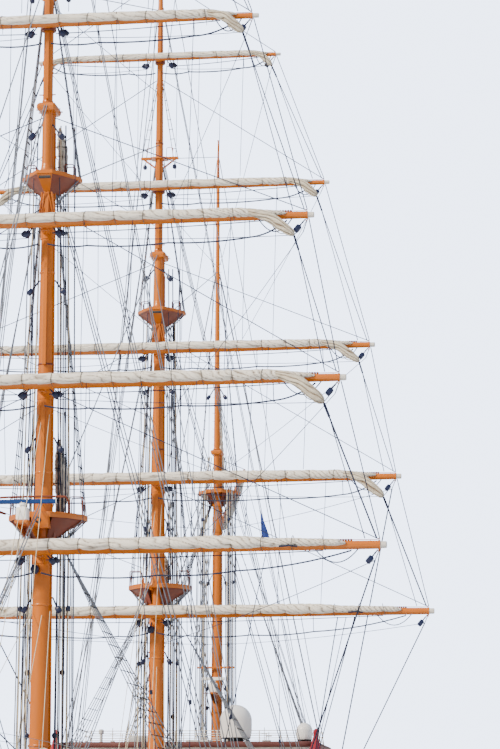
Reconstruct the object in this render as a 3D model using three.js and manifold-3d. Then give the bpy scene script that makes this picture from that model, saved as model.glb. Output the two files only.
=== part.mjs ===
// Three-masted barque of the sail-training kind, afloat with her square sails furled: a 1:10 scale model.
// Millimetres at model scale. +Z is up, the bow points to -Y and port is +X.
// The origin is on the centreline at the waterline, on the axis of the main mast.
import * as THREE from "three";
import { mergeVertices } from "three/addons/utils/BufferGeometryUtils.js";
import Module from "manifold-3d";

const wasm = await Module();
wasm.setup();

// Running gap between touching pieces, and the clearance of a pin in its lugs.
const GAP = 0.3;
const PIN_GAP = 0.5;

// Hull stations, bow to stern: place, half breadth at the upper deck, half breadth at the waterline,
// height of the keel or stem line, fullness of the bilge and flare of the topsides.
const STATION = ["y", "deck", "water", "keel", "bilge", "flare"];
const HULL_STATIONS = [
  [-4200, 16, 0, 560, 1.5, 1.3],
  [-4080, 95, 0, 380, 1.5, 1.3],
  [-3900, 195, 0, 170, 1.5, 1.3],
  [-3700, 275, 0, 0, 1.5, 1.3],
  [-3500, 335, 50, -230, 1.5, 1.3],
  [-3200, 410, 150, -430, 1.6, 1.2],
  [-2600, 500, 340, -500, 2.2, 1.1],
  [-1600, 575, 530, -520, 3.2, 1.0],
  [0, 590, 600, -530, 3.6, 1.0],
  [1200, 590, 590, -520, 3.0, 1.0],
  [2200, 560, 480, -480, 2.0, 0.9],
  [3000, 490, 270, -240, 1.6, 0.8],
  [3400, 420, 90, -60, 1.5, 0.65],
  [3700, 315, 0, 140, 1.5, 0.5],
  [3830, 215, 0, 270, 1.5, 0.45],
  [3880, 120, 0, 400, 1.5, 0.45],
];
const KEEL_HALF = 6;
const MAIN_DECK_MIDSHIP = 270;
const SHEER_LOW_Y = -200;
const SHEER_SPAN = 3900;
const SHEER_RISE_BOW = 130;
const SHEER_RISE_STERN = 70;
const RAISED_DECK = 215;
const BULWARK_HEIGHT = 130;
const BULWARK_THICK = 10;
const FORECASTLE_END = -2780;
const QUARTERDECK_START = 600;
const BOW_Y = HULL_STATIONS[0][0];
const STERN_Y = HULL_STATIONS[HULL_STATIONS.length - 1][0];

// Masts: place, radius at the deck and at the head of the lower mast.
const MASTS = {
  fore: { y: -2350, deckRadius: 40, headRadius: 21 },
  main: { y: 0, deckRadius: 38, headRadius: 21 },
  mizzen: { y: 1770, deckRadius: 30, headRadius: 22 },
};
const TOP_Z = 1490;
const CROSSTREES_Z = 2700;
const CAP_Z = 2930;
const CAP_HEIGHT = 26;
const CAP_FORWARD = 34;
const TRUCK_Z = 4530;
const SPREADER_Z = 3380;
const TOPGALLANT_FOOT_RADIUS = 17.5;
const TOPGALLANT_TRUCK_RADIUS = 8;
const DOUBLING_GAP = 4;
const MIZZEN_TOP_Z = 2145;
const MIZZEN_CAP_Z = 2330;
const MIZZEN_TRUCK_Z = 3950;

// Yards of a square-rigged mast: height, length, radius amidships and at the arm, distance of the yard
// ahead of the axis it turns on, radius of the furled sail, and where the clew hangs, as shares of the half length.
const YARD = ["name", "z", "length", "middle", "arm", "ahead", "furl", "clewFrom", "clewTo", "clewDrop"];
const YARDS = [
  ["course", 1365, 2400, 20, 14, 44, 19, 0.57, 0.64, 46],
  ["lower_topsail", 1940, 2130, 19, 13, 42, 18, 0.8, 0.93, 92],
  ["upper_topsail", 2513, 1910, 18, 12, 40, 16, 0.79, 0.93, 78],
  ["topgallant", 3240, 1520, 14, 10, 47, 15, 0.8, 0.93, 68],
  ["royal", 3830, 1090, 11, 8, 40, 12, 0.8, 0.93, 58],
];
const TRUSSED_YARDS = 3;
const TRUSS_AHEAD = 34;
const TRUSS_BARREL_RADIUS = 9;
const TRUSS_BARREL_HEIGHT = 26;
const LUG_THICK = 8;
const YARD_TIP = 22;
const PARREL_THICK = 6;
const PARREL_HEIGHT = 30;

// A closed indexed geometry as a solid for joining and cutting.
function solidOf(geometry) {
  const plain = geometry.clone();
  for (const name of Object.keys(plain.attributes)) {
    if (name !== "position") {
      plain.deleteAttribute(name);
    }
  }
  const merged = mergeVertices(plain, 1e-3);
  return new wasm.Manifold(
    new wasm.Mesh({
      numProp: 3,
      vertProperties: merged.attributes.position.array,
      triVerts: new Uint32Array(merged.index.array),
    }),
  );
}

function geometryOf(solid) {
  const mesh = solid.getMesh();
  const vertices = new Float32Array(mesh.numVert * 3);
  for (let i = 0; i < mesh.numVert; i++) {
    vertices.set(mesh.vertProperties.subarray(i * mesh.numProp, i * mesh.numProp + 3), i * 3);
  }
  return new THREE.BufferGeometry()
    .setAttribute("position", new THREE.BufferAttribute(vertices, 3))
    .setIndex(new THREE.BufferAttribute(mesh.triVerts, 1));
}

function join(...geometries) {
  return geometries.map(solidOf).reduce((all, next) => all.add(next));
}

// Triangles that fill one flat ring, in the ring's own turning sense.
function capTriangles(ring) {
  const normal = new THREE.Vector3();
  ring.forEach((p, i) => {
    const q = ring[(i + 1) % ring.length];
    normal.add(new THREE.Vector3().crossVectors(p, q));
  });
  const [ax, ay, az] = normal.toArray().map(Math.abs);
  const flat = ring.map((p) => {
    if (ay >= ax && ay >= az) {
      return new THREE.Vector2(p.x, p.z);
    }
    return ax >= az ? new THREE.Vector2(p.y, p.z) : new THREE.Vector2(p.x, p.y);
  });
  const turn = THREE.ShapeUtils.area(flat);
  return THREE.ShapeUtils.triangulateShape(flat, []).map(([a, b, c]) => {
    const side = THREE.ShapeUtils.area([flat[a], flat[b], flat[c]]);
    return side * turn > 0 ? [a, b, c] : [a, c, b];
  });
}

// A closed skin over rings of equally many points, each ring flat.
function skin(rings) {
  const count = rings[0].length;
  const positions = rings.flat().flatMap((p) => [p.x, p.y, p.z]);
  const faces = [];
  rings.slice(1).forEach((_, r) => {
    for (let i = 0; i < count; i++) {
      const a = r * count + i;
      const b = r * count + ((i + 1) % count);
      faces.push(a, b, b + count, a, b + count, a + count);
    }
  });
  const last = (rings.length - 1) * count;
  for (const [a, b, c] of capTriangles(rings[0])) {
    faces.push(a, c, b);
  }
  for (const [a, b, c] of capTriangles(rings[rings.length - 1])) {
    faces.push(last + a, last + b, last + c);
  }
  const geometry = new THREE.BufferGeometry();
  geometry.setAttribute("position", new THREE.Float32BufferAttribute(positions, 3));
  geometry.setIndex(faces);
  const volume = new wasm.Manifold(
    new wasm.Mesh({
      numProp: 3,
      vertProperties: geometry.attributes.position.array,
      triVerts: new Uint32Array(faces),
    }),
  ).volume();
  if (volume < 0) {
    for (let i = 0; i < faces.length; i += 3) {
      [faces[i + 1], faces[i + 2]] = [faces[i + 2], faces[i + 1]];
    }
    geometry.setIndex(faces);
  }
  return geometry;
}

function box(x0, x1, y0, y1, z0, z1) {
  return new THREE.BoxGeometry(x1 - x0, y1 - y0, z1 - z0).translate((x0 + x1) / 2, (y0 + y1) / 2, (z0 + z1) / 2);
}

// A round bar between two points, tapering from one radius to the other.
function bar(from, to, fromRadius, toRadius = fromRadius, sides = 12) {
  const start = new THREE.Vector3(...from);
  const run = new THREE.Vector3(...to).sub(start);
  const turn = new THREE.Quaternion().setFromUnitVectors(new THREE.Vector3(0, 1, 0), run.clone().normalize());
  return new THREE.CylinderGeometry(toRadius, fromRadius, run.length(), sides)
    .applyQuaternion(turn)
    .translate(...start.addScaledVector(run, 0.5).toArray());
}

// A bar that follows points, each with its own radius, in rings that lie across the X, Y or Z axis.
function spar(points, across, sides = 12) {
  return skin(
    points.map(({ at, radius }) =>
      Array.from({ length: sides }, (_, i) => {
        const angle = ((i + 0.5) / sides) * 2 * Math.PI;
        const a = radius * Math.cos(angle);
        const b = radius * Math.sin(angle);
        const offset = { x: [0, a, b], y: [a, 0, b], z: [a, b, 0] }[across];
        return new THREE.Vector3(at[0] + offset[0], at[1] + offset[1], at[2] + offset[2]);
      }),
    ),
  );
}

// A flat plate from an outline in X and Y, standing from z0 to z1.
function plate(outline, z0, z1) {
  return new THREE.ExtrudeGeometry(new THREE.Shape(outline.map(([x, y]) => new THREE.Vector2(x, y))), {
    depth: z1 - z0,
    bevelEnabled: false,
  }).translate(0, 0, z0);
}

// An upright plate from an outline in Y and Z, centred on x and so thick.
function finPlate(outline, x, thick) {
  return new THREE.ExtrudeGeometry(new THREE.Shape(outline.map(([y, z]) => new THREE.Vector2(y, z))), {
    depth: thick,
    bevelEnabled: false,
  })
    .applyMatrix4(new THREE.Matrix4().set(0, 0, 1, 0, 1, 0, 0, 0, 0, 1, 0, 0, 0, 0, 0, 1))
    .translate(x - thick / 2, 0, 0);
}

// A smooth curve through one column of the station table that never overshoots it.
function column(name) {
  const c = STATION.indexOf(name);
  const ys = HULL_STATIONS.map((s) => s[0]);
  const vs = HULL_STATIONS.map((s) => s[c]);
  const slopes = ys.slice(1).map((y, i) => (vs[i + 1] - vs[i]) / (y - ys[i]));
  const tangents = ys.map((_, i) => {
    const before = slopes[Math.max(i - 1, 0)];
    const after = slopes[Math.min(i, slopes.length - 1)];
    return before * after <= 0 ? 0 : (2 * before * after) / (before + after);
  });
  return (y) => {
    const i = Math.min(Math.max(ys.findIndex((v) => v > y) - 1, 0), ys.length - 2);
    const last = y >= ys[ys.length - 2] ? ys.length - 2 : i;
    const h = ys[last + 1] - ys[last];
    const t = (y - ys[last]) / h;
    return (
      vs[last] * (1 + 2 * t) * (1 - t) ** 2 +
      tangents[last] * h * t * (1 - t) ** 2 +
      vs[last + 1] * t * t * (3 - 2 * t) +
      tangents[last + 1] * h * t * t * (t - 1)
    );
  };
}

const deckHalf = column("deck");
const waterHalf = column("water");
const keelZ = column("keel");
const bilge = column("bilge");
const flare = column("flare");

function mainDeckZ(y) {
  const away = (y - SHEER_LOW_Y) / SHEER_SPAN;
  return MAIN_DECK_MIDSHIP + (away < 0 ? SHEER_RISE_BOW : SHEER_RISE_STERN) * away * away;
}

const raisedDeckZ = (y) => mainDeckZ(y) + RAISED_DECK;

// Half breadth of the hull's skin at a place and height.
function sideX(y, z) {
  const keel = keelZ(y);
  const water = waterHalf(y);
  if (z >= 0 || keel >= 0) {
    const low = Math.max(keel, 0);
    const share = Math.max((z - low) / (raisedDeckZ(y) - low), 0);
    return KEEL_HALF + water + (deckHalf(y) - water) * share ** flare(y);
  }
  return KEEL_HALF + water * Math.sqrt(Math.max(1 - (z / keel) ** bilge(y), 0));
}

// Places along the hull, closer together towards the ends.
function stationsBetween(y0, y1, count) {
  return Array.from({ length: count + 1 }, (_, i) => y0 + ((y1 - y0) * (1 - Math.cos((Math.PI * i) / count))) / 2);
}

// The hull's own form between two heights, each a function of the place.
function hullBlock(y0, y1, count, low, high, levels) {
  return skin(
    stationsBetween(y0, y1, count).map((y) => {
      const z0 = low(y);
      const z1 = high(y);
      const side = Array.from({ length: levels + 1 }, (_, j) => {
        const z = z0 + (z1 - z0) * (j / levels) ** 0.8;
        return [sideX(y, z), z];
      });
      return [
        ...side.map(([x, z]) => new THREE.Vector3(x, y, z)),
        ...side.reverse().map(([x, z]) => new THREE.Vector3(-x, y, z)),
      ];
    }),
  );
}

// Plated hull with skeg, stern tube, sole piece and rudder trunk.
const SKEG_THICK = 26;
const STERNPOST_Y = 3000;
const SHAFT_Z = -375;
const SOLE_Z = -532;
const SOLE_THICK = 14;
const RUDDER_AXIS_Y = 3140;
const RUDDER_TRUNK_Z = -205;

// Where the stem or the counter rises through the upper deck, looking from one end of the ship.
function deckEnd(from, step) {
  let y = from;
  while (mainDeckZ(y) - keelZ(y) < 14) {
    y += step;
  }
  return y;
}

function makeHull() {
  const shell = solidOf(hullBlock(deckEnd(BOW_Y, 5), deckEnd(STERN_Y, -5), 34, keelZ, mainDeckZ, 8));
  const skeg = finPlate(
    [
      [1500, SOLE_Z],
      [STERNPOST_Y, SOLE_Z],
      [STERNPOST_Y, -220],
      [2300, -440],
      [1500, -490],
    ],
    0,
    SKEG_THICK,
  );
  const tube = bar([0, 2900, SHAFT_Z], [0, STERNPOST_Y + 8, SHAFT_Z], 20, 20, 16);
  const sole = box(-14, 14, STERNPOST_Y - 40, RUDDER_AXIS_Y + 30, SOLE_Z - SOLE_THICK, SOLE_Z);
  const trunk = bar([0, RUDDER_AXIS_Y, RUDDER_TRUNK_Z], [0, RUDDER_AXIS_Y, -60], 17, 17, 16);
  return shell.add(join(skeg, tube, sole, trunk));
}

const hullSolid = makeHull();
const deckFrom = (y0, y1, count) =>
  solidOf(hullBlock(y0, y1, count, (y) => Math.max(mainDeckZ(y) + GAP, keelZ(y)), raisedDeckZ, 3));
const forecastleSolid = deckFrom(BOW_Y, FORECASTLE_END, 14);
const quarterdeckSolid = deckFrom(QUARTERDECK_START, STERN_Y, 18);
const shipSolid = hullSolid.add(forecastleSolid).add(quarterdeckSolid);

// The largest body of a solid, without the crumbs that a cut can leave.
const largestOf = (solid) => solid.decompose().sort((a, b) => b.volume() - a.volume())[0];

// Cuts a piece where it meets the hull or a raised deck, leaving the running gap above it.
const seated = (solid) => largestOf(solid.subtract(shipSolid.translate([0, 0, GAP])));

// Plated wall along one side of the waist, with its rail on top.
function bulwark(side) {
  const inner = 1;
  return skin(
    stationsBetween(FORECASTLE_END + inner, QUARTERDECK_START - inner, 16).map((y) => {
      const foot = mainDeckZ(y) + GAP;
      const head = mainDeckZ(y) + BULWARK_HEIGHT;
      const railFoot = head - 7;
      const outline = [
        [sideX(y, foot) - BULWARK_THICK, foot],
        [sideX(y, foot), foot],
        [sideX(y, railFoot), railFoot],
        [sideX(y, railFoot) + 5, railFoot],
        [sideX(y, head) + 5, head],
        [sideX(y, head) - BULWARK_THICK - 6, head],
        [sideX(y, railFoot) - BULWARK_THICK - 6, railFoot],
        [sideX(y, railFoot) - BULWARK_THICK, railFoot],
      ];
      return outline.map(([x, z]) => new THREE.Vector3(side * x, y, z));
    }),
  );
}

// Deckhouse before the main mast, with a coaming and an overhanging top.
const DECKHOUSE = { y0: -1700, y1: -880, half: 230, top: 512, eave: 14, eaveThick: 9 };

function deckhouse() {
  const { y0, y1, half, top, eave, eaveThick } = DECKHOUSE;
  const walls = box(-half, half, y0, y1, 230, top);
  const roof = box(-half - eave, half + eave, y0 - eave, y1 + eave, top - eaveThick, top);
  return seated(join(walls, roof));
}

// Deckhouse on the quarterdeck with the wheelhouse on it, and the full-width bridge top.
const BRIDGE = { y0: 860, y1: 1460, half: 440, floor: 649, wallTop: 843, roofHalf: 600, roofThick: 26, overhang: 46 };
const WHEELHOUSE = { y0: 900, y1: 1400, half: 420, wingHalf: 572, wingThick: 9 };

function bridgeHouse() {
  const { y0, y1, half, floor, wallTop } = BRIDGE;
  const lower = box(-half, half, y0, y1, 420, floor);
  const upper = box(-WHEELHOUSE.half, WHEELHOUSE.half, WHEELHOUSE.y0, WHEELHOUSE.y1, floor - 1, wallTop);
  const wings = box(-WHEELHOUSE.wingHalf, WHEELHOUSE.wingHalf, y0 - 20, y1 - 120, floor - WHEELHOUSE.wingThick, floor);
  const posts = [-1, 1].flatMap((s) =>
    [y0 - 8, y1 - 132].map((y) =>
      box(s * (WHEELHOUSE.wingHalf - 6) - 6, s * (WHEELHOUSE.wingHalf - 6) + 6, y - 6, y + 6, 420, wallTop),
    ),
  );
  return seated(join(lower, upper, wings, ...posts));
}

function bridgeRoof() {
  const { y0, y1, wallTop, roofHalf, roofThick, overhang } = BRIDGE;
  const corner = 60;
  const shape = new THREE.Shape();
  const left = -roofHalf;
  const front = y0 - overhang;
  const back = y1 + overhang;
  shape.moveTo(left + corner, front);
  shape.lineTo(roofHalf - corner, front);
  shape.quadraticCurveTo(roofHalf, front, roofHalf, front + corner);
  shape.lineTo(roofHalf, back);
  shape.lineTo(left, back);
  shape.lineTo(left, front + corner);
  shape.quadraticCurveTo(left, front, left + corner, front);
  return new THREE.ExtrudeGeometry(shape, { depth: roofThick, bevelEnabled: false, curveSegments: 5 }).translate(
    0,
    0,
    wallTop + GAP,
  );
}

// Aerial dome on a short foot, standing on the bridge top.
function radome(radius, footHeight) {
  const profile = [
    [0, 0],
    [radius * 0.62, 0],
    [radius * 0.62, footHeight],
    [radius * 0.9, footHeight],
    [radius, footHeight + radius * 0.45],
    [radius, footHeight + radius * 1.08],
  ];
  const crown = 7;
  for (let i = 1; i <= crown; i++) {
    const angle = (i / crown) * (Math.PI / 2);
    profile.push([radius * Math.cos(angle), footHeight + radius * (1.08 + Math.sin(angle))]);
  }
  profile[profile.length - 1][0] = 0;
  return new THREE.LatheGeometry(
    profile.map(([r, z]) => new THREE.Vector2(r, z)),
    20,
  ).rotateX(Math.PI / 2);
}

// Open pulling boat under its cover, and the pair of davits that carries it.
const BOAT = { y: 2640, length: 600, half: 92, x: 395, keelZ: 566, depth: 105 };

function boat() {
  const count = 10;
  const rings = Array.from({ length: count + 1 }, (_, i) => {
    const t = (i / count) * 2 - 1;
    const half = 4 + (BOAT.half - 4) * Math.sqrt(Math.max(1 - t * t, 0));
    const keel = BOAT.keelZ + 34 * t ** 4;
    const rail = BOAT.keelZ + BOAT.depth + 18 * t * t;
    const bottom = [
      [0.12, 0],
      [0.72, 0.2],
      [0.97, 0.6],
      [1, 0.93],
      [0.7, 1.08],
      [0.25, 1.14],
    ];
    const side = bottom.map(([x, z]) => [x * half, keel + (rail - keel) * z]);
    const y = (t * BOAT.length) / 2;
    return [
      ...side.map(([x, z]) => new THREE.Vector3(x, y, z)),
      ...side.reverse().map(([x, z]) => new THREE.Vector3(-x, y, z)),
    ];
  });
  return skin(rings);
}

function davits(side) {
  const bases = [-170, 170].map((dy) => {
    const y = BOAT.y + dy;
    const foot = raisedDeckZ(y) - 6;
    const inner = BOAT.x - BOAT.half - 34;
    const chock = box(BOAT.x - 60, BOAT.x + 60, y - 7, y + 7, foot, BOAT.keelZ + 22);
    const post = box(inner - 9, inner + 9, y - 9, y + 9, foot, BOAT.keelZ + 130);
    const arm = bar([inner, y, BOAT.keelZ + 130], [BOAT.x, y, BOAT.keelZ + 152], 8, 6, 8);
    const tie = box(inner - 9, BOAT.x - 50, y - 7, y + 7, foot, foot + 22);
    return join(chock, post, arm, tie);
  });
  const cradle = solidOf(boat()).translate([BOAT.x, BOAT.y, -GAP]);
  const y0 = BOAT.y - 178;
  const y1 = BOAT.y + 178;
  const inner = BOAT.x - BOAT.half - 34;
  const beam = skin(
    [y0, y1].map((y) => {
      const z = raisedDeckZ(y) + 30;
      return [
        new THREE.Vector3(inner - 5, y, z),
        new THREE.Vector3(inner + 5, y, z),
        new THREE.Vector3(inner + 5, y, z + 10),
        new THREE.Vector3(inner - 5, y, z + 10),
      ];
    }),
  );
  const pair = seated(bases[0].add(bases[1]).add(solidOf(beam)).subtract(cradle));
  return side > 0 ? pair : pair.mirror([1, 0, 0]);
}

// Rudder on its stock, between the trunk and the sole piece.
function rudder() {
  const blade = skin(
    [-516, -236].map((z) =>
      [
        [-34, 0],
        [-20, 11],
        [20, 13],
        [118, 3],
        [118, -3],
        [20, -13],
        [-20, -11],
      ].map(([dy, x]) => new THREE.Vector3(x, RUDDER_AXIS_Y + dy, z)),
    ),
  );
  const stock = bar([0, RUDDER_AXIS_Y, -250], [0, RUDDER_AXIS_Y, RUDDER_TRUNK_Z - PIN_GAP], 10, 10, 16);
  const pintle = bar([0, RUDDER_AXIS_Y, SOLE_Z + PIN_GAP], [0, RUDDER_AXIS_Y, -510], 8, 8, 16);
  return join(blade, stock, pintle);
}

// Four-bladed screw behind the stern tube.
const SCREW = { y: 3046, radius: 112, hub: 17, blades: 4 };

function propeller() {
  const hub = bar([0, STERNPOST_Y + 8 + PIN_GAP, SHAFT_Z], [0, SCREW.y + 26, SHAFT_Z], SCREW.hub, 9, 16);
  const blades = Array.from({ length: SCREW.blades }, (_, i) => {
    const rings = [0.08, 0.45, 0.8, 1].map((share) => {
      const radius = share * SCREW.radius;
      const chord = [20, 44, 40, 14][[0.08, 0.45, 0.8, 1].indexOf(share)];
      const twist = THREE.MathUtils.degToRad(62 - 38 * share);
      return [
        [-chord, -2],
        [chord, -2],
        [chord, 2],
        [-chord, 2],
      ].map(
        ([c, t]) =>
          new THREE.Vector3(
            c * Math.cos(twist) - t * Math.sin(twist),
            c * Math.sin(twist) + t * Math.cos(twist),
            radius,
          ),
      );
    });
    return skin(rings)
      .rotateY((i / SCREW.blades) * 2 * Math.PI + Math.PI / 4)
      .translate(0, SCREW.y, SHAFT_Z);
  });
  return join(hub, ...blades);
}

// Steering wheel with its spokes, turning on the head of its box.
const HELM = { y: 3060, z: 640, radius: 78, spokes: 8 };

function helmWheel() {
  const rim = new THREE.TorusGeometry(HELM.radius * 0.8, 5, 6, 24).rotateX(Math.PI / 2);
  const spokes = Array.from({ length: HELM.spokes }, (_, i) => {
    const angle = (i / HELM.spokes) * 2 * Math.PI;
    const end = [HELM.radius * Math.cos(angle), 0, HELM.radius * Math.sin(angle)];
    return bar([0, 0, 0], end, 3.2, 2.6, 6);
  });
  const hub = bar([0, -13, 0], [0, 9, 0], 13, 13, 16);
  return join(rim, hub, ...spokes).translate([0, HELM.y, HELM.z]);
}

// Steering box, binnacle and after companion in one fixed piece.
function steeringBox() {
  const casing = box(-38, 38, HELM.y + 9 + PIN_GAP, HELM.y + 96, 480, HELM.z + 26);
  return seated(solidOf(casing));
}

// Stockless anchor drawn up against the bow.
function anchor(side) {
  const y = -3640;
  const z = 330;
  const x = sideX(y, z);
  const shank = bar([x - 20, y - 6, z + 70], [x + 14, y + 6, z - 36], 8, 10, 10);
  const crown = box(x - 30, x + 26, y - 46, y + 46, z - 62, z - 34);
  const flukes = [-1, 1].map((s) => bar([x - 4, y + s * 36, z - 48], [x + 14, y + s * 52, z + 38], 11, 3, 8));
  const whole = join(shank, crown, ...flukes);
  const made = whole.subtract(hullSolid.translate([0.4, 0, 0])).subtract(forecastleSolid.translate([0.4, 0, 0]));
  return side > 0 ? largestOf(made) : largestOf(made).mirror([1, 0, 0]);
}

// Windlass on the forecastle: bed, barrel and two drums.
function windlass() {
  const y = -3380;
  const deck = raisedDeckZ(y);
  const bed = box(-120, 120, y - 40, y + 40, deck - 20, deck + 14);
  const barrel = bar([-150, y, deck + 46], [150, y, deck + 46], 20, 20, 16);
  const cheeks = [-104, 0, 104].map((x) => box(x - 9, x + 9, y - 26, y + 26, deck, deck + 72));
  const drums = [-128, 60].map((x) => bar([x - 14, y, deck + 46], [x + 14, y, deck + 46], 34, 34, 16));
  return seated(join(bed, barrel, ...cheeks, ...drums));
}

// Steel bowsprit with its heel on the forecastle and a bed under it.
const BOWSPRIT = { heelY: -3900, heelZ: 652, tipY: -5050, tipZ: 1020, heelRadius: 30, tipRadius: 14 };
const bowspritAt = (y) =>
  BOWSPRIT.heelZ + ((BOWSPRIT.tipZ - BOWSPRIT.heelZ) * (BOWSPRIT.heelY - y)) / (BOWSPRIT.heelY - BOWSPRIT.tipY);

function bowsprit() {
  const { heelY, heelZ, tipY, tipZ, heelRadius, tipRadius } = BOWSPRIT;
  const boom = bar([0, heelY, heelZ], [0, tipY, tipZ], heelRadius, tipRadius, 16);
  const bed = box(-26, 26, heelY - 120, heelY + 8, 540, heelZ - 6);
  const gammon = box(-16, 16, -4150, -4110, 580, bowspritAt(-4130));
  const striker = bar([0, -4620, bowspritAt(-4620)], [0, -4600, bowspritAt(-4620) - 190], 9, 6, 8);
  return seated(join(boom, bed, gammon, striker));
}

// Outline of a working platform round a mast, at a share of its full size.
function platformOutline(y, half, forward, aft, share = 1) {
  return [
    [-half * 0.26, -forward],
    [half * 0.26, -forward],
    [half * 0.64, -forward * 0.35],
    [half * 0.97, aft * 0.35],
    [half, aft * 0.72],
    [half * 0.8, aft],
    [-half * 0.8, aft],
    [-half, aft * 0.72],
    [-half * 0.97, aft * 0.35],
    [-half * 0.64, -forward * 0.35],
  ].map(([px, py]) => [px * share, y + py * share]);
}

// Crosstrees: a platform on a faceted bowl that narrows to the mast beneath.
function crosstreesBowl(y, z, half, forward, aft, thick = 8, drop = 62) {
  const ring = (share, height) =>
    platformOutline(y, half, forward, aft, share).map(([px, py]) => new THREE.Vector3(px, py, height));
  const neck = 0.34;
  return skin([ring(neck, z - drop), ring(1, z), ring(1, z + thick)]);
}

// Lower top: half-round working platform with gussets under it.
function platform(y, z, half, forward, aft, mastRadius, thick = 9, drop = 84) {
  const deck = plate(platformOutline(y, half, forward, aft), z, z + thick);
  const gussets = [
    [0.96, 0.4],
    [-0.96, 0.4],
    [0.72, 0.86],
    [-0.72, 0.86],
  ].map(([gx, gy]) => {
    const reach = new THREE.Vector2(gx * half * 0.94, gy * aft * 0.94);
    const length = reach.length();
    return new THREE.ExtrudeGeometry(
      new THREE.Shape([
        new THREE.Vector2(mastRadius * 0.4, 1),
        new THREE.Vector2(mastRadius * 0.4, -drop),
        new THREE.Vector2(mastRadius + 8, -drop),
        new THREE.Vector2(length, -8),
        new THREE.Vector2(length, 1),
      ]),
      { depth: 6, bevelEnabled: false },
    )
      .translate(0, 0, -3)
      .rotateX(Math.PI / 2)
      .rotateZ(Math.atan2(reach.y, reach.x))
      .translate(0, y, z);
  });
  return join(deck, ...gussets);
}

const mastRadiusAt = (mast, z, foot, head) =>
  mast.deckRadius + ((mast.headRadius - mast.deckRadius) * (z - foot)) / (head - foot);
const topgallantAxisY = (mast) => mast.y - mast.headRadius - TOPGALLANT_FOOT_RADIUS - DOUBLING_GAP;

// Ahead of the mast, two lugs hold the truss pin of a fixed yard.
function trussLugs(mast, z, radius) {
  const pin = mast.y - radius - TRUSS_AHEAD;
  return [-1, 1].map((s) => {
    const near = z + s * (TRUSS_BARREL_HEIGHT / 2 + PIN_GAP);
    const far = near + s * LUG_THICK;
    return box(-13, 13, pin - 11, mast.y, Math.min(near, far), Math.max(near, far));
  });
}

// Steel lower mast and topmast in one, with top, crosstrees, cap and truss lugs.
function squareMast(mast) {
  const foot = mainDeckZ(mast.y) + GAP;
  const pole = bar([0, mast.y, foot - 20], [0, mast.y, CAP_Z + CAP_HEIGHT], mast.deckRadius, mast.headRadius, 24);
  const lugs = YARDS.slice(0, TRUSSED_YARDS).flatMap(([, z]) => trussLugs(mast, z, mastRadiusAt(mast, z, foot, CAP_Z)));
  const top = platform(mast.y, TOP_Z, 135, 56, 130, 34);
  const crosstrees = solidOf(crosstreesBowl(mast.y, CROSSTREES_Z, 104, 78, 96));
  const heelY = topgallantAxisY(mast);
  const cap = box(-34, 34, heelY - CAP_FORWARD, mast.y + 34, CAP_Z, CAP_Z + CAP_HEIGHT);
  const bore = bar([0, heelY, CAP_Z - 5], [0, heelY, CAP_Z + CAP_HEIGHT + 5], TOPGALLANT_FOOT_RADIUS + GAP, undefined, 24);
  return seated(join(pole, ...lugs, cap).add(top).add(crosstrees).subtract(solidOf(bore)));
}

// Radar stand ahead of the fore top, with its arm.
const RADAR_FORE = { x: -34, ahead: 178, z: 1513, half: 118 };
const RADAR_MIZZEN = { x: 0, ahead: 122, z: 1205, half: 56 };

function radarStand(mast, radar, fromY, width) {
  const y = mast.y - radar.ahead;
  const arm = box(radar.x - width / 2, radar.x + width / 2, y - 26, fromY, radar.z - 68, radar.z - 58);
  const pedestal = box(radar.x - 22, radar.x + 22, y - 22, y + 22, radar.z - 60, radar.z - 12);
  const neck = bar([radar.x, y, radar.z - 14], [radar.x, y, radar.z - 6 - PIN_GAP], 9, 9, 12);
  return join(arm, pedestal, neck);
}

function radarScanner(mast, radar) {
  const y = mast.y - radar.ahead;
  const beam = box(radar.x - radar.half, radar.x + radar.half, y - 6, y + 8, radar.z, radar.z + 15);
  const boss = bar([radar.x, y, radar.z - 6], [radar.x, y, radar.z + 3], 12, 12, 12);
  return join(beam, boss);
}

// Topgallant and royal mast in one pole, stepped ahead of the lower masthead.
function topgallantMast(mast) {
  const y = topgallantAxisY(mast);
  const heel = CROSSTREES_Z + 8 + GAP;
  const radii = [
    [heel, TOPGALLANT_FOOT_RADIUS],
    [CAP_Z + CAP_HEIGHT + 60, TOPGALLANT_FOOT_RADIUS],
    [SPREADER_Z, 17],
    [TRUCK_Z - 60, TOPGALLANT_TRUCK_RADIUS],
    [TRUCK_Z, 3],
  ];
  const pole = spar(
    radii.map(([z, radius]) => ({ at: [0, y, z], radius })),
    "z",
    24,
  );
  const arms = box(-84, 84, y + 4, y + 16, SPREADER_Z, SPREADER_Z + 12);
  const seat = box(-36, 36, y - 30, y + 30, SPREADER_Z - 2, SPREADER_Z + 5);
  const brace = [-1, 1].map((s) => bar([0, y + 8, SPREADER_Z - 52], [s * 72, y + 10, SPREADER_Z + 4], 5, 5, 8));
  return join(pole, arms, seat, ...brace);
}

// Mizzen mast and its pole topmast.
const GOOSENECK_Z = 790;
const GAFF_Z = 1985;

function hingeLugs(mast, z, radius) {
  const pin = mast.y + radius + TRUSS_AHEAD;
  return [-1, 1].map((s) => {
    const near = z + s * (TRUSS_BARREL_HEIGHT / 2 + PIN_GAP);
    const far = near + s * LUG_THICK;
    return box(-13, 13, mast.y, pin + 11, Math.min(near, far), Math.max(near, far));
  });
}

const mizzenFoot = raisedDeckZ(MASTS.mizzen.y);
const mizzenRadiusAt = (z) => mastRadiusAt(MASTS.mizzen, z, mizzenFoot, MIZZEN_CAP_Z);
const mizzenTopmastY = MASTS.mizzen.y - MASTS.mizzen.headRadius - 15 - DOUBLING_GAP;

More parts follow.
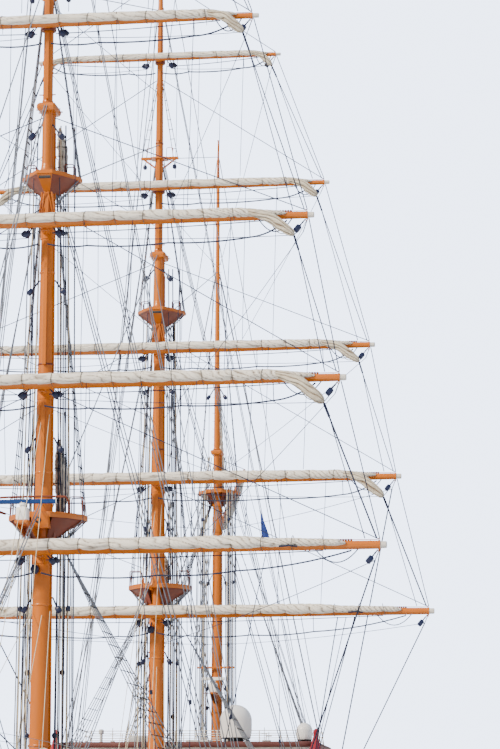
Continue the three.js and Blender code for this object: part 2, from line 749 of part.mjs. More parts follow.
function mizzenMast() {
  const mast = MASTS.mizzen;
  const pole = bar(
    [0, mast.y, mizzenFoot - 20],
    [0, mast.y, MIZZEN_CAP_Z + 22],
    mast.deckRadius,
    mast.headRadius,
    24,
  );
  const lugs = [GOOSENECK_Z, GAFF_Z].flatMap((z) => hingeLugs(mast, z, mizzenRadiusAt(z)));
  const top = platform(mast.y, MIZZEN_TOP_Z, 105, 64, 90, 25, 8, 66);
  const cap = box(-28, 28, mizzenTopmastY - 27, mast.y + 28, MIZZEN_CAP_Z, MIZZEN_CAP_Z + 22);
  const bore = bar([0, mizzenTopmastY, MIZZEN_CAP_Z - 5], [0, mizzenTopmastY, MIZZEN_CAP_Z + 30], 15 + GAP, undefined, 24);
  const stand = radarStand(mast, RADAR_MIZZEN, mast.y, 30);
  const yardarm = box(-92, 92, mast.y - 44, mast.y - 34, 1268, 1278);
  const strut = box(-8, 8, mast.y - 40, mast.y, 1264, 1282);
  return seated(join(pole, ...lugs, cap, yardarm, strut).add(top).add(stand).subtract(solidOf(bore)));
}

function mizzenTopmast() {
  const radii = [
    [MIZZEN_TOP_Z + 8 + GAP, 15],
    [MIZZEN_CAP_Z + 60, 15],
    [MIZZEN_TRUCK_Z - 200, 8],
    [MIZZEN_TRUCK_Z, 3],
  ];
  return spar(
    radii.map(([z, radius]) => ({ at: [0, mizzenTopmastY, z], radius })),
    "z",
    24,
  );
}

// Spanker boom and gaff, each on a pin in the mizzen's lugs.
const hingePinY = (z) => MASTS.mizzen.y + mizzenRadiusAt(z) + TRUSS_AHEAD;

function hingedStick({ z, length, rise, thick, tip }, grow = 0) {
  const start = hingePinY(z) + 20;
  const points = [0, 0.3, 0.75, 1].map((share, i) => ({
    at: [0, start + share * length, z + share * rise],
    radius: [thick * 0.7, thick, thick * 0.9, tip][i] + grow,
  }));
  return spar(points, "y", 14);
}

function hingedSpar(shape) {
  const { z } = shape;
  const pin = hingePinY(z);
  const barrel = bar(
    [0, pin, z - TRUSS_BARREL_HEIGHT / 2],
    [0, pin, z + TRUSS_BARREL_HEIGHT / 2],
    TRUSS_BARREL_RADIUS,
    undefined,
    16,
  );
  const neck = box(-6, 6, pin, pin + 28, z - 8, z + 8);
  return join(barrel, neck, hingedStick(shape));
}

const BOOM = { z: GOOSENECK_Z, length: 1480, rise: 40, thick: 15, tip: 9 };
const GAFF = { z: GAFF_Z, length: 900, rise: 420, thick: 12, tip: 7 };

// Furled spanker lying under the gaff, and the topsail stowed along the mizzen topmast.
function spankerFurl() {
  const pin = hingePinY(GAFF_Z);
  const shares = [0.05, 0.15, 0.4, 0.7, 0.9, 0.97];
  const radii = [10, 24, 27, 22, 14, 5];
  const points = shares.map((share, i) => ({
    at: [
      0,
      pin + 20 + share * GAFF.length,
      GAFF_Z + share * GAFF.rise - (GAFF.thick + radii[i]) * Math.hypot(1, GAFF.rise / GAFF.length) + 4,
    ],
    radius: radii[i],
  }));
  return largestOf(solidOf(spar(points, "y", 12)).subtract(solidOf(hingedStick(GAFF, GAP))));
}

function topsailFurl() {
  const y = MASTS.mizzen.y;
  return spar(
    [
      { at: [6, y + 52, MIZZEN_TOP_Z + 8 + GAP], radius: 24 },
      { at: [2, y + 54, MIZZEN_TOP_Z + 90], radius: 24 },
      { at: [0, y + 53, MIZZEN_CAP_Z + 24], radius: 23 },
      { at: [0, y + 36, MIZZEN_CAP_Z + 90], radius: 22 },
      { at: [0, y - 5, MIZZEN_CAP_Z + 330], radius: 15 },
      { at: [0, y - 16, MIZZEN_CAP_Z + 420], radius: 6 },
    ],
    "z",
    12,
  );
}

// The axis that a yard turns on, and the yard's own centreline.
function yardPlace(mast, index) {
  const [, z, , , , ahead] = YARDS[index];
  const pin =
    index < TRUSSED_YARDS
      ? mast.y - mastRadiusAt(mast, z, mainDeckZ(mast.y), CAP_Z) - TRUSS_AHEAD
      : topgallantAxisY(mast);
  return { pin, y: pin - ahead, z };
}

const topgallantRadiusAt = (z) =>
  z < SPREADER_Z
    ? TOPGALLANT_FOOT_RADIUS + ((17 - TOPGALLANT_FOOT_RADIUS) * (z - CAP_Z - CAP_HEIGHT - 60)) / (SPREADER_Z - CAP_Z - CAP_HEIGHT - 60)
    : 17 + ((TOPGALLANT_TRUCK_RADIUS - 17) * (z - SPREADER_Z)) / (TRUCK_Z - 60 - SPREADER_Z);

// Radii along one half of a yard, from its middle to the narrow tip.
function yardTaper(index) {
  const [, , length, middle, arm] = YARDS[index];
  const half = length / 2;
  const tip = half - YARD_TIP;
  return [
    [0, middle],
    [half * 0.25, middle * 0.98],
    [half * 0.6, middle * 0.86],
    [tip, arm],
    [tip + 1, arm * 0.86],
    [half, arm * 0.84],
  ];
}

function yardRadius(index, x) {
  const taper = yardTaper(index);
  const next = Math.max(
    taper.findIndex(([place]) => place >= Math.abs(x)),
    1,
  );
  const [x0, r0] = taper[next - 1];
  const [x1, r1] = taper[next];
  return r0 + ((r1 - r0) * (Math.abs(x) - x0)) / (x1 - x0);
}

// The bare stick of a yard, made thicker all round by so much.
function yardStick(mast, index, grow = 0) {
  const [, z] = YARDS[index];
  const { y } = yardPlace(mast, index);
  const right = yardTaper(index);
  const whole = [...right.slice(1).reverse().map(([x, r]) => [-x, r]), ...right];
  return spar(
    whole.map(([x, radius]) => ({ at: [x, y, z], radius: radius + grow })),
    "x",
    14,
  );
}

// A yard: tapering spar, narrow arms at its ends, and its truss or parrel.
function yard(mast, index) {
  const [, z] = YARDS[index];
  const { pin, y } = yardPlace(mast, index);
  const stick = yardStick(mast, index);
  if (index < TRUSSED_YARDS) {
    const barrel = bar(
      [0, pin, z - TRUSS_BARREL_HEIGHT / 2],
      [0, pin, z + TRUSS_BARREL_HEIGHT / 2],
      TRUSS_BARREL_RADIUS,
      undefined,
      16,
    );
    return join(stick, barrel, box(-9, 9, y, pin, z - 9, z + 9));
  }
  const mastRadius = topgallantRadiusAt(z - PARREL_HEIGHT);
  const inner = (mastRadius + PIN_GAP) / Math.cos(Math.PI / 24);
  const collar = bar([0, pin, z - PARREL_HEIGHT / 2], [0, pin, z + PARREL_HEIGHT / 2], inner + PARREL_THICK, undefined, 24);
  const bore = bar([0, pin, z - PARREL_HEIGHT], [0, pin, z + PARREL_HEIGHT], inner, undefined, 24);
  const neck = box(-10, 10, y, pin - inner + 2, z - 10, z + 10);
  return join(stick, collar, neck).subtract(solidOf(bore));
}

// A furled square sail: the roll on the fore side of its yard and a clew hanging from each end of it.
function furledSail(mast, index) {
  const [, z, length, , , , furl, clewFrom, clewTo, clewDrop] = YARDS[index];
  const { y } = yardPlace(mast, index);
  const half = length / 2;
  const elevation = THREE.MathUtils.degToRad(22);
  const place = (x, radius) => {
    const reach = yardRadius(index, x) + radius - 1;
    return [x, y - reach * Math.cos(elevation), z + reach * Math.sin(elevation)];
  };
  const roll = index === 0 ? [0, 0.2, 0.4, clewFrom, 0.66, 0.8, 0.88] : [0, 0.25, 0.5, 0.7, clewFrom, clewFrom + 0.03];
  const thick = index === 0 ? [1, 1.02, 1.04, 1.3, 0.8, 0.66, 0.3] : [1, 1.05, 1, 0.95, 0.9, 0.5];
  const right = roll.map((share, i) => {
    const radius = furl * thick[i];
    return { at: place(share * half, radius), radius };
  });
  const left = right
    .slice(1)
    .reverse()
    .map(({ at, radius }) => ({ at: [-at[0], at[1], at[2]], radius }));
  const clews = [-1, 1].map((s) => {
    const start = place(clewFrom * half, furl);
    const from = [s * start[0], start[1] - 5, start[2]];
    const to = [s * clewTo * half, start[1] - 9, z - clewDrop];
    return bar(from, to, furl * 0.95, furl * 0.4, 10);
  });
  return largestOf(join(spar([...left, ...right], "x", 10), ...clews).subtract(solidOf(yardStick(mast, index, GAP))));
}

// Furled headsails lying along the bowsprit.
function headsailFurl() {
  const shares = [-4300, -4360, -4500, -4700, -4860, -4920];
  const radii = [6, 20, 24, 22, 16, 6];
  const { heelY, heelZ, tipY, tipZ, heelRadius, tipRadius } = BOWSPRIT;
  const boom = bar([0, heelY, heelZ], [0, tipY, tipZ], heelRadius + GAP, tipRadius + GAP, 16);
  const roll = spar(
    shares.map((y, i) => ({ at: [0, y, bowspritAt(y) + 20 + radii[i] * 1.05], radius: radii[i] })),
    "y",
    12,
  );
  return largestOf(solidOf(roll).subtract(solidOf(boom)));
}

// Main stays of the masts, as plain wires from a masthead to the deck or the bowsprit, cut at their seats.
const STAY_RADIUS = 4;
const STAYS = {
  stay_fore: { mast: "fore", z: 1542, foot: [0, -3800, 600] },
  stay_fore_topmast: { mast: "fore", z: CAP_Z + 30, foot: [0, -4240, bowspritAt(-4240)] },
  stay_main: { mast: "main", z: 1590, foot: [0, MASTS.fore.y + 62, 300] },
  stay_mizzen: { mast: "mizzen", z: 2060, foot: [0, MASTS.main.y + 70, 250] },
};

function stay({ mast, z, foot }) {
  const { y, deckRadius, headRadius } = MASTS[mast];
  const { heelY, heelZ, tipY, tipZ, heelRadius, tipRadius } = BOWSPRIT;
  const wire = bar([0, y, z], foot, STAY_RADIUS, STAY_RADIUS, 8);
  const pole =
    mast === "mizzen"
      ? bar([0, y, mizzenFoot - 20], [0, y, MIZZEN_CAP_Z + 22], deckRadius + GAP, headRadius + GAP, 24)
      : bar([0, y, mainDeckZ(y) + GAP - 20], [0, y, CAP_Z + CAP_HEIGHT], deckRadius + GAP, headRadius + GAP, 24);
  const boom = bar([0, heelY, heelZ], [0, tipY, tipZ], heelRadius + GAP, tipRadius + GAP, 16);
  const capFront = topgallantAxisY(MASTS[mast]) - CAP_FORWARD - GAP;
  const cap = box(-34, 34, capFront, y + 34, CAP_Z - 60, CAP_Z + 60);
  return seated(solidOf(wire).subtract(solidOf(pole)).subtract(solidOf(boom)).subtract(solidOf(cap)));
}

const paint = (hex, roughness = 0.5, metalness = 0) =>
  new THREE.MeshStandardMaterial({ color: hex, roughness, metalness });
const MATERIALS = {
  topside: paint(0xf1f1ec, 0.45),
  mast: paint(0xd98324, 0.4),
  deckhouse: paint(0xf3f1ea, 0.5),
  roof: paint(0x5f3a33, 0.6),
  dome: paint(0xf5f6f7, 0.35),
  canvas: paint(0xe4dccb, 0.9),
  steel: paint(0x3a4048, 0.5, 0.6),
  bronze: paint(0xb08a3e, 0.35, 1),
  wood: paint(0x8a5a2c, 0.55),
  radarBlue: paint(0x1659a8, 0.4),
  wire: paint(0x6d7277, 0.5, 0.8),
};

const ship = new THREE.Group();

function add(name, shape, material, at = [0, 0, 0]) {
  const geometry = shape.isBufferGeometry ? shape : geometryOf(shape);
  const mesh = new THREE.Mesh(geometry, material);
  mesh.name = name;
  mesh.position.set(...at);
  ship.add(mesh);
}

add("hull", hullSolid, MATERIALS.topside);
add("forecastle", forecastleSolid, MATERIALS.topside);
add("quarterdeck", quarterdeckSolid, MATERIALS.topside);
add("bulwark_port", bulwark(1), MATERIALS.topside);
add("bulwark_starboard", bulwark(-1), MATERIALS.topside);
add("deckhouse_fore", deckhouse(), MATERIALS.deckhouse);
add("bridge_house", bridgeHouse(), MATERIALS.deckhouse);
add("bridge_roof", bridgeRoof(), MATERIALS.roof);
const roofTop = BRIDGE.wallTop + 2 * GAP + BRIDGE.roofThick;
add("radome_large", radome(73, 18), MATERIALS.dome, [218, 900, roofTop]);
add("radome_small", radome(37, 10), MATERIALS.dome, [534, 900, roofTop]);
add("boat_port", boat(), MATERIALS.deckhouse, [BOAT.x, BOAT.y, 0]);
add("boat_starboard", solidOf(boat()).mirror([1, 0, 0]), MATERIALS.deckhouse, [-BOAT.x, BOAT.y, 0]);
add("davits_port", davits(1), MATERIALS.deckhouse);
add("davits_starboard", davits(-1), MATERIALS.deckhouse);
add("rudder", rudder(), MATERIALS.topside);
add("propeller", propeller(), MATERIALS.bronze);
add("helm_wheel", helmWheel(), MATERIALS.wood);
add("steering_box", steeringBox(), MATERIALS.wood);
add("anchor_port", anchor(1), MATERIALS.steel);
add("anchor_starboard", anchor(-1), MATERIALS.steel);
add("windlass", windlass(), MATERIALS.steel);
add("bowsprit", bowsprit(), MATERIALS.mast);
add("sail_headsails", headsailFurl(), MATERIALS.canvas);

for (const side of ["fore", "main"]) {
  const mast = MASTS[side];
  const stand = side === "fore" ? radarStand(mast, RADAR_FORE, mast.y, 46) : null;
  const lower = squareMast(mast);
  add(`mast_${side}`, stand ? lower.add(stand) : lower, MATERIALS.mast);
  add(`mast_${side}_topgallant`, topgallantMast(mast), MATERIALS.mast);
  YARDS.forEach(([name], index) => {
    add(`yard_${side}_${name}`, yard(mast, index), MATERIALS.mast);
    add(`sail_${side}_${name}`, furledSail(mast, index), MATERIALS.canvas);
  });
}
add("radar_fore", radarScanner(MASTS.fore, RADAR_FORE), MATERIALS.radarBlue);
add("mast_mizzen", mizzenMast(), MATERIALS.mast);
add("mast_mizzen_top", mizzenTopmast(), MATERIALS.mast);
add("radar_mizzen", radarScanner(MASTS.mizzen, RADAR_MIZZEN), MATERIALS.dome);
add("boom_spanker", hingedSpar(BOOM), MATERIALS.mast);
add("gaff_spanker", hingedSpar(GAFF), MATERIALS.mast);
add("sail_spanker", spankerFurl(), MATERIALS.canvas);
add("sail_mizzen_topsail", topsailFurl(), MATERIALS.canvas);
for (const [name, run] of Object.entries(STAYS)) {
  add(name, stay(run), MATERIALS.wire);
}

export default ship;
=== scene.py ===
"""A three-masted sail-training barque with her square sails furled, as a 1:10 scale model.

Shapes are worked out in millimetres and made in metres. +Z is up, the bow points to -Y and port is +X.
"""

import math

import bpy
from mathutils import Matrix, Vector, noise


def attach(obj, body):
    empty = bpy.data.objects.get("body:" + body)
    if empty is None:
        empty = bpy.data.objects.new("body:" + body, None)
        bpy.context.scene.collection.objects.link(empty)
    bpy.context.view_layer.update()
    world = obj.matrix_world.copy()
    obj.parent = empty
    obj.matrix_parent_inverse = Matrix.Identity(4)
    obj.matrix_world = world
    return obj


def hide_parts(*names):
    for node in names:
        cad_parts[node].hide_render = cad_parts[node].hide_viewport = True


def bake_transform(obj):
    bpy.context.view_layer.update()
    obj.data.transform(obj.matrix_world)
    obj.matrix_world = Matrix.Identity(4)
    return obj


bl_info = {
    "name": "Tall ship",
    "version": (1, 0, 0),
    "blender": (4, 5, 0),
    "location": "View3D > Sidebar > Tall ship",
    "description": "Dresses the frame of a three-masted tall ship with her rigging, sails, decks and paint",
    "category": "Object",
}

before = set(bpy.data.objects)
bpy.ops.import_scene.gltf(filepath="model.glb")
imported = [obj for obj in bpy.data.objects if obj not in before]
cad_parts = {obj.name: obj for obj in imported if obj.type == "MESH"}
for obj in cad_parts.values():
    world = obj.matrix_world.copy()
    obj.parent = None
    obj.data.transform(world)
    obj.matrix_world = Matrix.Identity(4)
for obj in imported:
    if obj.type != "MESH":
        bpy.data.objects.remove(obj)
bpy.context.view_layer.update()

MM = 0.001
UP = (0, 0, 1)
ALONG = (0, 1, 0)
ACROSS = (1, 0, 0)
SIDES = (-1, 1)
SIDE_NAMES = ((1, "port"), (-1, "starboard"))

# Hull stations: place, half breadth at the deck and at the waterline, height of the keel, bilge and flare.
HULL_STATIONS = [
    (-4200, 16, 0, 560, 1.5, 1.3), (-4080, 95, 0, 380, 1.5, 1.3), (-3900, 195, 0, 170, 1.5, 1.3),
    (-3700, 275, 0, 0, 1.5, 1.3), (-3500, 335, 50, -230, 1.5, 1.3), (-3200, 410, 150, -430, 1.6, 1.2),
    (-2600, 500, 340, -500, 2.2, 1.1), (-1600, 575, 530, -520, 3.2, 1.0), (0, 590, 600, -530, 3.6, 1.0),
    (1200, 590, 590, -520, 3.0, 1.0), (2200, 560, 480, -480, 2.0, 0.9), (3000, 490, 270, -240, 1.6, 0.8),
    (3400, 420, 90, -60, 1.5, 0.65), (3700, 315, 0, 140, 1.5, 0.5), (3830, 215, 0, 270, 1.5, 0.45),
    (3880, 120, 0, 400, 1.5, 0.45),
]
KEEL_HALF = 6
BULWARK_HEIGHT = 130
BULWARK_THICK = 10
FORECASTLE_END = -2780
QUARTERDECK_START = 600
BOW_Y = HULL_STATIONS[0][0]
STERN_Y = HULL_STATIONS[-1][0]

# Masts: place, radius at the deck and at the head of the lower mast.
MASTS = {"fore": (-2350, 40, 21), "main": (0, 38, 21), "mizzen": (1770, 30, 22)}
SQUARE_MASTS = ("fore", "main")
FORE_Y, MAIN_Y, MIZZEN_Y = (spots[0] for spots in MASTS.values())
TOP_Z = 1490
CROSSTREES_Z = 2700
CAP_Z = 2930
CAP_HEIGHT = 26
CAP_FORWARD = 34
TRUCK_Z = 4530
SPREADER_Z = 3380
HEAD_AHEAD = 42.5
MIZZEN_TOP_Z = 2145
MIZZEN_CAP_Z = 2330
MIZZEN_TRUCK_Z = 3950
MIZZEN_HEAD_Y = 1729
# Heights that the boom and the gaff turn at.
GOOSENECK_Z = 790
GAFF_Z = 1985

# Yards: height, length, radius amidships and at the arm, distance ahead of the axis they turn on,
# radius of the furled sail, and the clew's two ends as shares of the half length, with its drop.
YARDS = {
    "course": (1365, 2400, 20, 14, 44, 19, 0.57, 0.64, 46),
    "lower_topsail": (1940, 2130, 19, 13, 42, 18, 0.80, 0.93, 92),
    "upper_topsail": (2513, 1910, 18, 12, 40, 16, 0.79, 0.93, 78),
    "topgallant": (3240, 1520, 14, 10, 47, 15, 0.80, 0.93, 68),
    "royal": (3830, 1090, 11, 8, 40, 12, 0.80, 0.93, 58),
}
YARD_NAMES = list(YARDS)
TRUSSED = YARD_NAMES[:3]
TRUSS_AHEAD = 34
YARD_TIP = 22
SAIL_ELEVATION = math.radians(22)

BOWSPRIT = ((-3900, 652), (-5050, 1020), 30, 14)
BRIDGE_FLOOR = 649
BRIDGE_WALL = 843
BRIDGE_TOP = 869.3
# The two radars, where their scanners turn.
FORE_RADAR = (-34, FORE_Y - 178, 1513)
MIZZEN_RADAR = (0, MIZZEN_Y - 122, 1205)

# The boats: distance out from the middle line, place, and height of the keel.
BOAT_X = 395
BOAT_Y = 2640
BOAT_KEEL = 566


def linear(code):
    """A colour that is written as sRGB hex, as the linear values that Blender works in."""
    values = [int(code[i : i + 2], 16) / 255 for i in (1, 3, 5)]
    return tuple(v / 12.92 if v <= 0.04045 else ((v + 0.055) / 1.055) ** 2.4 for v in values)


def colour_property(title, code, tells):
    """A colour that a user may change."""
    return bpy.props.FloatVectorProperty(
        name=title, description=tells, default=linear(code), size=3, subtype="COLOR", min=0, max=1
    )


def length_property(title, millimetres, tells):
    """A length that a user may change, in metres."""
    return bpy.props.FloatProperty(
        name=title, description=tells, default=millimetres * MM, min=0, unit="LENGTH", precision=4
    )


class TallShipPaints(bpy.types.PropertyGroup):
    """Colours of the ship's paints and cloths."""

    mast: colour_property("Mast enamel", "#BC6400", "Ochre enamel on masts and yards")
    arm: colour_property("Yardarm enamel", "#D2D0CA", "Pale grey enamel on the tips of the yards")
    canvas: colour_property("Sailcloth", "#FCF8EE", "Cream cloth of the furled sails")
    clew: colour_property("Weathered sailcloth", "#DDD6C4", "Grey-khaki cloth of the gathered clews")
    hull: colour_property("Topside enamel", "#F2F1EC", "White enamel on the topsides")
    bottom: colour_property("Antifouling", "#7A2F26", "Red-brown paint below the waterline")
    roof: colour_property("Roof paint", "#5E3230", "Burgundy deck paint on the bridge top")
    radar: colour_property("Scanner enamel", "#07336F", "Blue enamel on the fore scanner")
    rope: colour_property("Running rope", "#12203F", "Navy polyester rope of the running rigging")


class TallShipSizes(bpy.types.PropertyGroup):
    """Sizes of what repeats along the ship."""

    ratline_step: length_property("Ratline spacing", 44, "Height from one ratline to the next")
    gasket_step: length_property("Gasket spacing", 104, "Distance from one gasket to the next along a sail")
    stirrup_step: length_property("Stirrup spacing", 290, "Distance between the stirrups of a footrope")
    post_step: length_property("Rail post spacing", 110, "Distance between the posts of a deck rail")
    port_step: length_property("Porthole spacing", 150, "Distance between portholes in the topsides")
    wire: length_property("Wire rope diameter", 3.2, "Diameter of shrouds and backstays")
    rope: length_property("Running rope diameter", 2.4, "Diameter of the running rigging")
    line_weight: bpy.props.FloatProperty(
        name="Line weight",
        description="How stout ropes are, against their scale size",
        default=1.55,
        min=0.5,
    )


def smooth_column(index):
    """A smooth curve through one column of the hull's stations that never overshoots it."""
    ys = [s[0] for s in HULL_STATIONS]
    vs = [s[index] for s in HULL_STATIONS]
    slopes = [(vs[i + 1] - vs[i]) / (ys[i + 1] - ys[i]) for i in range(len(ys) - 1)]
    tangents = []
    for i in range(len(ys)):
        before = slopes[max(i - 1, 0)]
        after = slopes[min(i, len(slopes) - 1)]
        tangents.append(0 if before * after <= 0 else 2 * before * after / (before + after))

    def value(y):
        i = 0
        while i < len(ys) - 2 and y >= ys[i + 1]:
            i += 1
        h = ys[i + 1] - ys[i]
        t = (y - ys[i]) / h
        return (
            vs[i] * (1 + 2 * t) * (1 - t) ** 2
            + tangents[i] * h * t * (1 - t) ** 2
            + vs[i + 1] * t * t * (3 - 2 * t)
            + tangents[i + 1] * h * t * t * (t - 1)
        )

    return value


deck_half = smooth_column(1)
water_half = smooth_column(2)
keel_z = smooth_column(3)
bilge = smooth_column(4)
flare = smooth_column(5)


def main_deck_z(y):
    """Height of the main deck at a place along the ship."""
    away = (y + 200) / 3900
    return 270 + (130 if away < 0 else 70) * away * away


def raised_deck_z(y):
    """Height of the forecastle and quarterdeck."""
    return main_deck_z(y) + 215


def rail_z(y):
    """Height of what the rigging is set up on along the ship's side."""
    return main_deck_z(y) + BULWARK_HEIGHT if FORECASTLE_END < y < QUARTERDECK_START else raised_deck_z(y)


def side_x(y, z):
    """Half breadth of the hull's skin at a place and height."""
    keel, water = keel_z(y), water_half(y)
    if z >= 0 or keel >= 0:
        low = max(keel, 0)
        share = max((z - low) / (raised_deck_z(y) - low), 0)
        return KEEL_HALF + water + (deck_half(y) - water) * share ** flare(y)
    return KEEL_HALF + water * math.sqrt(max(1 - (z / keel) ** bilge(y), 0))


def chainplate(s, y):
    """Where a shroud or a backstay ends above the ship's side."""
    return Vector((s * (side_x(y, rail_z(y)) - 12), y, rail_z(y) + 58))


def bowsprit_z(y):
    """Height of the bowsprit's axis."""
    (y0, z0), (y1, z1) = BOWSPRIT[:2]
    return z0 + (z1 - z0) * (y0 - y) / (y0 - y1)


def mix(a, b, share):
    """A value or a point that lies at a share of the way from a to b."""
    return a + (b - a) * share


def spaced(a, b, count):
    """Values or points at equal steps from a to b."""
    return [mix(a, b, i / count) for i in range(count + 1)]


def circle(count):
    """The angles of a full circle in equal steps, with its start again at the end."""
    return [2 * math.pi * i / count for i in range(count + 1)]


def mirrored(side, y, middle=0):
    """A closed ring across the ship from one side's points, given as distance out and height."""
    ring = [(middle + x, y, z) for x, z in side] + [(middle - x, y, z) for x, z in reversed(side)]
    return [Vector(p) for p in ring]


def band_profile(radius, height, proud=2):
    """Profile of a band round a spar, with its edges eased."""
    return [(radius, 0), (radius + proud, 1), (radius + proud, height - 1), (radius, height)]


def through(table, x):
    """The value at x of a line drawn through pairs of place and value."""
    if x <= table[0][0]:
        return table[0][1]
    for (x0, v0), (x1, v1) in zip(table, table[1:]):
        if x <= x1:
            return mix(v0, v1, (x - x0) / (x1 - x0))
    return table[-1][1]


def mast_radius(name, z):
    """Radius of a lower mast at a height."""
    y, deck, head = MASTS[name]
    if name == "mizzen":
        return mix(deck, head, (z - raised_deck_z(y)) / (MIZZEN_CAP_Z - raised_deck_z(y)))
    return mix(deck, head, (z - main_deck_z(y)) / (CAP_Z - main_deck_z(y)))


HEAD_RADII = [
    (CROSSTREES_Z + 8.3, 17.5), (CAP_Z + CAP_HEIGHT + 60, 17.5), (SPREADER_Z, 17), (TRUCK_Z - 60, 8),
    (TRUCK_Z, 3),
]
MIZZEN_HEAD_RADII = [
    (MIZZEN_TOP_Z + 8.3, 15), (MIZZEN_CAP_Z + 60, 15), (MIZZEN_TRUCK_Z - 200, 8), (MIZZEN_TRUCK_Z, 3)
]


def spanker_pin(z):
    """Place along the ship of the upright axis that the boom or the gaff turns on."""
    return MIZZEN_Y + mast_radius("mizzen", z) + TRUSS_AHEAD


def yard_pin(mast, name):
    """Place along the ship of the upright axis that a yard turns on."""
    y = MASTS[mast][0]
    if name in TRUSSED:
        return y - mast_radius(mast, YARDS[name][0]) - TRUSS_AHEAD
    return y - HEAD_AHEAD


def yard_y(mast, name):
    """Place along the ship of a yard's own axis."""
    return yard_pin(mast, name) - YARDS[name][4]


def yard_taper(name):
    """Radii along one half of a yard, from its middle to the narrow tip."""
    _, length, middle, arm = YARDS[name][:4]
    half = length / 2
    tip = half - YARD_TIP
    return [
        (0, middle), (half * 0.25, middle * 0.98), (half * 0.6, middle * 0.86), (tip, arm),
        (tip + 1, arm * 0.86), (half, arm * 0.84),
    ]


def frames_along(path):
    """Two sides and the run of a path at each of its points, turned as little as possible."""
    last = len(path) - 1
    runs = [(path[min(i + 1, last)] - path[max(i - 1, 0)]).normalized() for i in range(last + 1)]
    side = runs[0].orthogonal().normalized()
    found = []
    for run in runs:
        side = (side - run * side.dot(run)).normalized()
        found.append((side, run.cross(side), run))
    return found


def smooth_path(points, steps):
    """A curve through points, with so many steps between one and the next."""
    points = [Vector(p) for p in points]
    ends = [points[0] * 2 - points[1], *points, points[-1] * 2 - points[-2]]
    path = []
    for i in range(1, len(ends) - 2):
        a, b, c, d = ends[i - 1 : i + 3]
        for k in range(steps):
            t = k / steps
            straight = 2 * b + (c - a) * t
            bend = (2 * a - 5 * b + 4 * c - d) * t * t
            path.append(0.5 * (straight + bend + (3 * b - a - 3 * c + d) * t**3))
    return [*path, points[-1]]


def hanging(a, b, sag, steps=8):
    """A rope's line between two points, with so much sag at its middle."""
    a, b = Vector(a), Vector(b)
    shares = [i / steps for i in range(steps + 1)]
    return [mix(a, b, share) - Vector((0, 0, sag * 4 * share * (1 - share))) for share in shares]


def ring_faces(rings, around):
    """Faces of a closed ring that is made of so many rings, each with so many points around it."""
    faces = []
    for r in range(rings):
        here, beyond = r * around, (r + 1) % rings * around
        for i in range(around):
            j = (i + 1) % around
            faces.append((here + i, here + j, beyond + j, beyond + i))
    return faces


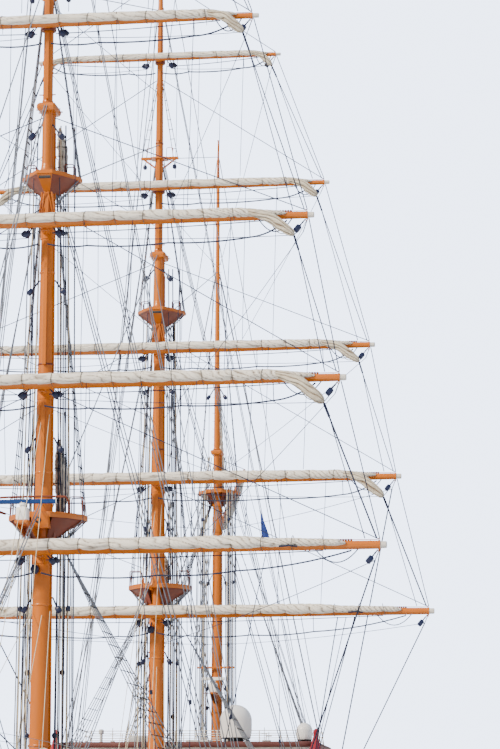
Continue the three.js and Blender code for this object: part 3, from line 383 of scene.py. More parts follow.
class Form:
    """Closed shapes gathered in millimetres, each face with the number of its finish."""

    def __init__(self):
        self.points = []
        self.faces = []
        self.finishes = []
        self.finish = 0

    def add(self, points, faces, finishes=None):
        """A closed shape, turned right side out."""
        first = len(self.points)
        volume = 0
        for face in faces:
            a = points[face[0]]
            for i, j in zip(face[1:], face[2:]):
                volume += a.dot(points[i].cross(points[j]))
        if volume < 0:
            faces = [tuple(reversed(face)) for face in faces]
        self.points.extend(points)
        self.faces.extend(tuple(first + i for i in face) for face in faces)
        self.finishes.extend(finishes or [self.finish] * len(faces))

    def loft(self, rings, strips=None):
        """A skin over rings of equally many points, closed at both ends; strips gives a strip's finish."""
        count = len(rings[0])
        faces, finishes = [], []
        for r in range(len(rings) - 1):
            for i in range(count):
                a = r * count + i
                b = r * count + (i + 1) % count
                faces.append((a, b, b + count, a + count))
                finishes.append((strips or {}).get(i, self.finish))
        last = (len(rings) - 1) * count
        faces += [tuple(reversed(range(count))), tuple(range(last, last + count))]
        self.add([p for ring in rings for p in ring], faces, finishes + [self.finish] * 2)

    def tube(self, path, radius, sides=12):
        """A round bar along a path, with one radius or one for each point."""
        path = [Vector(p) for p in path]
        radii = radius if isinstance(radius, (list, tuple)) else [radius] * len(path)
        turns = [(math.cos(a), math.sin(a)) for a in (2 * math.pi * i / sides for i in range(sides))]
        self.loft(
            [
                [p + (u * c + v * s) * r for c, s in turns]
                for p, r, (u, v, _) in zip(path, radii, frames_along(path))
            ]
        )

    def lathe(self, origin, axis, profile, sides=32):
        """A turned shape: a profile of radius and distance along an axis from its origin."""
        origin, axis = Vector(origin), Vector(axis).normalized()
        u = axis.orthogonal().normalized()
        v = axis.cross(u)
        turns = [2 * math.pi * (i + 0.5) / sides for i in range(sides)]
        self.loft(
            [
                [origin + axis * h + (u * math.cos(a) + v * math.sin(a)) * max(r, 0.02) for a in turns]
                for r, h in profile
            ]
        )

    def hollow(self, origin, axis, profile, sides=32):
        """A turned ring: a closed profile of radius and distance along an axis from its origin."""
        origin, axis = Vector(origin), Vector(axis).normalized()
        u = axis.orthogonal().normalized()
        v = axis.cross(u)
        turns = [2 * math.pi * i / sides for i in range(sides)]
        ways = [u * math.cos(a) + v * math.sin(a) for a in turns]
        points = [origin + axis * h + way * r for r, h in profile for way in ways]
        self.add(points, ring_faces(len(profile), sides))

    def slab(self, low, high, chamfer=1.0, turn=None, centre=None):
        """A block with its edges broken, that may be turned about a centre."""
        (x0, y0, z0), (x1, y1, z1) = low, high
        c = min(chamfer, (x1 - x0) / 3, (y1 - y0) / 3, (z1 - z0) / 3)

        def ring(z, inset):
            a0, a1, b0, b1 = x0 + inset, x1 - inset, y0 + inset, y1 - inset
            flat = [
                (a0 + c, b0), (a1 - c, b0), (a1, b0 + c), (a1, b1 - c), (a1 - c, b1), (a0 + c, b1),
                (a0, b1 - c), (a0, b0 + c),
            ]
            return [Vector((x, y, z)) for x, y in flat]

        rings = [ring(z0, c * 0.6), ring(z0 + c, 0), ring(z1 - c, 0), ring(z1, c * 0.6)]
        if turn is not None:
            middle = Vector(centre if centre is not None else (0, 0, 0))
            rings = [[middle + turn @ (p - middle) for p in ring_points] for ring_points in rings]
        self.loft(rings)

    def plate(self, outline, z0, z1):
        """A flat plate from an outline in X and Y."""
        self.loft([[Vector((x, y, z)) for x, y in outline] for z in (z0, z1)])

    def ball(self, centre, radius, squash=1.0, sides=16):
        """A ball, higher or lower than it is wide by squash."""
        rise = [math.pi * i / (sides // 2) for i in range(sides // 2 + 1)]
        profile = [(radius * math.sin(a), -radius * squash * math.cos(a)) for a in rise]
        self.lathe(centre, UP, profile, sides)


def make_mesh(name, form, crease=32):
    """The mesh of a form, in metres, shaded smooth except over its creases."""
    mesh = bpy.data.meshes.new(name)
    mesh.from_pydata([p * MM for p in form.points], [], form.faces)
    mesh.polygons.foreach_set("material_index", form.finishes)
    mesh.polygons.foreach_set("use_smooth", [True] * len(form.faces))
    mesh.set_sharp_from_angle(angle=math.radians(crease))
    return mesh


def place(obj, body, replaces=()):
    """Links a finished piece into the scene, lets it ride on its body and hides the CAD nodes that it stands
    for.
    """
    if obj.name not in bpy.context.scene.collection.objects:
        bpy.context.scene.collection.objects.link(obj)
    if body:
        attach(obj, body)
    if replaces:
        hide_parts(*replaces)
    return obj


def piece(name, form, looks, body="ship", replaces=(), crease=32):
    """A piece made of a form, with its finishes by their names, in the order of their numbers."""
    mesh = make_mesh(name, form, crease)
    for look in looks:
        mesh.materials.append(finish(look))
    return place(bpy.data.objects.new(name, mesh), body, replaces)


def add_node(tree, kind, inputs=None, stops=(), **settings):
    """A node with its settings, its values and its links; a node as a value gives its first output."""
    made = tree.nodes.new(kind)
    for name, value in settings.items():
        setattr(made, name, value)
    for i, (at, shade) in enumerate(stops):
        element = made.color_ramp.elements[i] if i < 2 else made.color_ramp.elements.new(at)
        element.position = at
        element.color = (*shade, 1)
    for key, value in (inputs or {}).items():
        value = value.outputs[0] if isinstance(value, bpy.types.Node) else value
        if isinstance(value, bpy.types.NodeSocket):
            tree.links.new(value, made.inputs[key])
        else:
            made.inputs[key].default_value = value
    return made


def new_finish(name, roughness, metallic=0.0, ior=1.5, **sockets):
    """An empty finish: its node tree, its shader and its object coordinates."""
    material = bpy.data.materials.new(name)
    material.use_nodes = True
    tree = material.node_tree
    tree.nodes.clear()
    values = {"Roughness": roughness, "Metallic": metallic, "IOR": ior}
    values.update({key.replace("_", " "): value for key, value in sockets.items()})
    shader = add_node(tree, "ShaderNodeBsdfPrincipled", values)
    add_node(tree, "ShaderNodeOutputMaterial", {"Surface": shader.outputs["BSDF"]})
    where = add_node(tree, "ShaderNodeTexCoord")
    return material, tree, shader, where.outputs["Object"]


def darker(shade, share):
    """A colour at a share of its brightness."""
    return tuple(v * share for v in shade)


def weather(tree, shader, where, shade, patch, spread, grain, depth, stretch=(1, 1, 1)):
    """Gives a coated surface its cloudy change of tone over patches, and its fine unevenness."""
    spot = add_node(tree, "ShaderNodeMapping", {"Vector": where, "Scale": stretch})
    cloud = add_node(tree, "ShaderNodeTexNoise", {"Vector": spot, "Scale": 1 / (patch * MM), "Detail": 4.0})
    tone = add_node(
        tree,
        "ShaderNodeValToRGB",
        {"Fac": cloud},
        stops=[(0.25, darker(shade, 1 - spread)), (0.75, darker(shade, 1 + spread * 0.4))],
    )
    tree.links.new(tone.outputs["Color"], shader.inputs["Base Color"])
    fine = add_node(tree, "ShaderNodeTexNoise", {"Vector": where, "Scale": 1 / (grain * MM), "Detail": 2.0})
    bump = add_node(tree, "ShaderNodeBump", {"Height": fine, "Strength": 0.5, "Distance": depth * MM})
    tree.links.new(bump.outputs["Normal"], shader.inputs["Normal"])
    return tone


def coated(name, shade, roughness, patch=80, spread=0.06, grain=4, depth=0.2, stretch=(1, 1, 1), **sockets):
    """An even coat of paint, gelcoat or metal with slight weathering."""
    material, tree, shader, where = new_finish(name, roughness, **sockets)
    weather(tree, shader, where, shade, patch, spread, grain, depth, stretch)
    return material


# Coated cloth of the covers and the pennant: half matt, softly creased and a little soiled.
COVER_CLOTH = dict(roughness=0.7, patch=30, spread=0.2, grain=5, depth=0.8)


def woven_cloth(name, shade, weave, soil, roughness):
    """Woven polyester sailcloth: matt, with a fine weave, slanting creases, soiled in cloudy patches, and
    painted grey-brown shade in its creases and folds.
    """
    material, tree, shader, where = new_finish(
        name, roughness, ior=1.45, Sheen_Weight=0.25, Sheen_Roughness=0.5
    )
    flat = add_node(tree, "ShaderNodeUVMap", uv_map="cloth").outputs["UV"]
    # The weave is drawn ten times coarser than the cloth's own threads, so that it shows at all.
    threads = [
        add_node(
            tree,
            "ShaderNodeTexWave",
            {"Vector": flat, "Scale": 1 / (weave * MM) / 20, "Distortion": 0.4, "Detail": 1.0},
            bands_direction=direction,
        ).outputs["Fac"] for direction in ("X", "Y")
    ]
    weave_height = add_node(tree, "ShaderNodeMath", {0: threads[0], 1: threads[1]}, operation="MAXIMUM")
    # Creases run slanting across the roll, ten times as long as they are wide.
    slanted = add_node(
        tree,
        "ShaderNodeMapping",
        {"Vector": flat, "Rotation": (0, 0, math.radians(-38)), "Scale": (0.09, 0.0105, 1)},
        vector_type="TEXTURE",
    )
    crease = add_node(
        tree,
        "ShaderNodeTexNoise",
        {"Vector": slanted, "Scale": 1.0, "Detail": 4.0, "Distortion": 0.5},
        noise_type="RIDGED_MULTIFRACTAL",
    )
    height = add_node(
        tree, "ShaderNodeMath", {0: crease, 1: 2.6, 2: weave_height}, operation="MULTIPLY_ADD"
    )
    bump = add_node(
        tree, "ShaderNodeBump", {"Height": height, "Strength": 0.85, "Distance": 1.3 * MM}, invert=True
    )
    tree.links.new(bump.outputs["Normal"], shader.inputs["Normal"])
    cloud = add_node(
        tree, "ShaderNodeTexNoise", {"Vector": where, "Scale": 22.0, "Detail": 5.0, "Distortion": 0.6}
    )
    tone = add_node(
        tree, "ShaderNodeValToRGB", {"Fac": cloud}, stops=[(0.3, darker(shade, 1 - soil)), (0.55, shade)]
    )
    # The hollows of the creases and the folds marked on the shape are mixed to grey-brown: painted shade.
    sunk = add_node(
        tree,
        "ShaderNodeMapRange",
        {"Value": crease, "From Min": 1.35, "From Max": 2.4, "To Min": 0.0, "To Max": 0.5},
    )
    fold = add_node(tree, "ShaderNodeAttribute", attribute_name="fold")
    depth = add_node(tree, "ShaderNodeMath", {0: fold.outputs["Fac"], 1: sunk}, operation="MAXIMUM")
    deep = add_node(
        tree,
        "ShaderNodeMix",
        {0: depth, 6: tone, 7: (*linear("#6E5946"), 1)},
        data_type="RGBA",
        blend_type="MIX",
    )
    tree.links.new(deep.outputs[2], shader.inputs["Base Color"])
    return material


def rope_finish(name, shade, roughness, metallic=0.0, lay=3.0):
    """Three-strand rope: the strands wind round it and catch the light one after another."""
    material, tree, shader, where = new_finish(name, roughness, metallic)
    turn = add_node(tree, "ShaderNodeAttribute", attribute_name="strand")
    wave = add_node(tree, "ShaderNodeMath", {0: turn.outputs["Fac"], 1: 2 * math.pi}, operation="MULTIPLY")
    swell = add_node(tree, "ShaderNodeMath", {0: wave}, operation="SINE")
    tone = add_node(
        tree,
        "ShaderNodeMapRange",
        {"Value": swell, "From Min": -1.0, "From Max": 1.0, "To Min": 0.72, "To Max": 1.1},
    )
    cloud = add_node(tree, "ShaderNodeTexNoise", {"Vector": where, "Scale": 30.0, "Detail": 3.0})
    patch = add_node(
        tree,
        "ShaderNodeValToRGB",
        {"Fac": cloud},
        stops=[(0.3, darker(shade, 0.8)), (0.7, darker(shade, 1.15))],
    )
    scaled = add_node(tree, "ShaderNodeVectorMath", {0: patch, 3: tone}, operation="SCALE")
    tree.links.new(scaled.outputs["Vector"], shader.inputs["Base Color"])
    bump = add_node(tree, "ShaderNodeBump", {"Height": swell, "Strength": 0.5, "Distance": lay * 0.1 * MM})
    tree.links.new(bump.outputs["Normal"], shader.inputs["Normal"])
    return material


def topside_enamel(name, shade):
    """White topsides, a black boot-top and antifouling below, each from its own height."""
    material, tree, shader, where = new_finish(name, 0.3, Coat_Weight=0.2, Coat_Roughness=0.1)
    tone = weather(tree, shader, where, shade, 220, 0.035, 70, 0.8)
    height = add_node(tree, "ShaderNodeSeparateXYZ", {"Vector": where})
    band = add_node(
        tree,
        "ShaderNodeValToRGB",
        {
            "Fac": add_node(
                tree,
                "ShaderNodeMapRange",
                {
                    "Value": height.outputs["Z"], "From Min": -0.02, "From Max": 0.03, "To Min": 0.0,
                    "To Max": 1.0,
                },
            )
        },
        stops=[(0.0, bpy.context.scene.tall_ship_paints.bottom), (0.4, linear("#1A1D22"))],
    )
    band.color_ramp.interpolation = "CONSTANT"
    above = add_node(tree, "ShaderNodeMath", {0: height.outputs["Z"], 1: 0.022}, operation="GREATER_THAN")
    whole = add_node(tree, "ShaderNodeMix", {0: above, 6: band, 7: tone}, data_type="RGBA")
    tree.links.new(whole.outputs[2], shader.inputs["Base Color"])
    return material


def planked(name, shade, plank, length, roughness, caulking):
    """Laid planks: straight grain, each board its own tone, with a dark caulked seam between boards."""
    material, tree, shader, where = new_finish(name, roughness)
    flat = add_node(tree, "ShaderNodeMapping", {"Vector": where, "Rotation": (0, 0, math.pi / 2)})
    boards = add_node(
        tree,
        "ShaderNodeTexBrick",
        {
            "Vector": flat, "Color1": (*darker(shade, 0.86), 1), "Color2": (*darker(shade, 1.1), 1),
            "Mortar": (*linear(caulking), 1), "Scale": 1.0, "Mortar Size": plank * 0.06 * MM,
            "Brick Width": length * MM, "Row Height": plank * MM,
        },
    )
    grain = add_node(
        tree,
        "ShaderNodeTexNoise",
        {
            "Vector": add_node(tree, "ShaderNodeMapping", {"Vector": where, "Scale": (700.0, 40.0, 700.0)}),
            "Scale": 1.0,
            "Detail": 3.0,
        },
    )
    tone = add_node(
        tree,
        "ShaderNodeMix",
        {0: 0.35, 6: boards, 7: grain.outputs["Color"]},
        data_type="RGBA",
        blend_type="SOFT_LIGHT",
    )
    tree.links.new(tone.outputs[2], shader.inputs["Base Color"])
    bump = add_node(
        tree,
        "ShaderNodeBump",
        {"Height": boards.outputs["Fac"], "Strength": 0.6, "Distance": 0.6 * MM},
        invert=True,
    )
    tree.links.new(bump.outputs["Normal"], shader.inputs["Normal"])
    return material


FINISHES = {}
# Each finish: what makes it, its name, its colour or the paint that a user may change, and its own values.
FINISH_TABLE = {
    # Alkyd enamel sprayed on steel: glossy, faintly uneven, with pale streaks where rain has run down it.
    "mast": (coated, "mast_alkyd_enamel", "mast", dict(
        roughness=0.34, patch=60, spread=0.13, grain=5, depth=0.25, stretch=(1, 1, 0.22),
        Coat_Weight=0.15, Coat_Roughness=0.12)),
    # Red-brown on bands, collars and small fittings, flatter than the ochre beside it; on the undersides of
    # tops and crosstrees it is painted shade.
    "band": (coated, "band_alkyd_enamel", "#6E2C10", dict(
        roughness=0.5, patch=30, spread=0.2, grain=4, depth=0.25)),
    # Pale grey enamel on the yards' tips, chafed by lines.
    "arm": (coated, "yardarm_alkyd_enamel", "arm", dict(
        roughness=0.42, patch=12, spread=0.22, grain=3, depth=0.2)),
    # Cream sailcloth of the furled sails.
    "sail": (woven_cloth, "sailcloth_cream_polyester", "canvas", dict(
        weave=0.5, soil=0.06, roughness=0.88)),
    # Weathered cloth of the gathered clews, greyer and more soiled than the rolls.
    "clew": (woven_cloth, "sailcloth_weathered_polyester", "clew", dict(
        weave=0.6, soil=0.28, roughness=0.92)),
    # Braided polyester of the running rigging, dark navy and matt.
    "navy": (rope_finish, "running_rope_polyester", "rope", dict(roughness=0.75)),
    # Galvanised wire rope of shrouds and stays: grey, half shiny, dulled by zinc bloom.
    "wire": (rope_finish, "galvanised_wire_rope", "#858D9B", dict(roughness=0.5, metallic=0.3)),
    # Undyed hemp-coloured rope, dry and pale.
    "pale": (rope_finish, "undyed_rope_polyester", "#D8CDB4", dict(roughness=0.85)),
    # Tarred cord of ratlines, bow net, seizings and staysail gaskets, nearly black.
    "tarred": (rope_finish, "tarred_seizing_cord", "#14151B", dict(roughness=0.8)),
    # Faded grey-brown cord of the gaskets, dry and soft.
    "gasket": (rope_finish, "faded_gasket_cord", "#6C655D", dict(roughness=0.88)),
    # Moulded composite shells of blocks, dark blue-black with a satin face.
    "block": (coated, "block_moulded_composite", "#0A1A42", dict(
        roughness=0.42, patch=8, spread=0.25, grain=1.5, depth=0.1)),
    # Marine enamel over welded plates: white topsides, a black boot-top and matt antifouling below.
    "topside": (topside_enamel, "topside_marine_enamel", "hull", {}),
    # Scrubbed teak decks, silvery tan with black caulking.
    "deck": (planked, "deck_scrubbed_teak", "#BFA27C", dict(
        plank=11, length=620, roughness=0.75, caulking="#2A241F")),
    # Varnished teak of rails, doors and the wheel: warm, grained and glossy.
    "teak": (coated, "joinery_varnished_teak", "#8A5427", dict(
        roughness=0.25, patch=14, spread=0.35, grain=2, depth=0.12, stretch=(1, 0.16, 1),
        Coat_Weight=0.5, Coat_Roughness=0.08)),
    # White enamel on the deckhouses.
    "house": (coated, "deckhouse_alkyd_enamel", "#F1EFE8", dict(roughness=0.4)),
    # Burgundy deck paint with grit in it, dull and a little chalky.
    "roof": (coated, "roof_deck_paint", "roof", dict(
        roughness=0.62, patch=45, spread=0.16, grain=1.2, depth=0.3)),
    # Polyester gelcoat of the aerial domes: smooth, white and glossy.
    "dome": (coated, "dome_polyester_gelcoat", "#F6F7F8", dict(
        roughness=0.22, patch=120, spread=0.03, grain=30, depth=0.1, Coat_Weight=0.3)),
    # Dark toughened glass of windows and portholes.
    "glass": (coated, "window_toughened_glass", "#1B2730", dict(
        roughness=0.05, patch=60, spread=0.2, grain=40, depth=0.05, ior=1.52)),
    # Blue enamel on the moulded scanner.
    "scanner": (coated, "scanner_enamel", "radar", dict(
        roughness=0.3, patch=30, spread=0.1, grain=3, depth=0.1)),
    # Cast manganese bronze, polished where water runs over it.
    "bronze": (coated, "cast_manganese_bronze", "#B98A45", dict(
        roughness=0.32, patch=25, spread=0.25, grain=2, depth=0.15, metallic=1.0)),
    # Hot-dip galvanised steel fittings, grey and slightly spangled.
    "zinc": (coated, "hot_dip_galvanised_steel", "#8E959C", dict(
        roughness=0.48, patch=6, spread=0.25, grain=2, depth=0.1, metallic=0.7)),
    # Black bitumen enamel on cast steel.
    "iron": (coated, "cast_steel_black_enamel", "#20242A", dict(
        roughness=0.45, patch=20, spread=0.3, grain=3, depth=0.3)),
    # Grey machinery enamel on stands and pedestals.
    "grey": (coated, "machinery_enamel_pale", "#C9CDD0", dict(roughness=0.4)),
    # Grey-cream coated cloth over the boats, softly creased.
    "boat_cover": (coated, "boat_cover_coated_cloth", "#CFC8B6", COVER_CLOTH),
    # Crimson coated cloth over a lamp.
    "crimson": (coated, "lamp_cover_coated_cloth", "#A3122E", COVER_CLOTH),
    # Blue wool bunting of the small pennant.
    "bunting": (coated, "pennant_wool_bunting", "#1B3A8C", COVER_CLOTH),
    # Orange moulded shell of lifebuoys.
    "orange": (coated, "lifebuoy_orange_shell", "#E2581C", dict(roughness=0.45)),
    # Pale matt paper of the studio floor.
    "floor": (coated, "studio_paper", "#E9ECEF", dict(
        roughness=0.9, patch=900, spread=0.01, grain=300, depth=0.1)),
}


def finish(name):
    """A finish by its name, made when it is first asked for."""
    if name not in FINISHES:
        make, title, shade, values = FINISH_TABLE[name]
        paints = bpy.context.scene.tall_ship_paints
        colour = linear(shade) if shade.startswith("#") else getattr(paints, shade)
        FINISHES[name] = make(title, colour, **values)
    return FINISHES[name]


def new_tree(name, *inputs):
    """A geometry tree with its named inputs: the nodes that begin and end it."""
    tree = bpy.data.node_groups.new(name, "GeometryNodeTree")
    tree.interface.new_socket("Geometry", in_out="INPUT", socket_type="NodeSocketGeometry")
    for title, kind, value in inputs:
        socket = tree.interface.new_socket(title, in_out="INPUT", socket_type=kind)
        if value is not None:
            socket.default_value = value
    tree.interface.new_socket("Geometry", in_out="OUTPUT", socket_type="NodeSocketGeometry")
    return tree, add_node(tree, "NodeGroupInput")


def close_tree(tree, start, shape, paint="Finish"):
    """Ends a geometry tree with real geometry in one finish."""
    real = add_node(tree, "GeometryNodeRealizeInstances", {"Geometry": shape})
    coated = add_node(tree, "GeometryNodeSetMaterial", {"Geometry": real, "Material": start.outputs[paint]})
    add_node(tree, "NodeGroupOutput", {"Geometry": coated})
    return tree


def laid_rope_tree():
    """Rope laid along edges: each path becomes a round rope as thick as its points say."""
    tree, start = new_tree(
        "laid_rope", ("Sides", "NodeSocketInt", 6), ("Strand Pitch", "NodeSocketFloat", 0.012),
        ("Finish", "NodeSocketMaterial", None),
    )
    path = add_node(tree, "GeometryNodeMeshToCurve", {"Mesh": start.outputs["Geometry"]})
    thick = add_node(tree, "GeometryNodeInputNamedAttribute", {"Name": "thick"}, data_type="FLOAT")
    along = add_node(tree, "GeometryNodeSplineParameter")
    turns = add_node(
        tree,
        "ShaderNodeMath",
        {0: along.outputs["Length"], 1: start.outputs["Strand Pitch"]},
        operation="DIVIDE",
    )
    marked = add_node(
        tree,
        "GeometryNodeStoreNamedAttribute",
        {"Geometry": path, "Name": "turns", "Value": turns},
        data_type="FLOAT",
        domain="POINT",
    )
    ring = add_node(
        tree, "GeometryNodeCurvePrimitiveCircle", {"Resolution": start.outputs["Sides"], "Radius": 1.0}
    )
    round_it = add_node(tree, "GeometryNodeSplineParameter")
    ring_marked = add_node(
        tree,
        "GeometryNodeStoreNamedAttribute",
        {"Geometry": ring, "Name": "round", "Value": round_it.outputs["Factor"]},
        data_type="FLOAT",
        domain="POINT",
    )
    skin = add_node(
        tree,
        "GeometryNodeCurveToMesh",
        {"Curve": marked, "Profile Curve": ring_marked, "Scale": thick, "Fill Caps": True},
    )
    turned = add_node(tree, "GeometryNodeInputNamedAttribute", {"Name": "turns"}, data_type="FLOAT")
    rounded = add_node(tree, "GeometryNodeInputNamedAttribute", {"Name": "round"}, data_type="FLOAT")
    strands = add_node(tree, "ShaderNodeMath", {0: rounded, 1: 3.0, 2: turned}, operation="MULTIPLY_ADD")
    stranded = add_node(
        tree,
        "GeometryNodeStoreNamedAttribute",
        {"Geometry": skin, "Name": "strand", "Value": strands},
        data_type="FLOAT",
        domain="POINT",
    )
    return close_tree(tree, start, stranded)


def fittings_tree():
    """A fitting set on every point, turned and sized as the point says."""
    tree, start = new_tree(
        "fittings_on_points", ("Fitting", "NodeSocketObject", None), ("Finish", "NodeSocketMaterial", None)
    )
    shape = add_node(tree, "GeometryNodeObjectInfo", {"Object": start.outputs["Fitting"]})
    turn = add_node(tree, "GeometryNodeInputNamedAttribute", {"Name": "turn"}, data_type="FLOAT_VECTOR")
    size = add_node(tree, "GeometryNodeInputNamedAttribute", {"Name": "size"}, data_type="FLOAT_VECTOR")
    rotation = add_node(tree, "FunctionNodeEulerToRotation", {"Euler": turn})
    each = add_node(
        tree,
        "GeometryNodeInstanceOnPoints",
        {
            "Points": start.outputs["Geometry"], "Instance": shape.outputs["Geometry"],
            "Rotation": rotation, "Scale": size,
        },
    )
    return close_tree(tree, start, each)


def railing_tree():
    """A deck railing along an edge path: posts at equal steps and rails between them."""
    tree, start = new_tree(
        "deck_railing", ("Step", "NodeSocketFloat", 0.11), ("Height", "NodeSocketFloat", 0.1),
        ("Post Radius", "NodeSocketFloat", 0.0024), ("Rail Radius", "NodeSocketFloat", 0.0018),
        ("Finish", "NodeSocketMaterial", None),
    )
    path = add_node(tree, "GeometryNodeMeshToCurve", {"Mesh": start.outputs["Geometry"]})
    steps = add_node(
        tree, "GeometryNodeResampleCurve", {"Curve": path, "Length": start.outputs["Step"]}, mode="LENGTH"
    )
    top = add_node(tree, "ShaderNodeCombineXYZ", {"Z": start.outputs["Height"]})
    upright = add_node(tree, "GeometryNodeCurvePrimitiveLine", {"End": top})
    post_ring = add_node(
        tree, "GeometryNodeCurvePrimitiveCircle", {"Resolution": 8, "Radius": start.outputs["Post Radius"]}
    )
    post = add_node(
        tree, "GeometryNodeCurveToMesh", {"Curve": upright, "Profile Curve": post_ring, "Fill Caps": True}
    )
    posts = add_node(tree, "GeometryNodeInstanceOnPoints", {"Points": steps, "Instance": post})
    rail_ring = add_node(
        tree, "GeometryNodeCurvePrimitiveCircle", {"Resolution": 8, "Radius": start.outputs["Rail Radius"]}
    )
    parts = [posts.outputs["Instances"]]
    for share in (0.36, 0.68, 1.0):
        rise = add_node(
            tree, "ShaderNodeMath", {0: start.outputs["Height"], 1: share}, operation="MULTIPLY"
        )
        offset = add_node(tree, "ShaderNodeCombineXYZ", {"Z": rise})
        raised = add_node(tree, "GeometryNodeTransform", {"Geometry": path, "Translation": offset})
        rail = add_node(
            tree,
            "GeometryNodeCurveToMesh",
            {"Curve": raised, "Profile Curve": rail_ring, "Fill Caps": True},
        )
        parts.append(rail.outputs["Mesh"])
    whole = add_node(tree, "GeometryNodeJoinGeometry")
    for part in parts:
        tree.links.new(part, whole.inputs["Geometry"])
    return close_tree(tree, start, whole)


TREES = {}
TREE_MAKERS = {"rope": laid_rope_tree, "fittings": fittings_tree, "railing": railing_tree}


def grown(name, seed, kind, values):
    """The plain mesh object that a geometry tree grows from a seed mesh."""
    if kind not in TREES:
        TREES[kind] = TREE_MAKERS[kind]()
    tree = TREES[kind]
    holder = bpy.data.objects.new(name, seed)
    bpy.context.scene.collection.objects.link(holder)
    modifier = holder.modifiers.new("Grow", "NODES")
    modifier.node_group = tree
    for item in tree.interface.items_tree:
        if item.item_type == "SOCKET" and item.in_out == "INPUT" and item.name in values:
            modifier[item.identifier] = values[item.name]
    graph = bpy.context.evaluated_depsgraph_get()
    mesh = bpy.data.meshes.new_from_object(holder.evaluated_get(graph), depsgraph=graph)
    holder.modifiers.clear()
    holder.data = mesh
    mesh.name = name
    if not mesh.polygons:
        raise RuntimeError(f"{name} came out empty")
    return holder


class Lines:
    """Ropes gathered in millimetres: the points that each runs through, and how thick it is."""

    def __init__(self):
        self.runs = []

    def run(self, points, diameter):
        """One rope along its points."""
        self.runs.append(([Vector(p) for p in points], diameter))

    def seed(self, name):
        """The edges that a tree grows its ropes or rails along."""
        points, edges, radii = [], [], []
        weight = bpy.context.scene.tall_ship_sizes.line_weight
        for path, diameter in self.runs:
            first = len(points)
            points.extend(p * MM for p in path)
            edges.extend((first + i, first + i + 1) for i in range(len(path) - 1))
            radii.extend([diameter * weight * MM / 2] * len(path))
        mesh = bpy.data.meshes.new(name)
        mesh.from_pydata(points, edges, [])
        mesh.attributes.new("thick", "FLOAT", "POINT").data.foreach_set("value", radii)
        return mesh

    def made(self, name, look, body="ship", slot="wire", sides=6, pitch=7.0):
        """The ropes as one piece on a body."""
        values = {"Sides": sides, "Strand Pitch": pitch * MM, "Finish": finish(look)}
        return place(grown(name, self.seed(name + "_seed"), "rope", values), body)

    def railing(self, name, look, values):
        """A railing along the lines, as one piece on the ship."""
        made = grown(name, self.seed(name + "_seed"), "railing", {"Finish": finish(look), **values})
        place(made, "ship")

    def blended(self, name, look, start, sides=6):
        """The ropes as one piece, fixed in the scene on no body."""
        values = {"Sides": sides, "Strand Pitch": 7.0 * MM, "Finish": finish(look)}
        made = place(grown(name, self.seed(name + "_seed"), "rope", values), None)
        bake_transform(made)
        return made


class Fittings:
    """Places of one kind of fitting: where each sits, how it is turned and its size."""

    def __init__(self):
        self.places = []

    def put(self, at, run=UP, size=1.0):
        """A fitting with its own upright along a run."""
        turn = Vector(run).to_track_quat("Z", "Y").to_euler()
        size = size if isinstance(size, (list, tuple)) else (size,) * 3
        self.places.append((Vector(at), turn, size))

    def made(self, name, master, look, body="ship", slot=None):
        """The fittings as one piece on a body."""
        seed = bpy.data.meshes.new(name + "_seed")
        seed.from_pydata([p * MM for p, _, _ in self.places], [], [])
        for key, column in (("turn", 1), ("size", 2)):
            values = [v for spot in self.places for v in spot[column]]
            seed.attributes.new(key, "FLOAT_VECTOR", "POINT").data.foreach_set("vector", values)
        pattern = bpy.data.objects.new(name + "_pattern", make_mesh(name + "_pattern", master, 40))
        bpy.context.scene.collection.objects.link(pattern)
        made = grown(name, seed, "fittings", {"Fitting": pattern, "Finish": finish(look)})
        bpy.data.objects.remove(pattern)
        return place(made, body)


def block_master():
    """A rope block 26 mm long: rounded cheeks round a sheave, hung by its top."""
    form = Form()
    outline = [(5.2, -26), (9.6, -21), (10.8, -14), (9.6, -7), (5.0, -1.5)]
    ring = outline + [(-x, z) for x, z in reversed(outline)]
    shares = [(-8.4, 0.72), (-6.6, 0.95), (-2.2, 1.0), (2.2, 1.0), (6.6, 0.95), (8.4, 0.72)]
    form.loft([[Vector((x * s, y, (z + 13) * s - 13)) for x, z in ring] for y, s in shares])
    form.tube([(0, 0, -3), (0, 0, 4)], 2.6, 6)
    return form


def bead_master():
    """A seizing bead of unit radius."""
    form = Form()
    form.ball((0, 0, 0), 1.0, 1.0, 6)
    return form


def turnbuckle_master():
    """A rigging screw 50 mm long, with its body and eyes."""
    form = Form()
    form.lathe((0, 0, 0), UP, [(2.2, 0), (2.2, 9), (4.2, 11), (4.2, 37), (2.4, 39), (2.4, 50)], 8)
    form.slab((-3.5, -1.4, -6), (3.5, 1.4, 4), 0.6)
    return form


def platform_outline(half, forward, aft, share=1.0):
    """Outline of a working platform round a mast, about the mast's axis."""
    side = [(0.26, -forward), (0.64, -forward * 0.35), (0.97, aft * 0.35), (1.0, aft * 0.72), (0.8, aft)]
    corners = [(half * x, y) for x, y in side]
    corners += [(-x, y) for x, y in reversed(corners)]
    return [(x * share, y * share) for x, y in corners]


def flat_ring(outline, y0, z):
    """An outline as points at a height, about a place on the centreline."""
    return [Vector((x, y0 + y, z)) for x, y in outline]


def hoop(form, x0, x1, y, z, height, radius=1.6):
    """A guard hoop that stands on a platform's edge, between two places across the ship."""
    x0, x1 = sorted((x0, x1))
    bend = 6
    form.tube(
        [
            (x0, y, z), (x0, y, z + height - bend), (x0 + bend * 0.3, y, z + height - bend * 0.3),
            (x0 + bend, y, z + height), (x1 - bend, y, z + height),
            (x1 - bend * 0.3, y, z + height - bend * 0.3), (x1, y, z + height - bend), (x1, y, z),
        ],
        radius,
        8,
    )


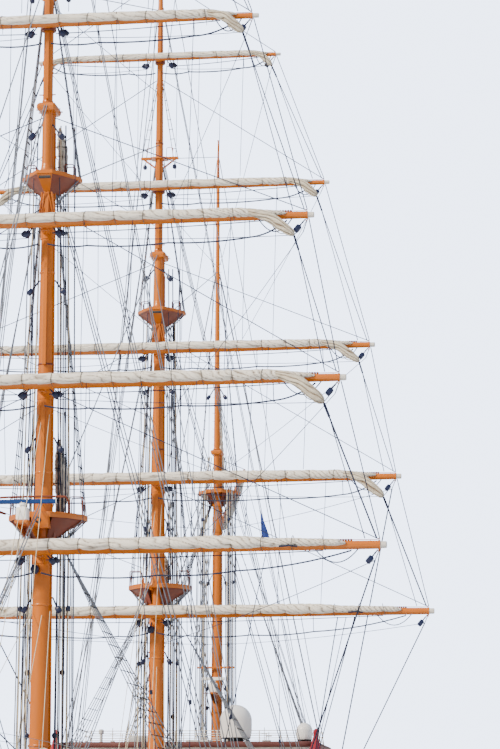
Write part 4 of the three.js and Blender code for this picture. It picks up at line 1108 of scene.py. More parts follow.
def lower_top(form, y0, z, half, forward, aft, radius, drop, thick=9):
    """The half-round top: its deck with a turned-down rim, plated wings under it and their webs."""
    outline = platform_outline(half, forward, aft)
    form.finish = 0
    form.loft([flat_ring(outline, y0, z), flat_ring(outline, y0, z + thick)])
    steps = ((1.5, -7), (2.5, -5), (2.5, thick + 2), (1, thick + 3.5), (-3, thick + 3.5), (-3, thick - 1))
    rim = [flat_ring(platform_outline(half + g, forward + g, aft + g), y0, z + h) for g, h in steps]
    form.add([p for ring in rim for p in ring], ring_faces(len(rim), len(outline)))
    # The webs and the plating under the wings are red-brown: painted shade under the top.
    form.finish = 1
    for gx, gy, wide in ((0.96, 0.4, 6), (0.72, 0.86, 6), (0.52, -0.42, 4)):
        for s in SIDES:
            reach = Vector((s * gx * half * 0.94, gy * (aft if gy > 0 else forward) * 0.94, 0))
            run = reach.normalized()
            across = Vector((-run.y, run.x, 0))
            profile = [
                (radius * 0.5, -1), (radius * 0.5, -drop), (radius + 7, -drop),
                (mix(radius, reach.length, 0.5), -drop * 0.5), (reach.length, -9), (reach.length, -1),
            ]
            web = [Vector((0, y0, z)) + run * d + Vector((0, 0, h)) for d, h in profile]
            form.loft([[p + across * side for p in web] for side in (-wide / 2, wide / 2)])
            port, low = across * 7, Vector((0, 0, -1.8))
            flange = [p - Vector((0, 0, 0.6)) for p in web[2:5]]
            form.loft([[p - port, p + port, p + port + low, p - port + low] for p in flange])
    # The wings are plated underneath, from the mast's collar out to the rim.
    for s in SIDES:
        collar = ((0.5, -0.85), (0.8, -0.6), (0.98, 0.1), (0.8, 0.6))
        edge = ((0.3, -forward * 0.86), (0.62, -forward * 0.3), (0.93, aft * 0.36), (0.95, aft * 0.7))
        near = [Vector((s * radius * c, y0 + radius * d, z)) for c, d in collar]
        far = [Vector((s * x * half, y0 + y, z)) for x, y in edge]
        rings = []
        for share, height in ((0.0, -drop), (0.5, -drop * 0.5), (1.0, -9.0)):
            line = [mix(a, b, share) + Vector((0, 0, height)) for a, b in zip(near, far)]
            rings.append(line + [p + Vector((0, 0, 3)) for p in reversed(line)])
        form.loft(rings)
    form.finish = 0
    sleeve = [(radius + 1, 0), (radius + 4, 2), (radius + 4, 13), (radius + 1, 15)]
    form.lathe((0, y0, z - drop - 6), UP, sleeve)


def crosstrees(form, y0, z, half, forward, aft, thick=8, drop=62):
    """The upper platform: a faceted bowl that narrows to the mast, with a stout ochre rim and brackets."""
    # The faceted bowl is red-brown: painted shade under the platform.
    form.finish = 1
    steps = ((0.34, -drop), (0.98, -2), (0.98, thick - 2))
    form.loft([flat_ring(platform_outline(half, forward, aft, share), y0, z + h) for share, h in steps])
    form.finish = 0
    wide = [platform_outline(half + g, forward + g, aft + g) for g in (0, 2.5, 2.5, 0, -5)]
    form.loft([flat_ring(o, y0, z + h) for o, h in zip(wide, (-4, -3, thick + 1, thick + 2, thick + 2))])
    # The bowl's fore panel is ochre like the mast, and the black slab under the rim is painted shade.
    panel = [(-0.26, 1.0), (0.26, 1.0), (0.09, 0.345), (-0.09, 0.345)]
    face = []
    for x, share in panel:
        height = mix(-drop, -4, (share - 0.34) / 0.66)
        face.append(Vector((x * half, y0 - forward * share * 0.985, z + height)))
    form.loft([face, [p + Vector((0, -2.4, -1.2)) for p in face]])
    form.finish = 3
    form.slab((-half * 0.2, y0 - forward * 0.965, z - 19), (half * 0.2, y0 - forward * 0.84, z - 10), 1)
    form.finish = 0
    for s in SIDES:
        form.tube([(s * 17, y0 - 34, z - drop + 2), (s * 30, y0 - 16, z - 150)], 3.4, 8)
        form.tube([(s * 6, y0 - 40, z - drop + 4), (s * 22, y0 - 20, z - 148)], 2.2, 8)


def mast_pole(form, y, profile, bands, sides=48):
    """A turned mast with welded bands round it."""
    form.finish = 0
    form.lathe((0, y, 0), UP, profile, sides)
    for z, radius, height, look in bands:
        form.finish = look
        eased = [(-1, 0), (1.6, 0.6), (2.2, 1.6), (2.2, height - 1.6), (1.6, height - 0.6), (-1, height)]
        form.lathe((0, y, z), UP, [(radius + proud, h) for proud, h in eased], sides)


def front_track(form, y, spans, radius_at):
    """The rail that a yard or a line runs on up the front of a pole: a T bar in lengths."""
    for z0, z1 in spans:
        for half, back, front in ((3, -2, 6), (6, 5, 9)):
            corners = ((-half, back), (half, back), (half, front), (-half, front))
            ends = [(y - radius_at(z), z) for z in (z0, z1)]
            form.loft([[Vector((x, front - ahead, z)) for x, ahead in corners] for front, z in ends])


def eye_plate(form, at, out, size=6.0):
    """A small welded eye that stands out from a spar."""
    at, out = Vector(at), Vector(out).normalized()
    side = out.orthogonal().normalized()
    ring = []
    for i in range(11):
        a = 2 * math.pi * i / 10
        ring.append(at + out * (size * 0.6 + math.cos(a) * size * 0.5) + side * math.sin(a) * size * 0.5)
    form.tube(ring, size * 0.16, 6)


def truss_lugs(form, y, z, radius, ahead):
    """The pair of lugs that holds a hinge pin, on the fore side for a yard or the after side for a boom."""
    pin = y + ahead * (radius + TRUSS_AHEAD)
    low, high = sorted((y, pin + ahead * 11))
    for s in SIDES:
        near = z + s * 13.5
        far = near + s * 8
        form.slab((-13, low, min(near, far)), (13, high, max(near, far)), 1.5)
    bolt = [(3, 0), (5.5, 1), (5.5, 6), (4.4, 6), (4.4, 46), (5.5, 46), (5.5, 51), (3, 52)]
    form.lathe((0, pin, z - 26), UP, bolt, 12)
    form.lathe((0, y, z - 40), UP, band_profile(radius, 80, 2.4), 48)


def square_mast(name):
    """The steel lower mast and topmast in one, with its top, crosstrees, cap and truss lugs."""
    y, deck, head = MASTS[name]
    foot = main_deck_z(y)
    form = Form()
    lower_band = 2022 if name == "fore" else 2083
    bands = [(foot, deck, 16, 1), (lower_band, mast_radius(name, lower_band), 7, 1)]
    bands += [(z, mast_radius(name, z), 8, 0) for z in (700, 1180, TOP_Z - 120, 1640, 2350, 2620)]
    at_top = mast_radius(name, TOP_Z)
    mast_pole(form, y, [(deck, foot - 6), (at_top, TOP_Z), (head, CAP_Z + CAP_HEIGHT - 1)], bands)
    form.finish = 0
    front_track(form, y, [(1600, 1888), (2022, 2463), (2566, 2640)], lambda z: mast_radius(name, z))
    for yard in TRUSSED:
        z = YARDS[yard][0]
        truss_lugs(form, y, z, mast_radius(name, z), -1)
    # A cable pipe runs up the port side of the mast, a little ahead of its middle.
    pipe = [(deck + 1, y - 12, foot), (at_top + 1, y - 10, TOP_Z), (head + 1, y - 7, CAP_Z - 70)]
    form.tube(pipe, 3.0, 8)
    form.slab((-34, y - HEAD_AHEAD - CAP_FORWARD, CAP_Z), (34, y + 34, CAP_Z + CAP_HEIGHT), 7)
    for s in SIDES:
        for away in (-30, 10):
            eye_plate(form, (s * 34, y + away, CAP_Z + 12), (s, 0, 0), 8)
    lower_top(form, y, TOP_Z, 135, 56, 130, 34, 84)
    crosstrees(form, y, CROSSTREES_Z, 104, 78, 96)
    form.finish = 1
    for s in SIDES:
        for x, back, z, height, span in ((128, 44, TOP_Z + 9, 66, 46), (84, 20, CROSSTREES_Z + 8, 44, 32)):
            for behind in (back, back + 40):
                hoop(form, s * x, s * (x - span), y + behind, z, height, 1.9)
    form.finish = 0
    foot_z = CROSSTREES_Z + 8
    form.lathe((0, y - HEAD_AHEAD, foot_z), UP, [(27, 0), (23, 6), (20, 18), (18.4, 30)], 24)
    if name == "fore":
        front_box(form, y)
    else:
        line_lead(form, y)
    return form


def front_box(form, y):
    """The plated box on the front of the fore top, with the dark eye that a line leads through."""
    front = y - 56
    form.slab((-30, front - 4, TOP_Z - 46), (33, y - 24, TOP_Z + 12), 3)
    form.finish = 3
    form.lathe((-6, front - 3.5, TOP_Z - 17), (0, -1, 0), [(11, -1), (11, 2), (7.5, 3), (6.5, 1)], 24)
    form.finish = 0
    form.lathe((-6, front - 3.5, TOP_Z - 17), (0, -1, 0), [(5, -1), (5, 2.2), (2, 3)], 16)


def line_lead(form, y):
    """The stout open hook on the front of the main top that the stay's line leads through."""
    path = []
    for k in range(17):
        a = math.radians(mix(-215, 35, k / 16))
        path.append((-20 + 23 * math.cos(a), y - 118, 1504 + 24 * math.sin(a)))
    form.tube(path, [5.5 + 3 * math.sin(math.pi * k / 16) for k in range(17)], 12)
    form.tube([(-20, y - 118, 1482), (-16, y - 40, 1476)], 6, 8)


def head_mast(name):
    """Topgallant and royal mast in one pole, with its spreader, bands and truck."""
    y = MASTS[name][0] - HEAD_AHEAD
    form = Form()
    heights = ((2949, 5, 1), (CAP_Z + 28, 12, 0), (3448, 5, 1), (3700, 5, 0), (4060, 6, 0))
    bands = [(z, through(HEAD_RADII, z), height, look) for z, height, look in heights]
    mast_pole(form, y, [(r, z) for z, r in HEAD_RADII], bands, 40)
    form.finish = 0
    spans = [(2972, 3216), (3266, 3372), (3460, 3806), (3856, 4040)]
    front_track(form, y, spans, lambda z: through(HEAD_RADII, z))
    form.slab((-84, y + 4, SPREADER_Z), (84, y + 16, SPREADER_Z + 12), 2)
    outline = [(-36, y - 22), (-22, y - 30), (22, y - 30), (36, y - 22), (36, y + 30), (-36, y + 30)]
    form.plate(outline, SPREADER_Z - 2, SPREADER_Z + 5)
    for s in SIDES:
        form.tube([(0, y + 8, SPREADER_Z - 52), (s * 72, y + 10, SPREADER_Z + 4)], 4, 8)
        hoop(form, s * 30, s * 58, y + 12, SPREADER_Z + 10, 46, 1.3)
        for z in (2990, 3100):
            r = through(HEAD_RADII, z)
            form.tube([(s * (r - 2), y - 6, z), (s * (r + 12), y - 8, z)], 2.2, 8)
    form.lathe((0, y, TRUCK_Z - 6), UP, [(3, 0), (6, 1), (7, 3), (6, 5), (1, 6)], 16)
    form.lathe((0, y, CROSSTREES_Z + 9), UP, [(17.5, 0), (19.9, 1), (19.9, 20), (17.5, 21)], 32)
    return form


def mizzen_steps(form, z0, z1, radius_at, y):
    """Climbing steps that stand out from both sides of a pole."""
    z = z0
    while z < z1:
        r = radius_at(z)
        for s in SIDES:
            form.tube([(s * (r - 1), y, z), (s * (r + 8), y, z), (s * (r + 8), y, z + 3)], 1.0, 5)
        z += 40


def mizzen_mast():
    """The mizzen lower mast, with its top, cap, hinge lugs, radar stand and signal yard."""
    y, deck, head = MASTS["mizzen"]
    foot = raised_deck_z(y)
    form = Form()
    bands = [(foot, deck, 16, 1)] + [(z, mast_radius("mizzen", z), 7, 0) for z in (900, 1500, 1900, 2070)]
    mast_pole(form, y, [(deck, foot - 6), (head, MIZZEN_CAP_Z + 21)], bands)
    form.finish = 0
    for z in (GOOSENECK_Z, GAFF_Z):
        truss_lugs(form, y, z, mast_radius("mizzen", z), 1)
    form.slab((-28, MIZZEN_HEAD_Y - 27, MIZZEN_CAP_Z), (28, y + 28, MIZZEN_CAP_Z + 22), 6)
    lower_top(form, y, MIZZEN_TOP_Z, 105, 64, 90, 25, 66, 8)
    form.finish = 0
    for s in SIDES:
        hoop(form, s * 60, s * 98, y + 34, MIZZEN_TOP_Z + 8, 52)
    form.slab((-92, y - 44, 1268), (92, y - 34, 1278), 2)
    form.slab((-8, y - 40, 1264), (8, y, 1282), 1.5)
    return form


def mizzen_head():
    """The mizzen's pole topmast with its steps and truck."""
    form = Form()
    bands = [(MIZZEN_CAP_Z + 24, 16, 8, 0), (2900, 12.4, 5, 0), (3500, 9.4, 5, 0)]
    mast_pole(form, MIZZEN_HEAD_Y, [(r, z) for z, r in MIZZEN_HEAD_RADII], bands, 32)
    form.finish = 0
    mizzen_steps(form, 2380, 3380, lambda z: through(MIZZEN_HEAD_RADII, z), MIZZEN_HEAD_Y)
    form.lathe((0, MIZZEN_HEAD_Y, MIZZEN_TRUCK_Z - 5), UP, [(3, 0), (6, 1), (6, 4), (1, 5)], 16)
    return form


def yard_band(radius, sunk, width):
    """Profile of a welded band round a yard, its edges sunk a little into the spar."""
    ease = 0.6 + sunk / 5
    return [(radius - sunk, 0), (radius + 1.2, ease), (radius + 1.2, 5), (radius - sunk, width)]


def yard_form(mast, name):
    """A yard: the tapering spar, grey arms, bands, the jackstay on its posts, and its truss or parrel."""
    z, length, middle = YARDS[name][:3]
    pin, y = yard_pin(mast, name), yard_y(mast, name)
    half = length / 2
    tip = half - YARD_TIP
    taper = yard_taper(name)
    form = Form()
    body = [(r, -x) for x, r in reversed(taper[1:4])] + [(r, x) for x, r in taper[:4]]
    form.lathe((0, y, z), ACROSS, body, 32)
    for s in SIDES:
        form.finish = 2
        arm = taper[3][1]
        cap = [(arm * 0.86, -0.5), (arm * 0.84, YARD_TIP - 2), (arm * 0.7, YARD_TIP)]
        form.lathe((s * tip, y, z), (s, 0, 0), cap, 24)
        form.finish = 0
        form.lathe((s * (tip - 5), y, z), (s, 0, 0), yard_band(arm, 0, 5.6), 32)
        for share in (0.25, 0.5, 0.78):
            r = through(taper, share * half)
            form.lathe((s * share * half, y, z), (s, 0, 0), yard_band(r, 0.5, 5.7), 32)
        eye_plate(form, (s * (tip - 5), y, z - arm), (0, 0, -1), 8)
        eye_plate(form, (s * (tip - 5), y, z + arm), UP, 7)
        knees = (middle, half * 0.25, half * 0.6, tip - 10)
        form.tube([(s * x, y + 6, z + through(taper, x) + 4.2) for x in knees], 1.3, 6)
        x = middle + 8
        while x < tip - 12:
            r = through(taper, x)
            form.tube([(s * x, y + 6, z + r * 0.9), (s * x, y + 6, z + r + 4.2)], 1.0, 5)
            x += 62
    if name in TRUSSED:
        form.finish = 0
        form.lathe((0, pin, z - 13), UP, [(9, 0), (9, 26)], 20)
        form.slab((-9, y, z - 9), (9, pin, z + 9), 2)
        for s in SIDES:
            form.slab((s * 12 - 3, y, z - 7), (s * 12 + 3, pin - 12, z + 7), 1.5)
            form.lathe((s * 40, y, z), (s, 0, 0), band_profile(middle, 12), 32)
    else:
        radius = through(HEAD_RADII, z - 15) + 1
        # The parrel collar is red-brown: partly chafe paint, partly painted shade under the yard.
        form.finish = 1
        outer, inner = radius + 7, radius
        collar = [
            (outer, -15), (outer + 1.5, -13), (outer + 1.5, 13), (outer, 15), (inner, 15), (inner, -15)
        ]
        form.hollow((0, pin, z), UP, collar, 32)
        form.finish = 0
        form.slab((-10, y, z - 10), (10, pin - radius - 4, z + 10), 2)
    if name.endswith("topsail") or name == "course":
        form.finish = 1
        for s in SIDES:
            for k in range(9):
                x = s * (half * 0.84 + k * 9)
                r = through(taper, abs(x))
                form.slab((x - 3.4, y - 5, z + r - 1), (x + 3.4, y + 5, z + r + 6), 0.8)
    return form


def roll_centre(mast, name, x, radius):
    """Centre of the furled roll over a place along a yard."""
    reach = through(yard_taper(name), abs(x)) + radius - 1
    ahead, above = reach * math.cos(SAIL_ELEVATION), reach * math.sin(SAIL_ELEVATION)
    return Vector((x, yard_y(mast, name) - ahead, YARDS[name][0] + above))


def fold_noise(u, v, seed):
    """Uneven change from -1 to 1 over a cloth's own directions."""
    return noise.noise(Vector((u, v, seed * 7.31)))


def ring_noise(along, angle, size, seed):
    """Uneven change from -1 to 1 along a roll and round it, without a seam."""
    return noise.noise(Vector((along, size * math.cos(angle), size * math.sin(angle) + seed * 7.31)))


def new_cloth():
    """An empty form for cloth, with the painted shade of its folds and its places on the flat cloth."""
    return Form(), {"fold": [], "flat": []}


def cloth_tube(form, cloth, centres, radius_of, around, finish_number, keep_out=None, level=False):
    """A gathered roll of cloth along centres: radius_of gives the radius, and the depth of fold that paints
    shade in the fold, at each place.

    A level roll counts its angle from straight ahead, upwards, and its cloth is laid out from its middle.
    """
    form.finish = finish_number
    rings = []
    length = 0.0
    first = len(form.points)
    fold_shade = []
    flat = []
    for i, ((u, v, _), centre) in enumerate(zip(frames_along(centres), centres)):
        if i:
            length += (centre - centres[i - 1]).length
        if level:
            u, v, length = Vector((0, -1, 0)), Vector(UP), abs(centre.x)
        ring = []
        for k in range(around):
            angle = 2 * math.pi * k / around
            radius, depth = radius_of(i, angle)
            point = centre + (u * math.cos(angle) + v * math.sin(angle)) * radius
            ring.append(keep_out(point) if keep_out else point)
            fold_shade.append(depth)
            turn = (angle + math.pi) % (2 * math.pi) if level else angle
            flat.append((length * MM, turn / (2 * math.pi) * 0.12))
        rings.append(ring)
    form.loft(rings)
    cloth["fold"][first:first] = fold_shade
    cloth["flat"][first:first] = flat


def furled_sail(mast, name, number):
    """A square sail furled on its yard: a roll that sags between its gaskets, folds that wind towards
    the clews, and the clews gathered into bunches of strands that hang under the arms."""
    z, length, _, _, _, furl, clew_from, clew_to, drop = YARDS[name]
    y = yard_y(mast, name)
    half = length / 2
    taper = yard_taper(name)
    course = name == "course"
    if course:
        thick = [
            (0, 1), (0.2, 1.03), (0.42, 1.05), (0.53, 1.14), (0.6, 1.1), (0.67, 0.8), (0.86, 0.6),
            (0.885, 0.2),
        ]
    else:
        thick = [
            (0, 1), (0.3, 1.05), (clew_from - 0.05, 1), (clew_from + 0.03, 0.66), (0.88, 0.44), (0.9, 0.16)
        ]
    end = thick[-1][0]
    count = int(end * length / 5.0)
    gasket = bpy.context.scene.tall_ship_sizes.gasket_step / MM
    xs = spaced(-end * half, end * half, count)
    centres = []
    for x in xs:
        r = furl * through(thick, abs(x) / half)
        bay, into = divmod(abs(x) / gasket + 0.5, 1.0)
        lively = 0.6 + 0.4 * fold_noise(bay * 3.7, x > 0, number)
        slack = math.sin(math.pi * into) ** 0.7 * r * 0.24 * lively
        wander = fold_noise(x / 160, 3.3, number) * 1.6
        sag = Vector((0, wander - slack * 0.3, wander * 0.7 - slack))
        centres.append(roll_centre(mast, name, x, r) + sag)

    def radius_of(i, angle):
        x = xs[i]
        share = abs(x) / half
        base = furl * through(thick, share)
        away = abs(abs(x) % gasket - gasket / 2)
        tight = math.exp(-(away**2) / 50)
        pucker = math.exp(-(away**2) / 500)
        wind = through([(0, 0.35), (0.4, 0.6), (0.7, 1.0), (0.9, 1.5)], share)
        phase = angle * 2.5 + abs(x) * 0.05 * wind + ring_noise(x / 80, angle, 0.8, number) * 3.2
        ridge = 1 - abs(math.sin(phase))
        ripple = ring_noise(x / 45, angle, 1.1, number + 3)
        fine = 1 - abs(math.sin(angle * 4.5 + abs(x) * 0.09 * wind + ripple * 5))
        deep = through([(0, 0.18), (0.45, 0.21), (0.7, 0.29), (0.9, 0.36)], share)
        swell = ring_noise(x / 55, angle, 1.2, number + 6) * 0.07
        fold = ridge**1.8 * 0.62 + fine**2 * (0.2 + 0.3 * pucker)
        radius = base * (1.04 + swell - deep * fold * (0.75 + 0.5 * pucker) - 0.1 * tight)
        # The second value is painted shade in the hollows of the folds.
        return radius, min(1.0, (ridge**4 + 0.5 * fine**4) * deep * 4.2)

    def keep_out(point):
        """Rests the cloth on its yard instead of in it."""
        off = Vector((0, point.y - y, point.z - z))
        least = through(taper, abs(point.x)) + 0.4
        if 0 < off.length < least:
            off = off * (least / off.length)
            return Vector((point.x, y + off.y, z + off.z))
        return point

    form, cloth = new_cloth()
    cloth_tube(form, cloth, centres, radius_of, 36, 0, keep_out, True)
    if course:
        return form, cloth
    shape = [(0, 0.75), (0.15, 0.95), (0.4, 1.2), (0.7, 1.3), (0.88, 1.12), (0.96, 0.86), (1, 0.4)]
    for s in SIDES:
        start = roll_centre(mast, name, clew_from * half, furl)
        a = Vector((s * (start.x - 26), start.y - 4, start.z + 1))
        b = Vector((s * clew_to * half, start.y - 9, z - drop))
        bend_x, bend_z = mix(start.x, clew_to * half, 0.42), mix(start.z, z - drop, 0.36) + 3
        bend = Vector((s * bend_x, start.y - 11, bend_z))
        rise = Vector((0, -3, 2))
        path = smooth_path([a, mix(a, bend, 0.5) + rise, bend, mix(bend, b, 0.5) + rise * 0.5, b], 11)
        last = len(path) - 1

        def clew_radius(i, angle, s=s, last=last):
            share = i / last
            base = furl * 0.88 * through(shape, share)
            phase = angle * 3.5 + s * share * 5.2 + ring_noise(share * 3, angle, 1.0, number + s) * 1.8
            strand = abs(math.sin(phase))
            ripple = ring_noise(share * 6, angle, 1.3, number + 9)
            fine = abs(math.sin(angle * 6.5 + s * share * 9 + ripple * 3))
            radius = base * (0.62 + 0.36 * strand**0.5 + 0.12 * fine)
            # The second value is painted shade between the strands.
            return radius, min(1.0, (1 - strand) ** 2.2 * 1.3 + (1 - fine) ** 3 * 0.5)

        cloth_tube(form, cloth, path, clew_radius, 48, 1)
    return form, cloth


def cloth_piece(name, form, cloth, body, replaces):
    """A furled sail as a padded piece, with the marks that its cloth is drawn by and the painted shade in its
    folds.
    """
    mesh = make_mesh(name, form, 60)
    mesh.materials.append(finish("sail"))
    mesh.materials.append(finish("clew"))
    # The fold attribute darkens the cloth in its hollows: painted shade.
    mesh.attributes.new("fold", "FLOAT", "POINT").data.foreach_set("value", cloth["fold"])
    layer = mesh.uv_layers.new(name="cloth")
    for loop, spot in zip(mesh.loops, layer.data):
        spot.uv = cloth["flat"][loop.vertex_index]
    made = place(bpy.data.objects.new(name, mesh), body, replaces)
    return made


def gaskets(lines, mast, name):
    """Gaskets round a roll and its yard, with their tails, and the bights of line under the clews."""
    z, length, _, _, _, furl, clew_from, clew_to, drop = YARDS[name]
    half = length / 2
    gasket = bpy.context.scene.tall_ship_sizes.gasket_step / MM
    taper = yard_taper(name)
    y = yard_y(mast, name)
    out = Vector((0, -math.cos(SAIL_ELEVATION), math.sin(SAIL_ELEVATION)))
    up = Vector((0, math.sin(SAIL_ELEVATION), math.cos(SAIL_ELEVATION)))
    x = gasket / 2
    count = 0
    while x < half * (0.86 if name == "course" else clew_from + 0.01):
        for s in SIDES:
            count += 1
            yard_r = through(taper, x)
            roll_r = furl * (0.97 if x < half * 0.6 else 0.93)
            centre = roll_centre(mast, name, x, furl)
            lean = fold_noise(x, s * 5.0, 1.7) * 7
            loop = []
            for k in range(19):
                a = 2 * math.pi * k / 18
                side, rise = math.cos(a), math.sin(a)
                if side > -0.25:
                    point = Vector((0, centre.y, centre.z)) + (out * side + up * rise) * (roll_r + 0.6)
                else:
                    behind = Vector((0, y, z)) + out * side * (yard_r + 1)
                    point = behind + up * rise * (yard_r + 1.2)
                loop.append(Vector((s * x + lean * rise, point.y, point.z)))
            lines.run(loop, 1.7)
            if count % 3 == 0:
                low = min(loop, key=lambda p: p.z)
                lines.run([low, low + Vector((1, -1, -14 - 8 * abs(lean) / 7))], 1.3)
        x += gasket
    if name != "course":
        for s in SIDES:
            a = Vector((s * mix(clew_from, clew_to, 0.42) * half, y - 24, z - drop * 0.45))
            b = Vector((s * mix(clew_from, clew_to, 0.8) * half, y - 24, z - drop * 0.82))
            lines.run(hanging(a, b, 17, 8), 2.0)


def footropes(lines, fittings, mast, name):
    """Footropes under a yard on their stirrups, the straight line above them and the loops at the arms."""
    z, length = YARDS[name][:2]
    half = length / 2
    y = yard_y(mast, name) + 10
    taper = yard_taper(name)
    step = bpy.context.scene.tall_ship_sizes.stirrup_step / MM
    drop = {"course": 74, "lower_topsail": 68, "upper_topsail": 66, "topgallant": 60, "royal": 52}[name]
    for s in SIDES:
        outer = half * 0.9
        count = max(int(outer / step + 0.4), 2)
        stops = [outer * (i + 0.55) / count for i in range(count)]
        stops = [x for x in stops if x < outer * 0.86]
        knots = [Vector((s * outer, y, z - through(taper, outer) - 2))]
        for i, x in enumerate(reversed(stops)):
            low = z - through(taper, x) - drop * (0.86 if i == 0 else 1.0)
            knots.append(Vector((s * x, y, low)))
        path = []
        inner = Vector((s * 16, y + 2, z - 26 - drop * 0.72))
        for a, b in zip(knots, [*knots[1:], inner]):
            sag = 7 if a is not knots[0] else 12
            path += hanging(a, b, sag, 8)[:-1]
        lines.run([*path, inner], 3.8)
        for k in knots[1:]:
            yard_r = through(taper, abs(k.x))
            lines.run([(k.x - s * 3, y - 4, z + yard_r * 0.3), (k.x - s * 2, y, z - yard_r), k], 2.0)
            fittings.put(k, size=3.2)
        r = through(taper, half * 0.8)
        lines.run(hanging((s * half * 0.82, y - 6, z - r - 1), (s * 34, y - 4, z - 36), 5, 6), 2.4)
        loop = hanging((s * half * 0.80, y - 12, z - r), (s * half * 0.92, y - 12, z - r * 0.8), 44, 12)
        lines.run(loop, 2.8)


def pendant_block(lines, blocks, hung, at, size=1.0, thick=2.2):
    """A block at the end of a short pendant."""
    hung, at = Vector(hung), Vector(at)
    lines.run([hung, at], thick)
    blocks.put(at, hung - at, size)


def yard_gear(mast, name):
    """What hangs from a yard: footropes, stirrups, blocks, and the sheets down to the yard below."""
    z, length, middle, _, _, furl, _, clew_to, drop = YARDS[name]
    y = yard_y(mast, name)
    half = length / 2
    tip = half - YARD_TIP
    taper = yard_taper(name)
    body = f"{mast}_{name}"
    ropes, cords, beads, blocks, thick_ropes = Lines(), Lines(), Fittings(), Fittings(), Lines()
    gaskets(cords, mast, name)
    footropes(ropes, beads, mast, name)
    arm_r = through(taper, tip - 6)
    for s in SIDES:
        low = z - middle
        for x, back, hang, size in ((36, 6, 10, 1.05), (48, 16, 7, 0.95)):
            under = (s * (x + 10), y + back + 2, low - hang)
            pendant_block(ropes, blocks, (s * x, y + back, low + 2), under, size, 3.0)
        arm_end = Vector((s * (tip - 26), y - 2, z - arm_r - 24))
        pendant_block(ropes, blocks, (s * (tip - 9), y, z - arm_r - 3), arm_end, 1.15, 3.2)
        beads.put(arm_end + Vector((s * 8, 1, 10)), size=3.6)
        if name == "course":
            knot = roll_centre(mast, name, 0.7 * half, furl)
            at = Vector((s * knot.x, knot.y - furl * 0.6, knot.z - furl))
            thick_ropes.run([at, at + Vector((s * 34, 4, 3)), at + Vector((s * 62, 8, 0))], 4.0)
            continue
        clew = Vector((s * clew_to * half, y - 20, z - drop))
        lower = YARD_NAMES[YARD_NAMES.index(name) - 1]
        low_z, low_length, _, low_arm = YARDS[lower][:4]
        low_y = yard_y(mast, lower)
        low_tip = low_length / 2 - YARD_TIP
        foot = Vector((s * (low_tip - 12), low_y, low_z + low_arm + 8))
        stout = 4.2 if name == "lower_topsail" else 2.8
        chain = mix(clew, foot, 0.1)
        thick_ropes.run([clew, chain], stout + 2.6)
        thick_ropes.run([chain, foot], stout)
        knee = mix(clew, foot, 0.3) + Vector((-s * 9, 2, 0))
        thick_ropes.run([chain, knee, foot + Vector((-s * 40, 0, 0))], 2.4)
        beads.put(clew, size=4.2)
        beads.put(chain, size=3.6)
        thick_ropes.run(
            [(s * (tip + 4), y, z - arm_r), (s * (low_tip - 2), low_y, low_z + low_arm + 7)], 2.6
        )
        ropes.run([clew + Vector((0, 4, 6)), (s * (tip - 27), y - 2, z - arm_r - 38)], 2.2)
        low = Vector((s * 56, y + 10, z - middle - 34))
        ropes.run(hanging(clew + Vector((-s * 6, 4, 4)), low, 9, 8), 1.7)
        for share in (0.16, 0.34, 0.52, 0.7):
            x = share * half
            over = [(s * x, y - furl * 1.9, z + furl * 0.7), (s * x, y - furl * 1.5, z - furl)]
            thick_ropes.run([*over, (s * x * 0.97, low_y - 24, low_z + 34)], 1.6)
    ropes.made(f"{body}_footropes", "navy", body)
    thick_ropes.made(f"{body}_sheets", "navy", body)
    cords.made(f"{body}_gaskets", "gasket", body, sides=5)
    beads.made(f"{body}_seizings", bead_master(), "tarred", body)
    blocks.made(f"{body}_blocks", block_master(), "block", body)


def ratlines(cords, beads, shrouds, z0, z1, step):
    """Rungs across a gang of shrouds, with a seizing at each crossing."""
    z = z0
    while z < z1:
        spots = []
        for top, foot in shrouds:
            share = (top.z - z) / (top.z - foot.z)
            if 0.02 <= share <= 0.985:
                spots.append(mix(top, foot, share))
        if len(spots) > 1:
            cords.run(spots, 2.0)
            for spot in spots:
                beads.put(spot, size=3.0)
        z += step


